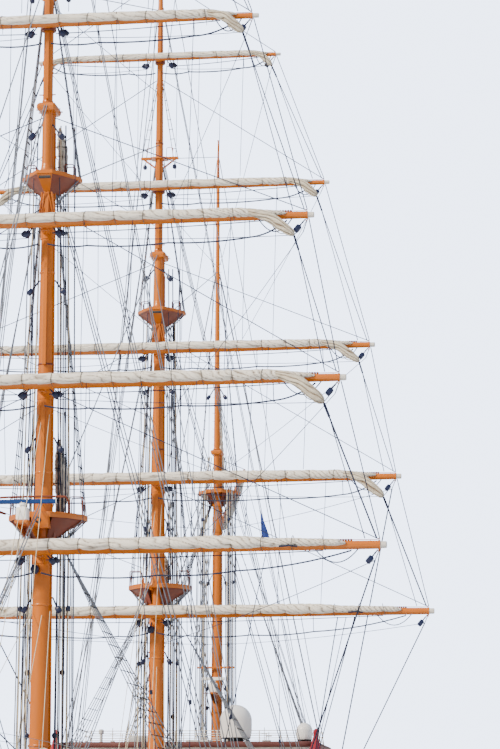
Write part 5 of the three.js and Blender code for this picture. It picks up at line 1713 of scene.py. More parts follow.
def side_rigging(mast):
    """Shrouds, ratlines, futtocks and backstays of one mast, on both sides."""
    y = MASTS[mast][0]
    sizes = bpy.context.scene.tall_ship_sizes
    wire, step = sizes.wire / MM, sizes.ratline_step / MM
    wires, cords, beads, screws = Lines(), Lines(), Fittings(), Fittings()
    mizzen = mast == "mizzen"
    head = 2100 if mizzen else 1440
    feet = (-60, 0, 60, 120, 180) if mizzen else (40, 130, 220, 310, 400)
    for s in SIDES:
        lower = []
        for i, away in enumerate(feet):
            foot = chainplate(s, y + away)
            top_y = y + (i * 4 - 14 if mizzen else 6 + i * 5)
            top = Vector((s * (mast_radius(mast, head) + 1), top_y, head + 16 - i * 4))
            wires.run([top, foot], wire * 0.78)
            screws.put(foot - (top - foot).normalized() * 56, top - foot, 1.1)
            lower.append((top, foot))
        ratlines(cords, beads, lower, rail_z(y + 200) + 90, head - 170, step)
        bar_z = rail_z(y + 200) + 66
        cords.run([mix(t, f, (t.z - bar_z) / (t.z - f.z)) for t, f in lower], 4.2)
        if mizzen:
            upper = [
                (Vector((s * 12, MIZZEN_HEAD_Y + 6, 3250)), Vector((s * 98, y + away, MIZZEN_TOP_Z + 9)))
                for away in (20, 55)
            ]
            ratlines(cords, beads, upper, MIZZEN_TOP_Z + 60, 2950, step)
            backs = [(2260, 22, 90), (2285, 22, 140), (3240, 10, 200), (3255, 10, 240), (3850, 5, 280)]
        else:
            upper = [
                (Vector((s * 23, y + 4 + i * 6, 2660)), Vector((s * 128, y + away, TOP_Z + 10)))
                for i, away in enumerate((50, 84, 118))
            ]
            ratlines(cords, beads, upper, TOP_Z + 50, 2620, step)
            third = [
                (Vector((s * 17, y - 44 + i * 6, 3340)), Vector((s * 101, y + away, CROSSTREES_Z + 9)))
                for i, away in enumerate((34, 54, 74))
            ]
            ratlines(cords, beads, third, CROSSTREES_Z + 50, 3290, step)
            fourth = [
                (Vector((s * 14, y - 40, 3730)), Vector((s * 80, y - 30, SPREADER_Z + 12))),
                (Vector((s * 13, y - 36, 3710)), Vector((s * 60, y - 28, SPREADER_Z + 12))),
            ]
            ratlines(cords, beads, fourth, SPREADER_Z + 50, 3680, step)
            upper = upper + third + fourth
            backs = [
                (2640, 26, 470), (2660, 26, 570), (2690, 26, 670), (3340, 17, 760), (3360, 17, 860),
                (3380, 17, 960), (4060, 11, 1040), (4080, 11, 1110), (4440, 6, 1180),
            ]
            for away in (50, 80, 110):
                wires.run(
                    [(s * 130, y + away, TOP_Z - 2), (s * 33, y + 10 + away * 0.2, TOP_Z - 118)], wire
                )
            for away in (36, 70):
                rim = (s * 100, y + away, CROSSTREES_Z - 2)
                wires.run([rim, (s * 23, y + 8, CROSSTREES_Z - 96)], wire * 0.9)
        for top, foot in upper:
            wires.run([top, foot], wire * 0.72)
        for z, r, away in backs:
            top_y = MIZZEN_HEAD_Y if mizzen and z > MIZZEN_CAP_Z else (y - HEAD_AHEAD if z > CAP_Z else y)
            foot = chainplate(s, y + away)
            top = Vector((s * r, top_y + r * 0.6, z))
            wires.run([top, foot], wire * 0.8)
            screws.put(foot - (top - foot).normalized() * 56, top - foot, 1.05)
    wires.made(f"{mast}_shrouds_and_backstays", "wire")
    cords.made(f"{mast}_ratlines", "tarred", sides=5)
    beads.made(f"{mast}_ratline_seizings", bead_master(), "tarred")
    screws.made(f"{mast}_rigging_screws", turnbuckle_master(), "zinc", slot="iron")


# How far down a stay's two wires are spread, and by how much.
STAY_PAIR = ((0, 4), (0.06, 5), (0.94, 5), (1, 3))


def fore_and_aft_stays():
    """The stays that lead forward from each mast: pairs of wires set up side by side."""
    wires, hanks = Lines(), Fittings()
    fore, main, mizzen = FORE_Y, MAIN_Y, MIZZEN_Y
    pairs = (
        ("stay_fore", (0, fore - mast_radius("fore", 1542) + 2, 1542), (0, -3800, 600)),
        (
            "stay_fore_topmast",
            (0, fore - HEAD_AHEAD - CAP_FORWARD, CAP_Z + 14),
            (0, -4240, bowsprit_z(-4240) + 26),
        ),
        ("stay_main", (0, main - mast_radius("main", 1590) + 2, 1590), (0, fore + 62, 300)),
        ("stay_mizzen", (0, mizzen - mast_radius("mizzen", 2060) + 2, 2060), (0, main + 70, 250)),
    )
    for node, top, foot in pairs:
        top, foot = Vector(top), Vector(foot)
        stay = Lines()
        for s in SIDES:
            wire = [mix(top, foot, share) + Vector((s * out, 0, 0)) for share, out in STAY_PAIR]
            stay.run(wire, 2.8)
        for k in range(1, 24):
            at = mix(top, foot, k / 24)
            stay.run([at + Vector((-6, 0, 0)), at + Vector((6, 0, 0))], 1.6)
        made = stay.made(f"{node}_pair", "wire")
        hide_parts(node)
    runs = [
        ((0, fore - 66, 3440), (0, -4800, bowsprit_z(-4800) + 18), 3.0),
        ((0, fore - 60, 4060), (0, -5035, bowsprit_z(-5035) + 14), 2.8),
        ((0, fore - 54, 4500), (0, -5044, bowsprit_z(-5044) + 12), 2.2),
        ((0, main - 76, CAP_Z + 8), (0, fore + 36, 1470), 3.2),
        ((0, main - 60, 3440), (0, fore + 97, CROSSTREES_Z - 10), 2.8),
        ((0, main - 56, 4060), (0, fore - 28, SPREADER_Z + 6), 2.6),
        ((0, mizzen - 22, 2290), (0, main + 36, 1480), 3.0),
        ((0, MIZZEN_HEAD_Y - 12, 3260), (0, main + 97, CROSSTREES_Z - 10), 2.6),
        ((0, MIZZEN_HEAD_Y - 6, 3860), (0, main - 28, SPREADER_Z + 6), 2.4),
        ((0, -4605, bowsprit_z(-4620) - 188), (0, -5040, bowsprit_z(-5040) - 14), 3.2),
        ((0, -4605, bowsprit_z(-4620) - 188), (0, -4118, 470), 3.2),
    ]
    for a, b, thick in runs:
        wires.run([a, b], thick)
    for s in SIDES:
        wires.run([(s * 12, -5036, bowsprit_z(-5036)), (s * (side_x(-3930, 560) - 2), -3930, 560)], 2.8)
        wires.run([(s * 18, -4560, bowsprit_z(-4560)), (s * (side_x(-3900, 600) - 2), -3900, 600)], 2.8)
    wires.made("stays_between_the_masts", "wire")
    hanked = (
        ((0, fore + 36, 1470), (0, main - 76, CAP_Z + 8)), ((0, fore + 97, 2690), (0, main - 60, 3440))
    )
    for a, b in hanked:
        a, b = Vector(a), Vector(b)
        for k in range(14):
            hanks.put(mix(a, b, 0.02 + k * 0.012), b - a, (2.6, 2.6, 3.8))
    hanks.made("staysail_hanks", bead_master(), "tarred")


def crumpled_bundle(form, cloth, points, radii, seed, around=28, steps=10, finish_number=0):
    """A bundle of stowed cloth along points, crumpled into deep irregular folds."""
    path = smooth_path(points, steps)
    total = len(path) - 1

    def bundle_radius(i, angle):
        share = i / total
        base = through([(k / (len(radii) - 1), r) for k, r in enumerate(radii)], share)
        phase = angle * 3 + fold_noise(share * 7, math.cos(angle) * 1.4, seed) * 6 + share * 4
        ridge = 1 - abs(math.sin(phase))
        lump = fold_noise(share * 9, math.sin(angle) * 1.5, seed + 4)
        tuck = abs(math.sin(share * 22 + math.cos(angle) * 1.2))
        fold = ridge**1.4
        radius = base * (1.0 + 0.16 * lump - 0.30 * fold - 0.12 * (1 - tuck))
        # The second value is painted shade in the folds and tucks.
        return radius, min(1.0, fold * 0.75 + (1 - tuck) * 0.4)

    cloth_tube(form, cloth, path, bundle_radius, around, finish_number)


def braces_and_lifts(mast, name):
    """The lines that hold and turn a yard, each from the yard at one end to the ship at the other."""
    z, length, _, arm = YARDS[name][:4]
    half = length / 2
    tip = half - YARD_TIP
    y = yard_y(mast, name)
    body = f"{mast}_{name}"
    own_y = MASTS[mast][0]
    index = YARD_NAMES.index(name)
    lift_z = z + (560, 640, 400, 500, 380)[index]
    head = lift_z > CAP_Z
    lift_r = through(HEAD_RADII, lift_z) if head else mast_radius(mast, lift_z)
    lift_y = own_y - HEAD_AHEAD if head else own_y - lift_r
    if mast == "fore":
        lead_z = (1250, 1560, 2230, 3080, 3690)[index]
        lead_y = MAIN_Y
        lead_r = mast_radius("main", lead_z) if lead_z < CAP_Z else through(HEAD_RADII, lead_z)
        lead_y = lead_y - HEAD_AHEAD if lead_z > CAP_Z else lead_y
    else:
        lead_z = (1390, 1960, 2250, 2720, 3300)[index]
        on_pole = lead_z > MIZZEN_CAP_Z
        lead_y = MIZZEN_HEAD_Y if on_pole else MIZZEN_Y
        lead_r = through(MIZZEN_HEAD_RADII, lead_z) if on_pole else mast_radius("mizzen", lead_z)
    for s, side in SIDE_NAMES:
        lift = Lines()
        top = Vector((s * (lift_r + 1), lift_y, lift_z))
        end = Vector((s * (tip - 4), y, z + arm + 5))
        lift.run(spaced(top, end, 12), 2.4)
        lift.blended(f"{body}_lift_{side}", "navy", top)
        brace = Lines()
        hold = Vector((s * (lead_r + 2), lead_y, lead_z))
        start = Vector((s * (tip + 2), y + arm * 0.6, z))
        block_at = start + Vector((-s * 26, 60, -44 if index < 3 else -30))
        brace.run([start, mix(start, block_at, 0.5), block_at], 2.4)
        brace.run(hanging(block_at, hold, 14, 20), 1.8)
        if mast == "main" and index < 2 or mast == "fore" and index == 0:
            rail_y = own_y + (1500 if mast == "main" else 2000)
            foot = Vector((s * (side_x(rail_y, rail_z(rail_y)) - 14), rail_y, rail_z(rail_y) + 20))
            brace.run(spaced(block_at, foot, 20), 3.6)
            brace.run(spaced(block_at + Vector((0, 5, 0)), foot + Vector((0, 16, 0)), 20), 2.4)
        brace.blended(f"{body}_brace_{side}", "navy", hold)
        if name == "course":
            course_lines(mast, s, side)


def course_lines(mast, s, side):
    """Tackles from a course yard down to the rail."""
    name = "course"
    z, length, middle = YARDS[name][:3]
    half = length / 2
    y = yard_y(mast, name)
    lines = Lines()
    if mast == "fore":
        leads = ((0.66, 430, 0.62, 2.0), (0.45, 190, 0.44, 1.8), (0.30, 60, 0.36, 1.8))
    else:
        leads = (
            (0.66, 430, 0.62, 3.2), (0.69, 300, 0.60, 2.4), (0.72, 200, 0.6, 2.8), (0.45, 190, 0.44, 1.8)
        )
    for share, aft, foot_share, thick in leads:
        top = Vector((s * share * half, y - 4, z - middle - 2))
        foot_y = y + aft
        foot_z = rail_z(foot_y)
        foot = Vector((s * min(foot_share * half, side_x(foot_y, foot_z) - 16), foot_y, foot_z + 6))
        lines.run(spaced(top, foot, 10), thick)
        knot = mix(top, foot, 0.45 + 0.2 * share)
        lines.run([knot, knot + (foot - top).normalized() * 15], 7.0)
    top = Vector((s * 0.6 * half, y, z))
    foot = Vector((s * 0.6 * half, y + 200, rail_z(y)))
    lines.blended(f"{mast}_course_tackles_{side}", "navy", foot)


def falls_and_halyards(mast):
    """The upright lines beside a mast, with their blocks on short brackets and the pins that they lead to."""
    y = MASTS[mast][0]
    mizzen = mast == "mizzen"
    ropes, pale, steel, blocks = Lines(), Lines(), Lines(), Fittings()
    kinds = (ropes, steel, pale)
    foot_z = raised_deck_z(y) + 92 if mizzen else main_deck_z(y) + 92
    top_z = MIZZEN_TOP_Z if mizzen else TOP_Z
    uppers = (CROSSTREES_Z - 14, top_z - 8, CAP_Z - 30, top_z + 380)
    if mizzen:
        uppers = (MIZZEN_TOP_Z - 8, MIZZEN_CAP_Z - 10)
    spots = [(44, -8), (48, 4), (52, 14), (56, 24), (60, 60), (64, 40), (70, 14), (76, 66), (82, 30)]
    spots += [(90, 46), (98, 58), (54, 84), (68, 96), (84, 108)]
    # The boom and the gaff swing behind the mizzen, so its falls come down ahead of it.
    aft = -0.7 if mizzen else 1.0
    for s in SIDES:
        for i, (x, away) in enumerate(spots):
            upper = uppers[i % len(uppers)]
            head = Vector((s * (x - (20 if upper > top_z else 4)), y + (max(away, 36) + 2) * aft, upper))
            pierced = Vector((s * min(x, 96), y + max(away, 40) * aft, top_z + 2))
            foot = Vector((s * (x + 6), y + (away * 0.9 + 4) * aft, foot_z))
            path = [foot, head] if upper < top_z else [foot, pierced, head]
            kinds[i % 3].run(path, 2.2 if i % 2 else 3.2)
            if i % 4 == 0:
                blocks.put(mix(path[0], path[1], 0.32 + 0.05 * i), UP, 0.8)
    if mizzen:
        hung = ((2630, 34, 1.0), (1700, 40, 0.9), (1180, 42, 0.9))
    elif mast == "fore":
        hung = ((2850, 42, 1.15), (2296, 50, 1.0), (1736, 50, 1.0), (1180, 52, 1.0))
    else:
        hung = ((2850, 42, 1.15), (2352, 50, 1.0), (1754, 44, 1.0), (1180, 50, 1.0))
    for z, x, size in hung:
        head = z > (MIZZEN_CAP_Z if mizzen else CROSSTREES_Z)
        axis = (MIZZEN_HEAD_Y if mizzen else y - HEAD_AHEAD) if head else y
        r = through(MIZZEN_HEAD_RADII if mizzen else HEAD_RADII, z) if head else mast_radius(mast, z)
        for s in SIDES:
            arm = Vector((s * (r - 1), axis, z + 30))
            at = Vector((s * x, axis - 6, z))
            ropes.run([arm, arm + Vector((s * 5, 0, 0)), at], 4.2)
            blocks.put(at, arm - at, size)
            end = (s * (x + 9), y + 44 * aft, top_z + 12 if z > top_z else foot_z)
            ropes.run([at + Vector((s * 4, 0, -24 * size)), end], 1.8)
    if not mizzen:
        for s in SIDES:
            at = Vector((s * 66, y - 28, SPREADER_Z - 20))
            ropes.run([at + Vector((-s * 6, 0, 18)), at], 2.4)
            blocks.put(at, UP, 0.85)
        front = y - mast_radius(mast, 1300) - 11
        blocks.put((-18, front, 1322), UP, 1.3)
        ropes.run([(-18, y - mast_radius(mast, 1330) + 6, 1338), (-18, front, 1324)], 3.0)
        # Halyards: across, height on the mast and across at the deck.
        led = (
            (-20, 1845, -88), (-6, 1835, -50), (20, 1845, 88), (34, 1160, 182), (-30, 1160, -100),
            (6, 1150, 122),
        )
        for k, (x, z, foot_x) in enumerate(led):
            a = Vector((x, y - mast_radius(mast, z) + 6, z))
            if mast == "fore":
                b = Vector((foot_x, -3000 - 60 * k, raised_deck_z(-3000) + 20))
            else:
                b = Vector((foot_x, y - 740 - 20 * k, main_deck_z(y - 740) + 4))
            pale.run([a, b], 1.6)
    ropes.made(f"{mast}_falls", "navy")
    pale.made(f"{mast}_halyards", "pale")
    steel.made(f"{mast}_wire_falls", "wire")
    blocks.made(f"{mast}_fall_blocks", block_master(), "block")


class OBJECT_OT_tall_ship_masts(bpy.types.Operator):
    """Make the steel masts with their tops, crosstrees and caps"""

    bl_idname = "object.tall_ship_masts"
    bl_label = "Masts"

    def execute(self, context):
        coats = ["mast", "band", "arm", "iron"]
        for mast in SQUARE_MASTS:
            node = f"mast_{mast}"
            piece(f"{mast}_lower_mast_and_topmast", square_mast(mast), coats, "ship", [node])
            piece(f"{mast}_topgallant_mast", head_mast(mast), coats, "ship", [f"{node}_topgallant"])
        piece("mizzen_lower_mast", mizzen_mast(), coats, "ship", ["mast_mizzen"])
        piece("mizzen_pole_topmast", mizzen_head(), coats, "ship", ["mast_mizzen_top"])
        return {"FINISHED"}


class OBJECT_OT_tall_ship_yards(bpy.types.Operator):
    """Make the ten yards with their arms, jackstays and trusses"""

    bl_idname = "object.tall_ship_yards"
    bl_label = "Yards"

    def execute(self, context):
        coats = ["mast", "band", "arm"]
        for mast in SQUARE_MASTS:
            for name in YARD_NAMES:
                own = f"{mast}_{name}"
                piece(f"{own}_yard", yard_form(mast, name), coats, own, [f"yard_{own}"])
        return {"FINISHED"}


class OBJECT_OT_tall_ship_square_sails(bpy.types.Operator):
    """Make the square sails, furled on their yards, with the clews hanging"""

    bl_idname = "object.tall_ship_square_sails"
    bl_label = "Square sails"

    def execute(self, context):
        for m, mast in enumerate(SQUARE_MASTS):
            for n, name in enumerate(YARD_NAMES):
                form, cloth = furled_sail(mast, name, m * 5 + n + 1)
                cloth_piece(f"{mast}_{name}_furled", form, cloth, f"{mast}_{name}", [f"sail_{mast}_{name}"])
        return {"FINISHED"}


class OBJECT_OT_tall_ship_yard_gear(bpy.types.Operator):
    """Make what hangs from the yards: gaskets, footropes, blocks and sheets"""

    bl_idname = "object.tall_ship_yard_gear"
    bl_label = "Yard gear"

    def execute(self, context):
        for mast in SQUARE_MASTS:
            for name in YARD_NAMES:
                yard_gear(mast, name)
        return {"FINISHED"}


class OBJECT_OT_tall_ship_standing_rigging(bpy.types.Operator):
    """Make the shrouds, ratlines, backstays and stays"""

    bl_idname = "object.tall_ship_standing_rigging"
    bl_label = "Standing rigging"

    def execute(self, context):
        for mast in MASTS:
            side_rigging(mast)
        fore_and_aft_stays()
        pennant()
        return {"FINISHED"}


class OBJECT_OT_tall_ship_running_rigging(bpy.types.Operator):
    """Make the braces, lifts, falls and halyards"""

    bl_idname = "object.tall_ship_running_rigging"
    bl_label = "Running rigging"

    def execute(self, context):
        for mast in SQUARE_MASTS:
            for name in YARD_NAMES:
                braces_and_lifts(mast, name)
        for mast in MASTS:
            falls_and_halyards(mast)
        return {"FINISHED"}


def coat_node(node, look):
    """Gives a node of the frame its finish."""
    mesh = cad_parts[node].data
    mesh.materials.clear()
    mesh.materials.append(finish(look))


class OBJECT_OT_tall_ship_fore_and_aft_sails(bpy.types.Operator):
    """Make the stowed headsails, staysails, mizzen topsail and spanker"""

    bl_idname = "object.tall_ship_fore_and_aft_sails"
    bl_label = "Fore-and-aft sails"

    def execute(self, context):
        fore, main, mizzen = FORE_Y, MAIN_Y, MIZZEN_Y
        form, cloth = new_cloth()
        shares = (-4300, -4360, -4500, -4700, -4860, -4920)
        radii = [7, 20, 25, 23, 17, 5]
        points = [(0, y, bowsprit_z(y) + 20 + r * 1.02) for y, r in zip(shares, radii)]
        crumpled_bundle(form, cloth, points, radii, 3, steps=16)
        cloth_piece("headsails_stowed", form, cloth, "ship", ["sail_headsails"])

        form, cloth = new_cloth()
        points = [
            (6, mizzen + 52, MIZZEN_TOP_Z + 10), (2, mizzen + 54, MIZZEN_TOP_Z + 90),
            (0, mizzen + 53, MIZZEN_CAP_Z + 24), (0, mizzen + 36, MIZZEN_CAP_Z + 90),
            (0, mizzen - 5, MIZZEN_CAP_Z + 330), (0, mizzen - 16, MIZZEN_CAP_Z + 420),
        ]
        crumpled_bundle(form, cloth, points, [22, 25, 23, 22, 15, 5], 5, steps=14)
        cloth_piece("mizzen_topsail_stowed", form, cloth, "ship", ["sail_mizzen_topsail"])

        form, cloth = new_cloth()
        pin = spanker_pin(GAFF_Z)
        spots = []
        sizes = [10, 24, 27, 22, 14, 5]
        for share, r in zip((0.05, 0.15, 0.4, 0.7, 0.9, 0.97), sizes):
            under = (12 + r) * math.hypot(1, 420 / 900) - 2
            spots.append((0, pin + 20 + share * 900, GAFF_Z + share * 420 - under))
        crumpled_bundle(form, cloth, spots, sizes, 8, steps=16)
        cloth_piece("spanker_stowed", form, cloth, "gaff", ["sail_spanker"])

        for k, (name, x, y, z0, z1, r) in enumerate(
            (
                ("fore_staysail_lower", 46, fore + 66, 1506, 1772, 25),
                ("fore_staysail_upper", 34, fore + 58, 2714, 2900, 20),
                ("main_staysail_lower", 30, main + 66, 1508, 1640, 15),
            )
        ):
            form, cloth = new_cloth()
            points = [
                (x - 4, y, z0), (x + 3, y + 2, mix(z0, z1, 0.3)), (x - 2, y + 4, mix(z0, z1, 0.62)),
                (x - 8, y + 6, mix(z0, z1, 0.85)), (x - 12, y + 8, z1),
            ]
            crumpled_bundle(form, cloth, points, [r * 0.7, r, r * 0.95, r * 0.6, r * 0.2], 11 + k, steps=12)
            cloth_piece(name, form, cloth, "ship", [])
        tie_bundles()
        return {"FINISHED"}


def tie_bundles():
    """Gaskets round the stowed fore-and-aft sails."""
    fore = FORE_Y
    cords = Lines()
    for x, y, z0, z1, r in ((46, fore + 68, 1506, 1772, 26), (34, fore + 60, 2714, 2900, 21)):
        for share in (0.18, 0.4, 0.6, 0.8):
            z = mix(z0, z1, share)
            spread = r * through([(0, 0.8), (0.5, 1), (0.8, 0.66), (1, 0.3)], share)
            ring = [
                (x - 3 + spread * math.cos(a), y + 3 + spread * math.sin(a), z + 3 * math.sin(a * 2))
                for a in circle(12)
            ]
            cords.run(ring, 1.8)
    cords.made("staysail_gaskets", "tarred", sides=5)


class OBJECT_OT_tall_ship_spanker_spars(bpy.types.Operator):
    """Make the spanker's boom and gaff with their bands and lines"""

    bl_idname = "object.tall_ship_spanker_spars"
    bl_label = "Boom and gaff"

    def execute(self, context):
        coats = ["mast", "band", "arm"]
        mizzen = MIZZEN_Y
        spars = (("boom", GOOSENECK_Z, 1480, 40, 15, 9), ("gaff", GAFF_Z, 900, 420, 12, 7))
        for name, z, length, rise, thick, tip in spars:
            pin = spanker_pin(z)
            start = pin + 20
            form = Form()
            spots = [Vector((0, start + k * length, z + k * rise)) for k in (0, 0.3, 0.75, 0.99, 1)]
            form.tube(spots, [thick * 0.7, thick, thick * 0.9, tip, tip * 0.5], 28)
            form.lathe((0, pin, z - 13), UP, [(9, 0), (9, 26)], 20)
            form.slab((-6, pin, z - 8), (6, pin + 28, z + 8), 2)
            run = (spots[-1] - spots[0]).normalized()
            for share in (0.12, 0.45, 0.8):
                r = through([(0, thick * 0.7), (0.3, thick), (0.75, thick * 0.9), (1, tip)], share)
                form.finish = 1
                form.lathe(mix(spots[0], spots[-1], share), run, band_profile(r, 7), 28)
            piece(f"spanker_{name}", form, coats, name, [f"{name}_spanker"])
        lines = Lines()
        pin = spanker_pin(GAFF_Z)
        peak = Vector((0, pin + 20 + 880, GAFF_Z + 410))
        for share, z in ((0.45, 2310), (0.97, 2320)):
            a = Vector((0, mizzen + 30, z))
            b = Vector((0, pin + 20 + share * 900, GAFF_Z + share * 420 + 12))
            lines.run(spaced(a, b, 8), 2.4)
        lines.blended(
            "spanker_peak_halyards", "navy", (0, mizzen + 30, 2310)
        )
        sheet = Lines()
        end = Vector((0, mizzen + 64 + 20 + 1380, GOOSENECK_Z + 24))
        for s in SIDES:
            foot = Vector((s * 90, end.y + 10, raised_deck_z(end.y) + 10))
            sheet.run(spaced(foot, end, 8), 2.6)
        sheet.blended("spanker_sheets", "navy", (0, end.y, raised_deck_z(end.y) + 10))
        vang = Lines()
        for s in SIDES:
            foot = Vector((s * (side_x(3300, raised_deck_z(3300)) - 20), 3300, raised_deck_z(3300) + 8))
            vang.run(spaced(foot, peak, 12), 1.8)
        vang.blended("spanker_vangs", "navy", (0, 3300, raised_deck_z(3300) + 8))
        return {"FINISHED"}


def hull_block(form, y0, y1, stations, low, high, levels, top_finish):
    """The hull's own form between two heights, each a function of the place."""
    rings = []
    for i in range(stations + 1):
        y = y0 + (y1 - y0) * (1 - math.cos(math.pi * i / stations)) / 2
        z0, z1 = low(y), high(y)
        side = []
        for j in range(levels + 1):
            z = z0 + (z1 - z0) * (j / levels) ** 0.8
            side.append((side_x(y, z), z))
        rings.append(mirrored(side, y))
    form.loft(rings, {levels: top_finish})


def above_deck(y):
    """Where the plating of a raised deck begins: on the main deck, or on the stem or the counter."""
    return max(main_deck_z(y) + 0.3, keel_z(y))


def deck_end(start, step):
    """Where the stem or the counter rises through the upper deck."""
    y = start
    while main_deck_z(y) - keel_z(y) < 14:
        y += step
    return y


def belt(form, y0, y1, height, out, thick, steps=60):
    """A rubbing strake along both sides at a height."""
    for s in SIDES:
        rings = []
        for y in spaced(y0, y1, steps):
            z = height(y)
            x = side_x(y, z)
            edge = (
                (-2, -thick), (out * 0.7, -thick * 0.6), (out, 0), (out * 0.7, thick * 0.6), (-2, thick)
            )
            rings.append([Vector((s * (x + away), y, z + rise)) for away, rise in edge])
        form.loft(rings)


class OBJECT_OT_tall_ship_hull(bpy.types.Operator):
    """Make the smooth hull with its strakes, keel gear and portholes"""

    bl_idname = "object.tall_ship_hull"
    bl_label = "Hull"

    def execute(self, context):
        coats = ["topside", "deck", "band"]
        form = Form()
        hull_block(form, deck_end(BOW_Y, 5), deck_end(STERN_Y, -5), 130, keel_z, main_deck_z, 26, 1)
        form.finish = 0
        skeg = [(1500, -532), (3000, -532), (3000, -220), (2300, -440), (1500, -490)]
        form.loft([[Vector((x, y, z)) for y, z in skeg] for x in (-13, 13)])
        form.lathe((0, 2900, -375), ALONG, [(20, 0), (20, 104), (17, 108)], 24)
        form.slab((-14, 2960, -546), (14, 3170, -532), 3)
        form.lathe((0, 3140, -205), UP, [(17, 0), (17, 145)], 24)
        for s in SIDES:
            rings = []
            for i, y in enumerate(spaced(-1300, 1300, 30)):
                z = -430
                x = side_x(y, z)
                out = 26 * math.sin(math.pi * i / 30) + 0.5
                fin = ((-6, 4), (out, -out * 0.8), (out - 3, -out * 0.8 - 4), (-6, -8))
                rings.append([Vector((s * (x + away), y, z + rise)) for away, rise in fin])
            form.loft(rings)
        belt(form, -4020, 3790, lambda y: main_deck_z(y) + 2, 5, 6)
        piece("hull_plating", form, coats, replaces=["hull"], crease=38)

        form = Form()
        hull_block(form, BOW_Y, FORECASTLE_END, 60, above_deck, raised_deck_z, 10, 1)
        form.finish = 0
        belt(form, BOW_Y + 30, FORECASTLE_END, lambda y: raised_deck_z(y) - 5, 4, 5, 40)
        piece("forecastle_plating", form, coats, replaces=["forecastle"], crease=38)

        form = Form()
        hull_block(form, QUARTERDECK_START, STERN_Y, 70, above_deck, raised_deck_z, 10, 1)
        form.finish = 0
        belt(form, QUARTERDECK_START, STERN_Y - 10, lambda y: raised_deck_z(y) - 5, 4, 5, 50)
        piece("quarterdeck_plating", form, coats, replaces=["quarterdeck"], crease=38)
        bulwarks()
        portholes()
        return {"FINISHED"}


def bulwarks():
    """Plated bulwarks along the waist with their teak rails, stays and freeing ports."""
    for s, side in SIDE_NAMES:
        node = f"bulwark_{side}"
        form = Form()
        rings, rail = [], []
        for y in spaced(FORECASTLE_END + 1, QUARTERDECK_START - 1, 70):
            foot = main_deck_z(y) + 0.3
            head = main_deck_z(y) + BULWARK_HEIGHT
            low = head - 7
            plate = ((BULWARK_THICK, foot), (0, foot), (0, low), (BULWARK_THICK, low))
            rings.append([Vector((s * (side_x(y, z) - inside), y, z)) for inside, z in plate])
            x = side_x(y, head)
            cap = ((-25, low), (4, low), (5, low + 3), (3, head), (-24, head), (-26, low + 3))
            rail.append([Vector((s * (x + away), y, z)) for away, z in cap])
        form.loft(rings)
        form.finish = 1
        form.loft(rail)
        form.finish = 0
        for y in range(FORECASTLE_END + 90, QUARTERDECK_START - 60, 180):
            foot = main_deck_z(y)
            x = side_x(y, foot + 40) - BULWARK_THICK
            knee = ((x, foot + 1), (x - 46, foot + 1), (x, foot + 112))
            form.loft([[Vector((s * out, y + side, z)) for out, z in knee] for side in (-1.6, 1.6)])
        form.finish = 2
        for y in range(-2500, 500, 420):
            z = main_deck_z(y) + 22
            x = side_x(y, z)
            form.slab((s * x - 1.6, y - 34, z - 10), (s * x + 1.6, y + 34, z + 10), 0.7)
        piece(f"{node}_plating", form, ["topside", "teak", "band"], replaces=[node])


def portholes():
    """Portholes in the topsides: bronze rings round dark glass."""
    ring, glass = Form(), Form()
    ring.hollow((0, 0, 0), UP, [(8.4, 0), (11.2, 0), (11.2, 1.0), (10.2, 1.8), (8.4, 1.4)], 18)
    glass.lathe((0, 0, 0), UP, [(8.6, -0.8), (8.6, 0.5), (6, 0.9)], 18)
    rims, panes = Fittings(), Fittings()
    step = bpy.context.scene.tall_ship_sizes.port_step / MM
    y = -3250
    while y < 3000:
        rows = [main_deck_z(y) - 85]
        if y < FORECASTLE_END - 60 or y > QUARTERDECK_START + 80:
            rows.append(main_deck_z(y) + 112)
        for z in rows:
            x = side_x(y, z)
            across = Vector((side_x(y + 5, z) - side_x(y - 5, z), 10, 0))
            rise = Vector((side_x(y, z + 5) - side_x(y, z - 5), 0, 10))
            normal = across.cross(rise).normalized()
            if normal.x < 0:
                normal = -normal
            for s in SIDES:
                out = Vector((s * normal.x, normal.y, normal.z))
                rims.put((s * x, y, z), out)
                panes.put((s * x, y, z), out)
        y += step
    rims.made("porthole_rims", ring, "bronze")
    panes.made("porthole_glass", glass, "glass")


def rail_path(y0, y1, inset, steps=40):
    """A line along the port edge of a raised deck."""
    return [(side_x(y, raised_deck_z(y)) - inset, y, raised_deck_z(y)) for y in spaced(y0, y1, steps)]


class OBJECT_OT_tall_ship_decks(bpy.types.Operator):
    """Make the deck rails, hatches, deckhouse fittings, pin rails and gear on the decks"""

    bl_idname = "object.tall_ship_decks"
    bl_label = "Decks"

    def execute(self, context):
        sizes = context.scene.tall_ship_sizes
        lines, fore = Lines(), Lines()
        bow = rail_path(FORECASTLE_END - 6, -4120, 9)
        fore.run([*bow, *[(-x, y, z) for x, y, z in reversed(bow)]], 4)
        stern = rail_path(QUARTERDECK_START + 6, STERN_Y - 12, 9, 60)
        lines.run([*stern, *[(-x, y, z) for x, y, z in reversed(stern)]], 4)
        for y in (FORECASTLE_END - 8, QUARTERDECK_START + 8):
            x = side_x(y, raised_deck_z(y)) - 12
            for s in SIDES:
                lines.run([(s * x, y, raised_deck_z(y)), (s * 130, y, raised_deck_z(y))], 4)
            lines.run([(-86, y, raised_deck_z(y)), (86, y, raised_deck_z(y))], 4)
        lines.railing("deck_railings", "house", {"Step": sizes.post_step})
        light = {"Height": 72 * MM, "Post Radius": 1.4 * MM, "Rail Radius": 0.8 * MM}
        fore.railing("bow_railing", "zinc", {"Step": sizes.post_step, **light})
        deck_gear()
        fife_rails()
        deckhouse_details()
        return {"FINISHED"}


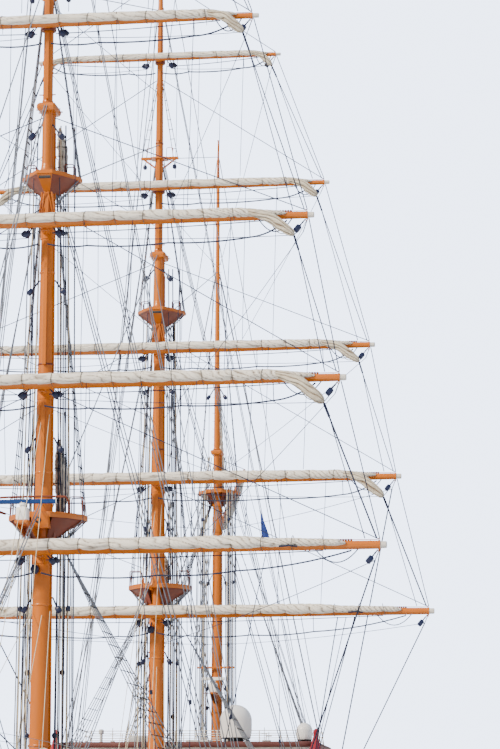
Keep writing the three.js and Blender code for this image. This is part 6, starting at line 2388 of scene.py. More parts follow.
def cowl(form, x, y, foot, height, radius, faces_y=-1):
    """A ventilator with its bent neck and open mouth."""
    bends = ((0, 0), (0, 0.6), (0.5, 0.9), (2, 1))
    path = smooth_path([(x, y + faces_y * radius * out, foot + height * up) for out, up in bends], 5)
    last = len(path) - 1
    mouth = [max(0, (i / last - 0.6) / 0.4) for i in range(last + 1)]
    form.tube(path, [radius * (1 + 0.9 * share**1.5) for share in mouth], 20)


def bollards(form, x, y, z):
    """A pair of mooring bitts on their bed."""
    form.slab((x - 11, y - 34, z), (x + 11, y + 34, z + 5), 1.5)
    for dy in (-20, 20):
        form.lathe((x, y + dy, z + 4), UP, [(8, 0), (8, 30), (10, 32), (10, 37), (7, 39)], 20)


def hatch(form, cover, y0, y1, half, height=34):
    """A cargo hatch: its coaming, cover boards and battens."""
    z = max(main_deck_z(y0), main_deck_z(y1))
    form.slab((-half, y0, z - 12), (half, y1, z + height), 2)
    cover.slab((-half + 5, y0 + 5, z + height), (half - 5, y1 - 5, z + height + 5), 1.5)
    for k in range(7):
        x = mix(-half + 12, half - 12, k / 6)
        cover.slab((x - 3, y0 + 8, z + height + 4), (x + 3, y1 - 8, z + height + 8), 1)


def ladder(form, x, y0, z0, y1, z1, half=44, steps=8):
    """A deck ladder with its treads and handrails."""
    for s in SIDES:
        side = x + s * half
        string = ((y0 - 7, z0), (y0 + 7, z0), (y1 + 7, z1), (y1 - 7, z1))
        form.loft([[Vector((side + d, y, z)) for y, z in string] for d in (-1.5, 1.5)])
        form.tube([(side, y0, z0 + 4), (side, y0, z0 + 92), (side, y1, z1 + 92), (side, y1, z1)], 1.8, 8)
    for k in range(1, steps):
        y, z = mix(y0, y1, k / steps), mix(z0, z1, k / steps)
        form.slab((x - half, y - 9, z - 1.5), (x + half, y + 9, z + 1.5), 0.8)


def deck_gear():
    """Hatches, ladders, bitts, ventilators, capstans, skylights and lockers."""
    white, wood, iron, canvas = Form(), Form(), Form(), Form()
    hatch(white, wood, -2080, -1860, 130)
    hatch(white, wood, -640, -330, 150)
    for s in SIDES:
        z0 = main_deck_z(-2660)
        ladder(white, s * 300, -2610, z0 + 1, -2772, raised_deck_z(FORECASTLE_END - 5))
        ladder(white, s * 330, 430, main_deck_z(430) + 1, 594, raised_deck_z(QUARTERDECK_START + 5))
        for y in (-2300, -1100, 250):
            bollards(iron, s * (side_x(y, main_deck_z(y)) - 50), y, main_deck_z(y))
        for y in (-3150, 760, 3250):
            bollards(iron, s * (side_x(y, raised_deck_z(y)) - 60), y, raised_deck_z(y))
        cowl(white, s * 150, -2980, raised_deck_z(-2980) - 2, 96, 13)
        cowl(white, s * 190, 690, raised_deck_z(690) - 2, 110, 14)
        cowl(white, s * 210, 1660, raised_deck_z(1660) - 2, 110, 14)
        for k in range(4):
            y = 1590 + k * 92 if k < 2 else 2000 + k * 92
            z = raised_deck_z(y)
            x = s * (side_x(y, z) - 46)
            raft = [(17, 0), (19, 3), (19, 36), (20, 38), (19, 40), (19, 73), (17, 76)]
            white.lathe((x, y - 38, z + 30), ALONG, raft, 20)
            for near in (y - 26, y + 20):
                iron.slab((x - 16, near, z), (x + 16, near + 6, z + 20), 1.5)
    wood.slab((-86, 1850, raised_deck_z(1850) - 4), (86, 2030, raised_deck_z(2030) + 44), 3)
    for s in SIDES:
        for k in range(3):
            y = 1866 + k * 54
            x, z = s * 42, raised_deck_z(1900) + 54
            turn = Matrix.Rotation(s * math.radians(28), 3, "Y")
            wood.slab((x - 40, y, z), (x + 40, y + 46, z + 5), 1.5, turn, (x, y, z + 2))
    white.slab((-60, 2420, raised_deck_z(2400) - 4), (60, 2560, raised_deck_z(2560) + 84), 4)
    wood.slab((-26, 2416, raised_deck_z(2400) + 2), (26, 2421, raised_deck_z(2400) + 76), 1)
    for y in (-2930, 2800):
        z = raised_deck_z(y)
        capstan = [(34, 0), (34, 8), (20, 14), (17, 40), (24, 54), (30, 60), (30, 70), (12, 74)]
        iron.lathe((0, y, z - 2), UP, capstan, 28)
    for k in range(5):
        x = -120 + k * 60
        canvas.slab((x - 26, 3300, raised_deck_z(3300) - 2), (x + 26, 3352, raised_deck_z(3300) + 34), 4)
    # The ship's bell in its belfry at the break of the forecastle.
    z = raised_deck_z(FORECASTLE_END) + 2
    wood.slab((-20, -2812, z - 6), (-14, -2800, z + 70), 1.5)
    wood.slab((14, -2812, z - 6), (20, -2800, z + 70), 1.5)
    wood.slab((-26, -2814, z + 68), (26, -2798, z + 76), 2)
    bell = Form()
    profile = [(13, 0), (11, 3), (8, 10), (7, 18), (5, 23), (1.5, 26), (1.5, 30)]
    bell.lathe((0, -2806, z + 40), UP, profile, 28)
    piece("bell", bell, ["bronze"])
    piece("deck_steelwork", white, ["house"])
    piece("deck_joinery", wood, ["teak"])
    piece("deck_ironwork", iron, ["iron"])
    piece("deck_lockers", canvas, ["house"])
    rings = Form()
    spots = [(s * (side_x(y, raised_deck_z(y)) - 4), y) for s in (-1, 1) for y in (760, 1560, 3000, -3050)]
    for x, y in spots:
        centre = Vector((x, y, raised_deck_z(y) + 60))
        loop = [centre + Vector((0, 26 * math.cos(a), 26 * math.sin(a))) for a in circle(24)]
        rings.tube(loop, 6, 12)
    piece("lifebuoys", rings, ["orange"])


def pin_master():
    """A belaying pin 40 mm long."""
    form = Form()
    turned = [(1.2, 0), (1.6, 2), (1.6, 16), (2.6, 18), (2.8, 26), (2.2, 34), (2.8, 37), (1.2, 40)]
    form.lathe((0, 0, -18), UP, turned, 8)
    return form


def fife_rails():
    """Pin rails along the bulwarks and round the masts, with belaying pins and coiled falls."""
    wood, pins, coils = Form(), Fittings(), Lines()
    for mast, (y, _, _) in MASTS.items():
        floor = raised_deck_z(y) if mast == "mizzen" else main_deck_z(y)
        z = floor + 84
        for s in SIDES:
            wood.slab((s * 66 - 8, y - 40, z), (s * 66 + 8, y + 110, z + 7), 1.5)
            for dy in (-30, 100):
                wood.slab((s * 66 - 6, y + dy - 6, floor - 4), (s * 66 + 6, y + dy + 6, z), 1)
            for k in range(6):
                pins.put((s * 66, y - 26 + k * 24, z + 10))
                coil(coils, (s * 76, y - 26 + k * 24, z - 8), 9, 20)
        wood.slab((-74, y + 96, z), (74, y + 112, z + 7), 1.5)
        for k in range(5):
            pins.put((-48 + k * 24, y + 104, z + 10))
        for s in SIDES:
            for k in range(12):
                py = y + 30 + k * 32
                if mast == "mizzen":
                    rz = raised_deck_z(py) + 92
                else:
                    rz = main_deck_z(py) + 96
                rx = side_x(py, main_deck_z(py) + 96) - 26
                pins.put((s * rx, py, rz + 10))
                if k % 2 == 0:
                    coil(coils, (s * (rx - 10), py, rz - 10), 9, 22)
                wood.slab((s * rx - 7, py - 17, rz), (s * rx + 7, py + 17, rz + 6), 1)
    piece("pin_rails", wood, ["teak"])
    pins.made("belaying_pins", pin_master(), "bronze")
    coils.made("coiled_falls", "pale", sides=5)


def coil(lines, at, radius, height):
    """A hank of rope hung on its pin."""
    x, y, z = at
    for turn in range(2):
        wide, middle = 0.8 + 0.1 * turn, z - height * 0.5
        loop = [(y + radius * math.cos(a) * wide, middle + height * math.sin(a)) for a in circle(10)]
        lines.run([(x + turn * 2.2, *p) for p in loop], 2.4)


def deckhouse_details():
    """The deckhouse before the main mast, with its roof, doors and round windows."""
    y0, y1, half, top, port_z = -1700, -880, 230, 512, 440
    form = Form()
    low = min(main_deck_z(y0), main_deck_z(y1))
    form.slab((-half, y0, low - 20), (half, y1, top - 8), 3)
    form.slab((-half - 14, y0 - 14, top - 9), (half + 14, y1 + 14, top), 3)
    form.finish = 1
    form.slab((-half - 6, y0 - 6, top - 1), (half + 6, y1 + 6, top + 0.6), 0.3)
    form.finish = 3
    for s in SIDES:
        for y in (y0 + 130, y0 + 400, y1 - 130):
            z = main_deck_z(y)
            form.slab((s * half - 2.5, y - 26, z + 14), (s * half + 2.5, y + 26, z + 190), 1.5)
        ports = (y0 + 60, y0 + 220, y0 + 300, y0 + 500, y0 + 580, y1 - 60)
        form.finish = 2
        for y in ports:
            form.lathe((s * (half + 0.5), y, port_z), (s, 0, 0), [(13, -1), (13, 1.2), (10, 1.6)], 20)
        form.finish = 3
        for y in ports:
            ring = [(s * (half + 1.5), y + 14 * math.cos(a), port_z + 14 * math.sin(a)) for a in circle(20)]
            form.tube(ring, 2, 8)
    coats = ["house", "deck", "glass", "teak"]
    piece("fore_deckhouse", form, coats, replaces=["deckhouse_fore"])


def window_row(glass, frames, centre, along, out, count, width, height, gap):
    """A row of windows with frames, along a wall."""
    along, out, centre, up = Vector(along), Vector(out), Vector(centre), Vector(UP)
    bar = 3
    across, rise = along * (width / 2), up * (height / 2)
    parts = [(glass, width, height, Vector(), 0.8)]
    parts += [(frames, width, bar, offset, 2.4) for offset in (rise, -rise)]
    parts += [(frames, bar, height, offset, 2.4) for offset in (across, -across)]
    for k in range(count):
        middle = centre + along * ((k - (count - 1) / 2) * (width + gap))
        for form, w, h, offset, proud in parts:
            a, half_w, half_h = middle + offset, along * (w / 2), up * (h / 2)
            corners = [a - half_w - half_h, a + half_w - half_h, a + half_w + half_h, a - half_w + half_h]
            form.loft([[p + out * d for p in corners] for d in (-1, proud)])


class OBJECT_OT_tall_ship_bridge(bpy.types.Operator):
    """Make the bridge house with its windows, the burgundy bridge top and the aerial domes"""

    bl_idname = "object.tall_ship_bridge"
    bl_label = "Bridge"

    def execute(self, context):
        y0, y1, half, floor, wall = 860, 1460, 440, BRIDGE_FLOOR, BRIDGE_WALL
        form, glass, frames = Form(), Form(), Form()
        form.slab((-half, y0, 420), (half, y1, floor), 3)
        form.slab((-420, 900, floor - 1), (420, 1400, wall), 3)
        form.slab((-572, y0 - 20, floor - 9), (572, y1 - 120, floor), 2)
        for s in SIDES:
            for y in (y0 - 8, y1 - 132):
                form.slab((s * 566 - 6, y - 6, 440), (s * 566 + 6, y + 6, wall), 1.5)
            for y in (1000, 1130, 1260):
                form.slab((s * 563 - 3, y - 3, floor), (s * 563 + 3, y + 3, wall), 1)
            form.slab((s * 568 - 2, y0 - 18, floor), (s * 568 + 2, y1 - 122, floor + 92), 1)
            near, far = sorted((s * 420, s * 570))
            form.slab((near, y0 - 20, floor), (far, y0 - 16, floor + 92), 1)
        upper, lower, ahead = floor + 118, 575, (0, -1, 0)
        window_row(glass, frames, (0, 900, upper), ACROSS, ahead, 12, 58, 78, 9)
        window_row(glass, frames, (0, 1400, upper), ACROSS, ALONG, 7, 60, 70, 40)
        for s in SIDES:
            window_row(glass, frames, (s * 420, 1150, upper), ALONG, (s, 0, 0), 6, 56, 78, 12)
            window_row(glass, frames, (s * half, 1160, lower), ALONG, (s, 0, 0), 6, 40, 40, 44)
        window_row(glass, frames, (0, y0, lower), ACROSS, ahead, 8, 44, 40, 44)
        window_row(glass, frames, (0, y1, lower), ACROSS, ALONG, 6, 44, 40, 60)
        piece("bridge_house_walls", form, ["house"], replaces=["bridge_house"])
        piece("bridge_windows", glass, ["glass"])
        piece("bridge_window_frames", frames, ["teak"])
        bridge_top()
        domes()
        covered_lamps()
        return {"FINISHED"}


def rounded_outline(x0, x1, y0, y1, corner, inset=0.0, steps=8):
    """A rectangle whose corners are rounded."""
    x0, x1, y0, y1 = x0 + inset, x1 - inset, y0 + inset, y1 - inset
    corner = max(corner - inset, 1)
    left, right, fore, aft = x0 + corner, x1 - corner, y0 + corner, y1 - corner
    spots = []
    for cx, cy, start in ((right, aft, 0), (left, aft, 90), (left, fore, 180), (right, fore, 270)):
        for k in range(steps + 1):
            a = math.radians(start + 90 * k / steps)
            spots.append((cx + corner * math.cos(a), cy + corner * math.sin(a)))
    return spots


def bridge_top():
    """The bridge top: a stout burgundy slab with a rounded edge and a grey gutter beneath."""
    form = Form()
    low, high = BRIDGE_WALL + 0.3, BRIDGE_TOP
    rings = [(low, 8), (low + 2, 3), (low + 6, 0), (high - 7, 0), (high - 3, 2), (high, 7)]
    form.loft([flat_ring(rounded_outline(-600, 600, 814, 1506, 60, inset), 0, z) for z, inset in rings])
    form.finish = 1
    form.plate(rounded_outline(-588, 588, 826, 1494, 52), low - 2.3, low + 0.7)
    piece("bridge_top", form, ["roof", "grey"], replaces=["bridge_roof"], crease=40)
    lines = Lines()
    lines.run([(x, y, high) for x, y in rounded_outline(-560, 560, 1230, 1480, 40)], 4)
    lines.railing("bridge_top_railing", "house", {"Step": 100 * MM, "Height": 70 * MM})


def dome(form, x, y, z, radius, foot):
    """A radome: flanks that widen upwards, a round crown, a seam and a dark base ring on its feet."""
    form.finish = 0
    profile = [(radius * 0.9, foot), (radius * 0.93, foot + 1.5)]
    profile += [(radius, foot + radius * 0.45), (radius, foot + radius * 1.08)]
    for i in range(1, 17):
        a = i / 16 * math.pi / 2
        profile.append((radius * math.cos(a), foot + radius * (1.08 + math.sin(a))))
    form.lathe((x, y, z), UP, profile, 56)
    seam = [(radius - 1, 0), (radius + 0.5, 0.4), (radius + 0.5, 1.6), (radius - 1, 2)]
    form.lathe((x, y, z + foot + radius * 0.5), UP, seam, 56)
    form.finish = 1
    base = [(radius * share, h) for share, h in ((0.84, 0), (0.92, 1), (0.92, 4), (0.86, 5))]
    form.lathe((x, y, z + foot - 4), UP, base, 40)
    form.lathe((x, y, z), UP, [(radius * 0.5, 0), (radius * 0.5, foot - 3)], 24)
    for k in range(8):
        a = 2 * math.pi * (k + 0.5) / 8
        cx, cy = x + radius * 0.76 * math.cos(a), y + radius * 0.76 * math.sin(a)
        form.slab((cx - 3.5, cy - 3.5, z), (cx + 3.5, cy + 3.5, z + foot - 2), 0.8)


def domes():
    """The two aerial domes on the bridge top, and the aerials, lamp and lockers beside them."""
    for name, x, radius, foot in (("large", 218, 73, 18), ("small", 534, 37, 10)):
        form = Form()
        dome(form, x, 900, BRIDGE_TOP + 0.3, radius, foot)
        piece(f"aerial_dome_{name}", form, ["dome", "iron"], replaces=[f"radome_{name}"])
    form = Form()
    for x, y, height in ((352, 880, 66), (366, 930, 48), (-352, 880, 66)):
        form.tube([(x, y, BRIDGE_TOP - 1), (x, y, BRIDGE_TOP + height)], 1.6, 8)
        z = BRIDGE_TOP + height * 0.55
        form.slab((x - 14, y - 2, z), (x + 14, y + 2, z + 4), 1)
        form.slab((x - 9, y - 9, BRIDGE_TOP - 1), (x + 9, y + 9, BRIDGE_TOP + 9), 2)
    form.slab((-300, 1000, BRIDGE_TOP - 1), (-170, 1080, BRIDGE_TOP + 34), 3)
    form.slab((-60, 1180, BRIDGE_TOP - 1), (60, 1240, BRIDGE_TOP + 26), 3)
    column = [(16, 0), (16, 3), (7, 6), (7, 44), (12, 48), (13, 62), (8, 68)]
    form.lathe((-430, 1010, BRIDGE_TOP - 1), UP, column, 20)
    piece("bridge_top_fittings", form, ["grey"])


def covered_lamps():
    """The lamp ahead of each bridge wing, under a crimson cover tied in below the lamp's ball."""
    for s, side in SIDE_NAMES:
        foot = Vector((s * 598, 792, BRIDGE_FLOOR - 4))
        stand = Form()
        stand.slab((foot.x - 7, foot.y - 7, foot.z - 4), (foot.x + 7, 846, foot.z + 4), 1.5)
        stand.slab((min(foot.x, s * 566), 838, foot.z - 4), (max(foot.x, s * 566), 846, foot.z + 4), 1.5)
        stand.lathe(foot, UP, [(13, 3), (13, 7), (6, 10), (6, 190)], 20)
        piece(f"wing_lamp_stand_{side}", stand, ["grey"])
        cover = Form()
        heights = [150, 156, 176, 200, 222, 238, 246, 252, 261, 270, 276, 279]
        radii = [24, 27, 25.5, 21, 15.5, 11.5, 9.6, 11, 13.2, 11.5, 6.5, 1.5]
        rings = []
        for height, radius in zip(heights, radii):
            ring = []
            for i in range(40):
                a = 2 * math.pi * i / 40
                fold = math.sin(a * 5 + height * 0.035) + 0.5 * math.sin(a * 8 - height * 0.06)
                loose = through([(150, 0.13), (238, 0.1), (256, 0.03), (279, 0.0)], height)
                lean = (250 - height) * 0.07 if height < 250 else 0
                r = radius * (1 + loose * fold)
                ring.append(foot + Vector((r * math.cos(a) - lean, r * math.sin(a), height)))
            rings.append(ring)
        cover.loft(rings)
        made = piece(f"wing_lamp_cover_{side}", cover, ["crimson"], crease=60)


class OBJECT_OT_tall_ship_boats(bpy.types.Operator):
    """Make the covered boats under their davits"""

    bl_idname = "object.tall_ship_boats"
    bl_label = "Boats"

    def execute(self, context):
        for s, side in SIDE_NAMES:
            form = Form()
            rings, cover = [], []
            count = 40
            for i in range(count + 1):
                t = i / count * 2 - 1
                half = 4 + 88 * math.sqrt(max(1 - t * t, 0))
                keel = BOAT_KEEL + 34 * t**4
                rail = BOAT_KEEL + 105 + 18 * t * t
                y = BOAT_Y + t * 300
                hull_side = [(0.12, 0), (0.42, 0.06), (0.72, 0.2), (0.88, 0.38), (0.97, 0.6), (1, 0.93)]
                side_points = [(x * half, keel + (rail - keel) * z) for x, z in hull_side]
                rings.append(mirrored(side_points, y, s * BOAT_X))
                crown = [(1.005, 0.90), (1.01, 0.95), (0.86, 1.03), (0.55, 1.09), (0.2, 1.13)]
                sag = 0.016 * math.cos(t * 28)
                spots = [(x * half, keel + (rail - keel) * (z + (sag if x < 0.9 else 0))) for x, z in crown]
                cover.append(mirrored(spots, y, s * BOAT_X))
            form.loft(rings)
            form.finish = 1
            form.loft(cover)
            form.finish = 2
            for edge in (-1, 1):
                path = []
                for t in (i / 20 * 2 - 1 for i in range(21)):
                    out = edge * (6 + 87 * math.sqrt(max(1 - t * t, 0)))
                    path.append((s * BOAT_X + out, BOAT_Y + t * 299, BOAT_KEEL + 98 + 17 * t * t))
                form.tube(path, 3, 8)
            coats = ["house", "boat_cover", "teak"]
            piece(f"boat_{side}_covered", form, coats, replaces=[f"boat_{side}"])
            coat_node(f"davits_{side}", "house")
            falls = Lines()
            for dy in (-170, 170):
                for k in (-6, 6):
                    falls.run([(s * (BOAT_X + k), BOAT_Y + dy, z) for z in (716, 690)], 2.4)
            falls.made(f"boat_falls_{side}", "pale")
        return {"FINISHED"}


class OBJECT_OT_tall_ship_head(bpy.types.Operator):
    """Make the bowsprit with its nets, the windlass, the anchors and their cables"""

    bl_idname = "object.tall_ship_head"
    bl_label = "Bowsprit and ground tackle"

    def execute(self, context):
        (y0, z0), (y1, z1), r0, r1 = BOWSPRIT
        form = Form()
        run = Vector((0, y1 - y0, z1 - z0))
        length = run.length
        cap = [(r1 + 1, length - 20), (r1 + 2, length - 18), (r1 + 2, length - 6), (r1 * 0.6, length)]
        form.lathe((0, y0, z0), run, [(r0, 0), *cap], 32)
        form.slab((-26, y0 - 120, 560), (26, y0 + 8, z0 - 6), 3)
        form.slab((-16, -4150, 600), (16, -4110, bowsprit_z(-4130)), 2)
        form.tube([(0, -4620, bowsprit_z(-4620)), (0, -4600, bowsprit_z(-4620) - 190)], [9, 6], 16)
        for share in (0.25, 0.45, 0.66, 0.86):
            r = mix(r0, r1, share)
            form.finish = 1
            form.lathe(Vector((0, y0, z0)) + run * share, run, band_profile(r, 10), 32)
        piece("bowsprit_spar", form, ["mast", "band"], replaces=["bowsprit"])
        net = Lines()
        for s in SIDES:
            edge = []
            for k in range(25):
                y = mix(-4100, -4900, k / 24)
                z = bowsprit_z(y) - 8 - 20 * math.sin(math.pi * k / 24)
                edge.append(Vector((s * mix(150, 26, k / 24), y, z)))
            net.run(edge, 2.6)
            for k in range(24):
                pair = [(p, Vector((0, p.y, bowsprit_z(p.y) - 20))) for p in edge[k : k + 2]]
                net.run([pair[0][1], pair[0][0]], 1.3)
                net.run([mix(inner, outer, 0.5) for outer, inner in pair], 1.1)
        net.made("bowsprit_net", "tarred", sides=5)
        for node in ("windlass", "anchor_port", "anchor_starboard"):
            coat_node(node, "iron")
        cables = Lines()
        for s in SIDES:
            deck = raised_deck_z(-3500)
            spots = ((94, -3390, 66), (100, -3450, 12), (120, -3560, 8), (150, -3640, 5))
            cables.run(smooth_path([(s * x, y, deck + up) for x, y, up in spots], 6), 7)
        cables.made("anchor_cables", "wire", slot="iron", sides=8)
        return {"FINISHED"}


class OBJECT_OT_tall_ship_steering(bpy.types.Operator):
    """Make the wheel, its box, the binnacle, the rudder and the screw"""

    bl_idname = "object.tall_ship_steering"
    bl_label = "Steering gear"

    def execute(self, context):
        y, z, radius = 3060, 640, 62
        form = Form()
        rim = [(radius * math.cos(a), y, z + radius * math.sin(a)) for a in circle(48)]
        form.tube(rim, 5, 14)
        form.lathe((0, y - 13, z), ALONG, [(8, 0), (13, 2), (13, 20), (8, 22)], 28)
        spoke = [(3.4, 6), (3.4, 20), (2.4, 24), (3.6, 40), (2.6, 56), (3, 66), (3.6, 72), (2.2, 78)]
        for a in circle(8)[:-1]:
            form.lathe((0, y, z), (math.cos(a), 0, math.sin(a)), spoke, 12)
        form.finish = 1
        form.tube([(p[0] * 0.94, y - 5, z + (p[2] - z) * 0.94) for p in rim], 1.2, 8)
        form.lathe((0, y - 14, z), ALONG, [(5, 0), (7, 2), (7, 4)], 20)
        piece("steering_wheel", form, ["teak", "bronze"], "helm_wheel", ["helm_wheel"])
        form = Form()
        form.slab((-38, y + 9.5, raised_deck_z(y) - 6), (38, y + 96, z + 20), 4)
        form.slab((-41, y + 8, z + 18), (41, y + 98, z + 26), 3)
        for s in SIDES:
            form.slab((s * 38 - 1.5, y + 22, z - 96), (s * 38 + 1.5, y + 84, z + 6), 1)
        form.finish = 1
        binnacle = [(22, 0), (20, 6), (15, 20), (15, 84), (22, 92), (22, 104), (16, 116), (2, 124)]
        form.lathe((0, y - 120, raised_deck_z(y - 120) - 2), UP, binnacle, 28)
        piece("steering_box_joinery", form, ["teak", "bronze"], replaces=["steering_box"])
        coat_node("propeller", "bronze")
        coat_node("rudder", "topside")
        return {"FINISHED"}


class OBJECT_OT_tall_ship_radars(bpy.types.Operator):
    """Make the radar stands and their turning scanners"""

    bl_idname = "object.tall_ship_radars"
    bl_label = "Radars"

    def execute(self, context):
        scanner("radar_fore", *FORE_RADAR, 118, "scanner")
        scanner("radar_mizzen", *MIZZEN_RADAR, 56, "dome")
        fore, mizzen = Form(), Form()
        stand(fore, *FORE_RADAR, 46, FORE_Y - 30)
        stand(mizzen, *MIZZEN_RADAR, 26, MIZZEN_Y - 26)
        # The guard tube runs over the fore scanner and comes down to the top's rim on both sides.
        y, z = FORE_RADAR[1], FORE_RADAR[2] + 26
        fore.finish = 2
        guard = [
            (-126, y + 140, TOP_Z + 8), (-176, y + 50, z - 32), (-172, y + 24, z - 6),
            (-120, y + 22, z - 1), (-34, y + 20, z + 1), (90, y + 22, z), (111, y + 26, z - 4),
            (116, y + 50, z - 24), (98, y + 130, TOP_Z + 8),
        ]
        fore.tube(smooth_path(guard, 6), 3.8, 10)
        coats = ["mast", "dome", "band"]
        piece("radar_fore_stand", fore, coats)
        # A dark lattice bracket carries the mizzen's arm.
        _, y, z = MIZZEN_RADAR
        mizzen.finish = 2
        lattice = ((-10, -70, 96, -150), (-10, -70, 40, -96), (40, -68, 96, -104), (40, -68, 40, -98))
        for s in SIDES:
            for y0, z0, y1, z1 in lattice:
                mizzen.tube([(s * 10, y + y0, z + z0), (s * 10, y + y1, z + z1)], 2.6, 8)
        mizzen.tube([(-50, y + 8, z - 62), (50, y + 8, z - 62)], 2.2, 8)
        piece("radar_mizzen_stand", mizzen, coats)
        return {"FINISHED"}


def scanner(node, x, y, z, half, look):
    """A turning scanner bar with its end caps, on its boss."""
    form = Form()
    section = ((-6, 2), (-4, 0), (6, 0), (8, 2), (8, 13), (5, 15), (-3, 15), (-6, 13))
    ends = ((-1, 0), (-1, 2), (1, 2), (1, 0))
    form.loft(
        [[Vector((x + s * (half - inset), y + dy, z + dz)) for dy, dz in section] for s, inset in ends]
    )
    form.finish = 1
    form.lathe((x, y, z - 6), UP, [(12, 0), (12, 7), (9, 9)], 24)
    for s in SIDES:
        near, far = sorted((x + s * (half - 4), x + s * half))
        form.slab((near, y - 6.5, z - 0.5), (far, y + 8.5, z + 15.5), 1.5)
    piece(f"{node}_scanner", form, [look, "dome"], node, [node])


def stand(form, x, y, z, width, back):
    """The arm that carries a scanner ahead of a mast, with its pedestal."""
    form.finish = 0
    form.slab((x - width / 2, y - 26, z - 68), (x + width / 2, back, z - 58), 2)
    for s in SIDES:
        side = x + s * (width / 2 - 3)
        web = ((y - 20, z - 67), (back, z - 67), (back, z - 106))
        form.loft([[Vector((side + d, *p)) for p in web] for d in (-1.5, 1.5)])
    form.finish = 1
    form.slab((x - 20, y - 20, z - 59), (x + 20, y + 20, z - 13), 5)
    form.lathe((x, y, z - 15), UP, [(13, 0), (11, 3), (9, 8.4)], 24)


def pennant():
    """A small navy pennant that hangs limp from the main mast's after backstay."""
    y = MAIN_Y
    top = Vector((11, y - HEAD_AHEAD + 7, 4080))
    foot = chainplate(1, y + 1000)
    run = (foot - top).normalized()
    peak = mix(top, foot, (top.z - 1900) / (top.z - foot.z))
    length, width, thick, steps = 132.0, 46.0, 0.7, 16
    across = Vector((0.86, -0.5, -0.05)).normalized()
    out = across.cross(run).normalized()
    rings = []
    for i in range(steps + 1):
        share = i / steps
        half = width / 2 * max(share, 0.03)
        middle = peak + run * length * share + across * 3
        line = []
        for k in range(9):
            side = k / 4 - 1
            wave = 2.2 * share * math.sin(side * 4.2 + share * 5)
            line.append(middle + across * half * side + out * wave)
        rings.append([p - out * thick / 2 for p in line] + [p + out * thick / 2 for p in reversed(line)])
    form = Form()
    form.loft(rings)
    form.finish = 1
    for share in (0.04, 0.5, 0.96):
        form.lathe(mix(peak, peak + run * length, share) - run * 1.5, run, [(2.6, 0), (2.6, 3)], 8)
    made = piece("signal_pennant", form, ["bunting", "tarred"], crease=60)


def studio_air():
    """The air round the ship: nearly white where it is looked at; its light is cool above and dim below."""
    world = bpy.data.worlds.new("studio_air")
    world.use_nodes = True
    tree = world.node_tree
    tree.nodes.clear()
    way = add_node(tree, "ShaderNodeTexCoord")
    parts = add_node(tree, "ShaderNodeSeparateXYZ", {"Vector": way.outputs["Generated"]})
    height = add_node(
        tree, "ShaderNodeMapRange", {"Value": parts.outputs["Z"], "From Min": -0.5, "From Max": 0.5}
    )
    shade = add_node(
        tree,
        "ShaderNodeValToRGB",
        {"Fac": height},
        stops=[(0.0, linear("#7C726A")), (0.45, linear("#A0A1A6")), (1.0, linear("#DDE7F5"))],
    )
    lit = add_node(tree, "ShaderNodeBackground", {"Color": shade, "Strength": 1.0})
    seen = add_node(tree, "ShaderNodeBackground", {"Color": (*linear("#D8E5FF"), 1), "Strength": 5.4})
    ray = add_node(tree, "ShaderNodeLightPath")
    both = add_node(tree, "ShaderNodeMixShader", {0: ray.outputs["Is Camera Ray"], 1: lit, 2: seen})
    add_node(tree, "ShaderNodeOutputWorld", {"Surface": both})
    return world


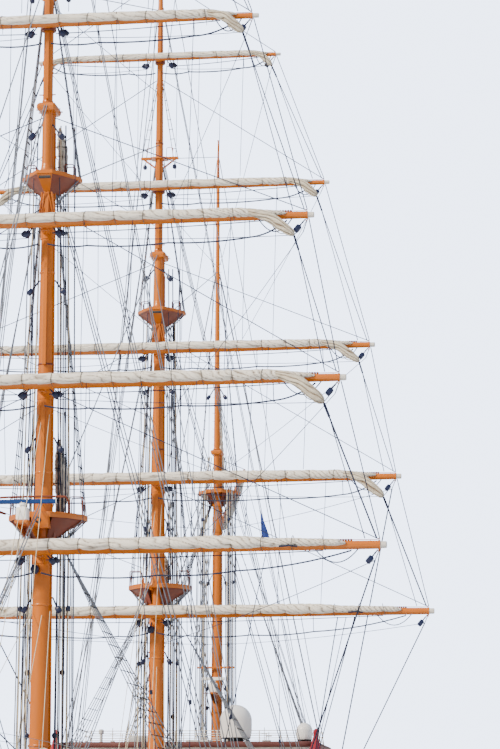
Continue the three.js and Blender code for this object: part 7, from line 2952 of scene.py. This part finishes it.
class OBJECT_OT_tall_ship_stage(bpy.types.Operator):
    """Make the pale floor at the waterline, the soft lights and the camera"""

    bl_idname = "object.tall_ship_stage"
    bl_label = "Floor, lights and camera"

    def execute(self, context):
        scene = context.scene
        mesh = bpy.data.meshes.new("studio_floor")
        reach = 60.0
        corners = [(x * reach, y * reach, 0) for x, y in ((-1, -1), (1, -1), (1, 1), (-1, 1))]
        mesh.from_pydata(corners, [], [(0, 1, 2, 3)])
        mesh.materials.append(finish("floor"))
        floor = bpy.data.objects.new("studio_floor", mesh)
        scene.collection.objects.link(floor)
        scene.world = studio_air()
        key = bpy.data.lights.new("key", "SUN")
        key.energy = 7.0
        key.angle = math.radians(9)
        key.color = linear("#FFEED6")
        lamp = bpy.data.objects.new("key", key)
        lamp.rotation_euler = Vector((0.66, 0.60, -0.62)).to_track_quat("-Z", "Y").to_euler()
        scene.collection.objects.link(lamp)
        camera = bpy.data.cameras.new("camera")
        camera.lens = 130.2
        camera.sensor_width = 36
        camera.clip_end = 300
        holder = bpy.data.objects.new("camera", camera)
        pitch, yaw, roll = math.radians(10.43), math.radians(-7.735), math.radians(0.155)
        level = math.cos(pitch)
        forward = Vector((math.sin(yaw) * level, math.cos(yaw) * level, math.sin(pitch)))
        right = Vector((math.cos(yaw), -math.sin(yaw), 0))
        up = right.cross(forward)
        turn, lean = math.cos(roll), math.sin(roll)
        right, up = right * turn + up * lean, up * turn - right * lean
        turned = Matrix((right, up, -forward)).transposed().to_4x4()
        holder.matrix_world = Matrix.Translation((1.960, -11.479, 0.28)) @ turned
        scene.collection.objects.link(holder)
        scene.camera = holder
        return {"FINISHED"}


PIECE_OPERATORS = (
    OBJECT_OT_tall_ship_hull, OBJECT_OT_tall_ship_decks, OBJECT_OT_tall_ship_bridge,
    OBJECT_OT_tall_ship_boats, OBJECT_OT_tall_ship_head, OBJECT_OT_tall_ship_steering,
    OBJECT_OT_tall_ship_masts, OBJECT_OT_tall_ship_yards, OBJECT_OT_tall_ship_square_sails,
    OBJECT_OT_tall_ship_yard_gear, OBJECT_OT_tall_ship_standing_rigging,
    OBJECT_OT_tall_ship_running_rigging, OBJECT_OT_tall_ship_fore_and_aft_sails,
    OBJECT_OT_tall_ship_spanker_spars, OBJECT_OT_tall_ship_radars, OBJECT_OT_tall_ship_stage,
)


class VIEW3D_PT_tall_ship(bpy.types.Panel):
    """Lists the ship's pieces, sizes and colours"""

    bl_label = "Tall ship"
    bl_idname = "VIEW3D_PT_tall_ship"
    bl_space_type = "VIEW_3D"
    bl_region_type = "UI"
    bl_category = "Tall ship"

    def draw(self, context):
        for group in (context.scene.tall_ship_paints, context.scene.tall_ship_sizes):
            column = self.layout.column()
            for key in group.__annotations__:
                column.prop(group, key)
        for operator in PIECE_OPERATORS:
            self.layout.operator(operator.bl_idname)


CLASSES = (TallShipPaints, TallShipSizes, *PIECE_OPERATORS, VIEW3D_PT_tall_ship)


def register():
    """Registers the classes and the scene's own values."""
    for each in CLASSES:
        bpy.utils.register_class(each)
    bpy.types.Scene.tall_ship_paints = bpy.props.PointerProperty(type=TallShipPaints)
    bpy.types.Scene.tall_ship_sizes = bpy.props.PointerProperty(type=TallShipSizes)


def unregister():
    """Takes the classes and the scene's own values away again."""
    del bpy.types.Scene.tall_ship_sizes
    del bpy.types.Scene.tall_ship_paints
    for each in reversed(CLASSES):
        bpy.utils.unregister_class(each)


def main():
    """Makes every piece in order."""
    register()
    for operator in PIECE_OPERATORS:
        group, name = operator.bl_idname.split(".")
        getattr(getattr(bpy.ops, group), name)()
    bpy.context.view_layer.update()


if __name__ == "__main__":
    main()
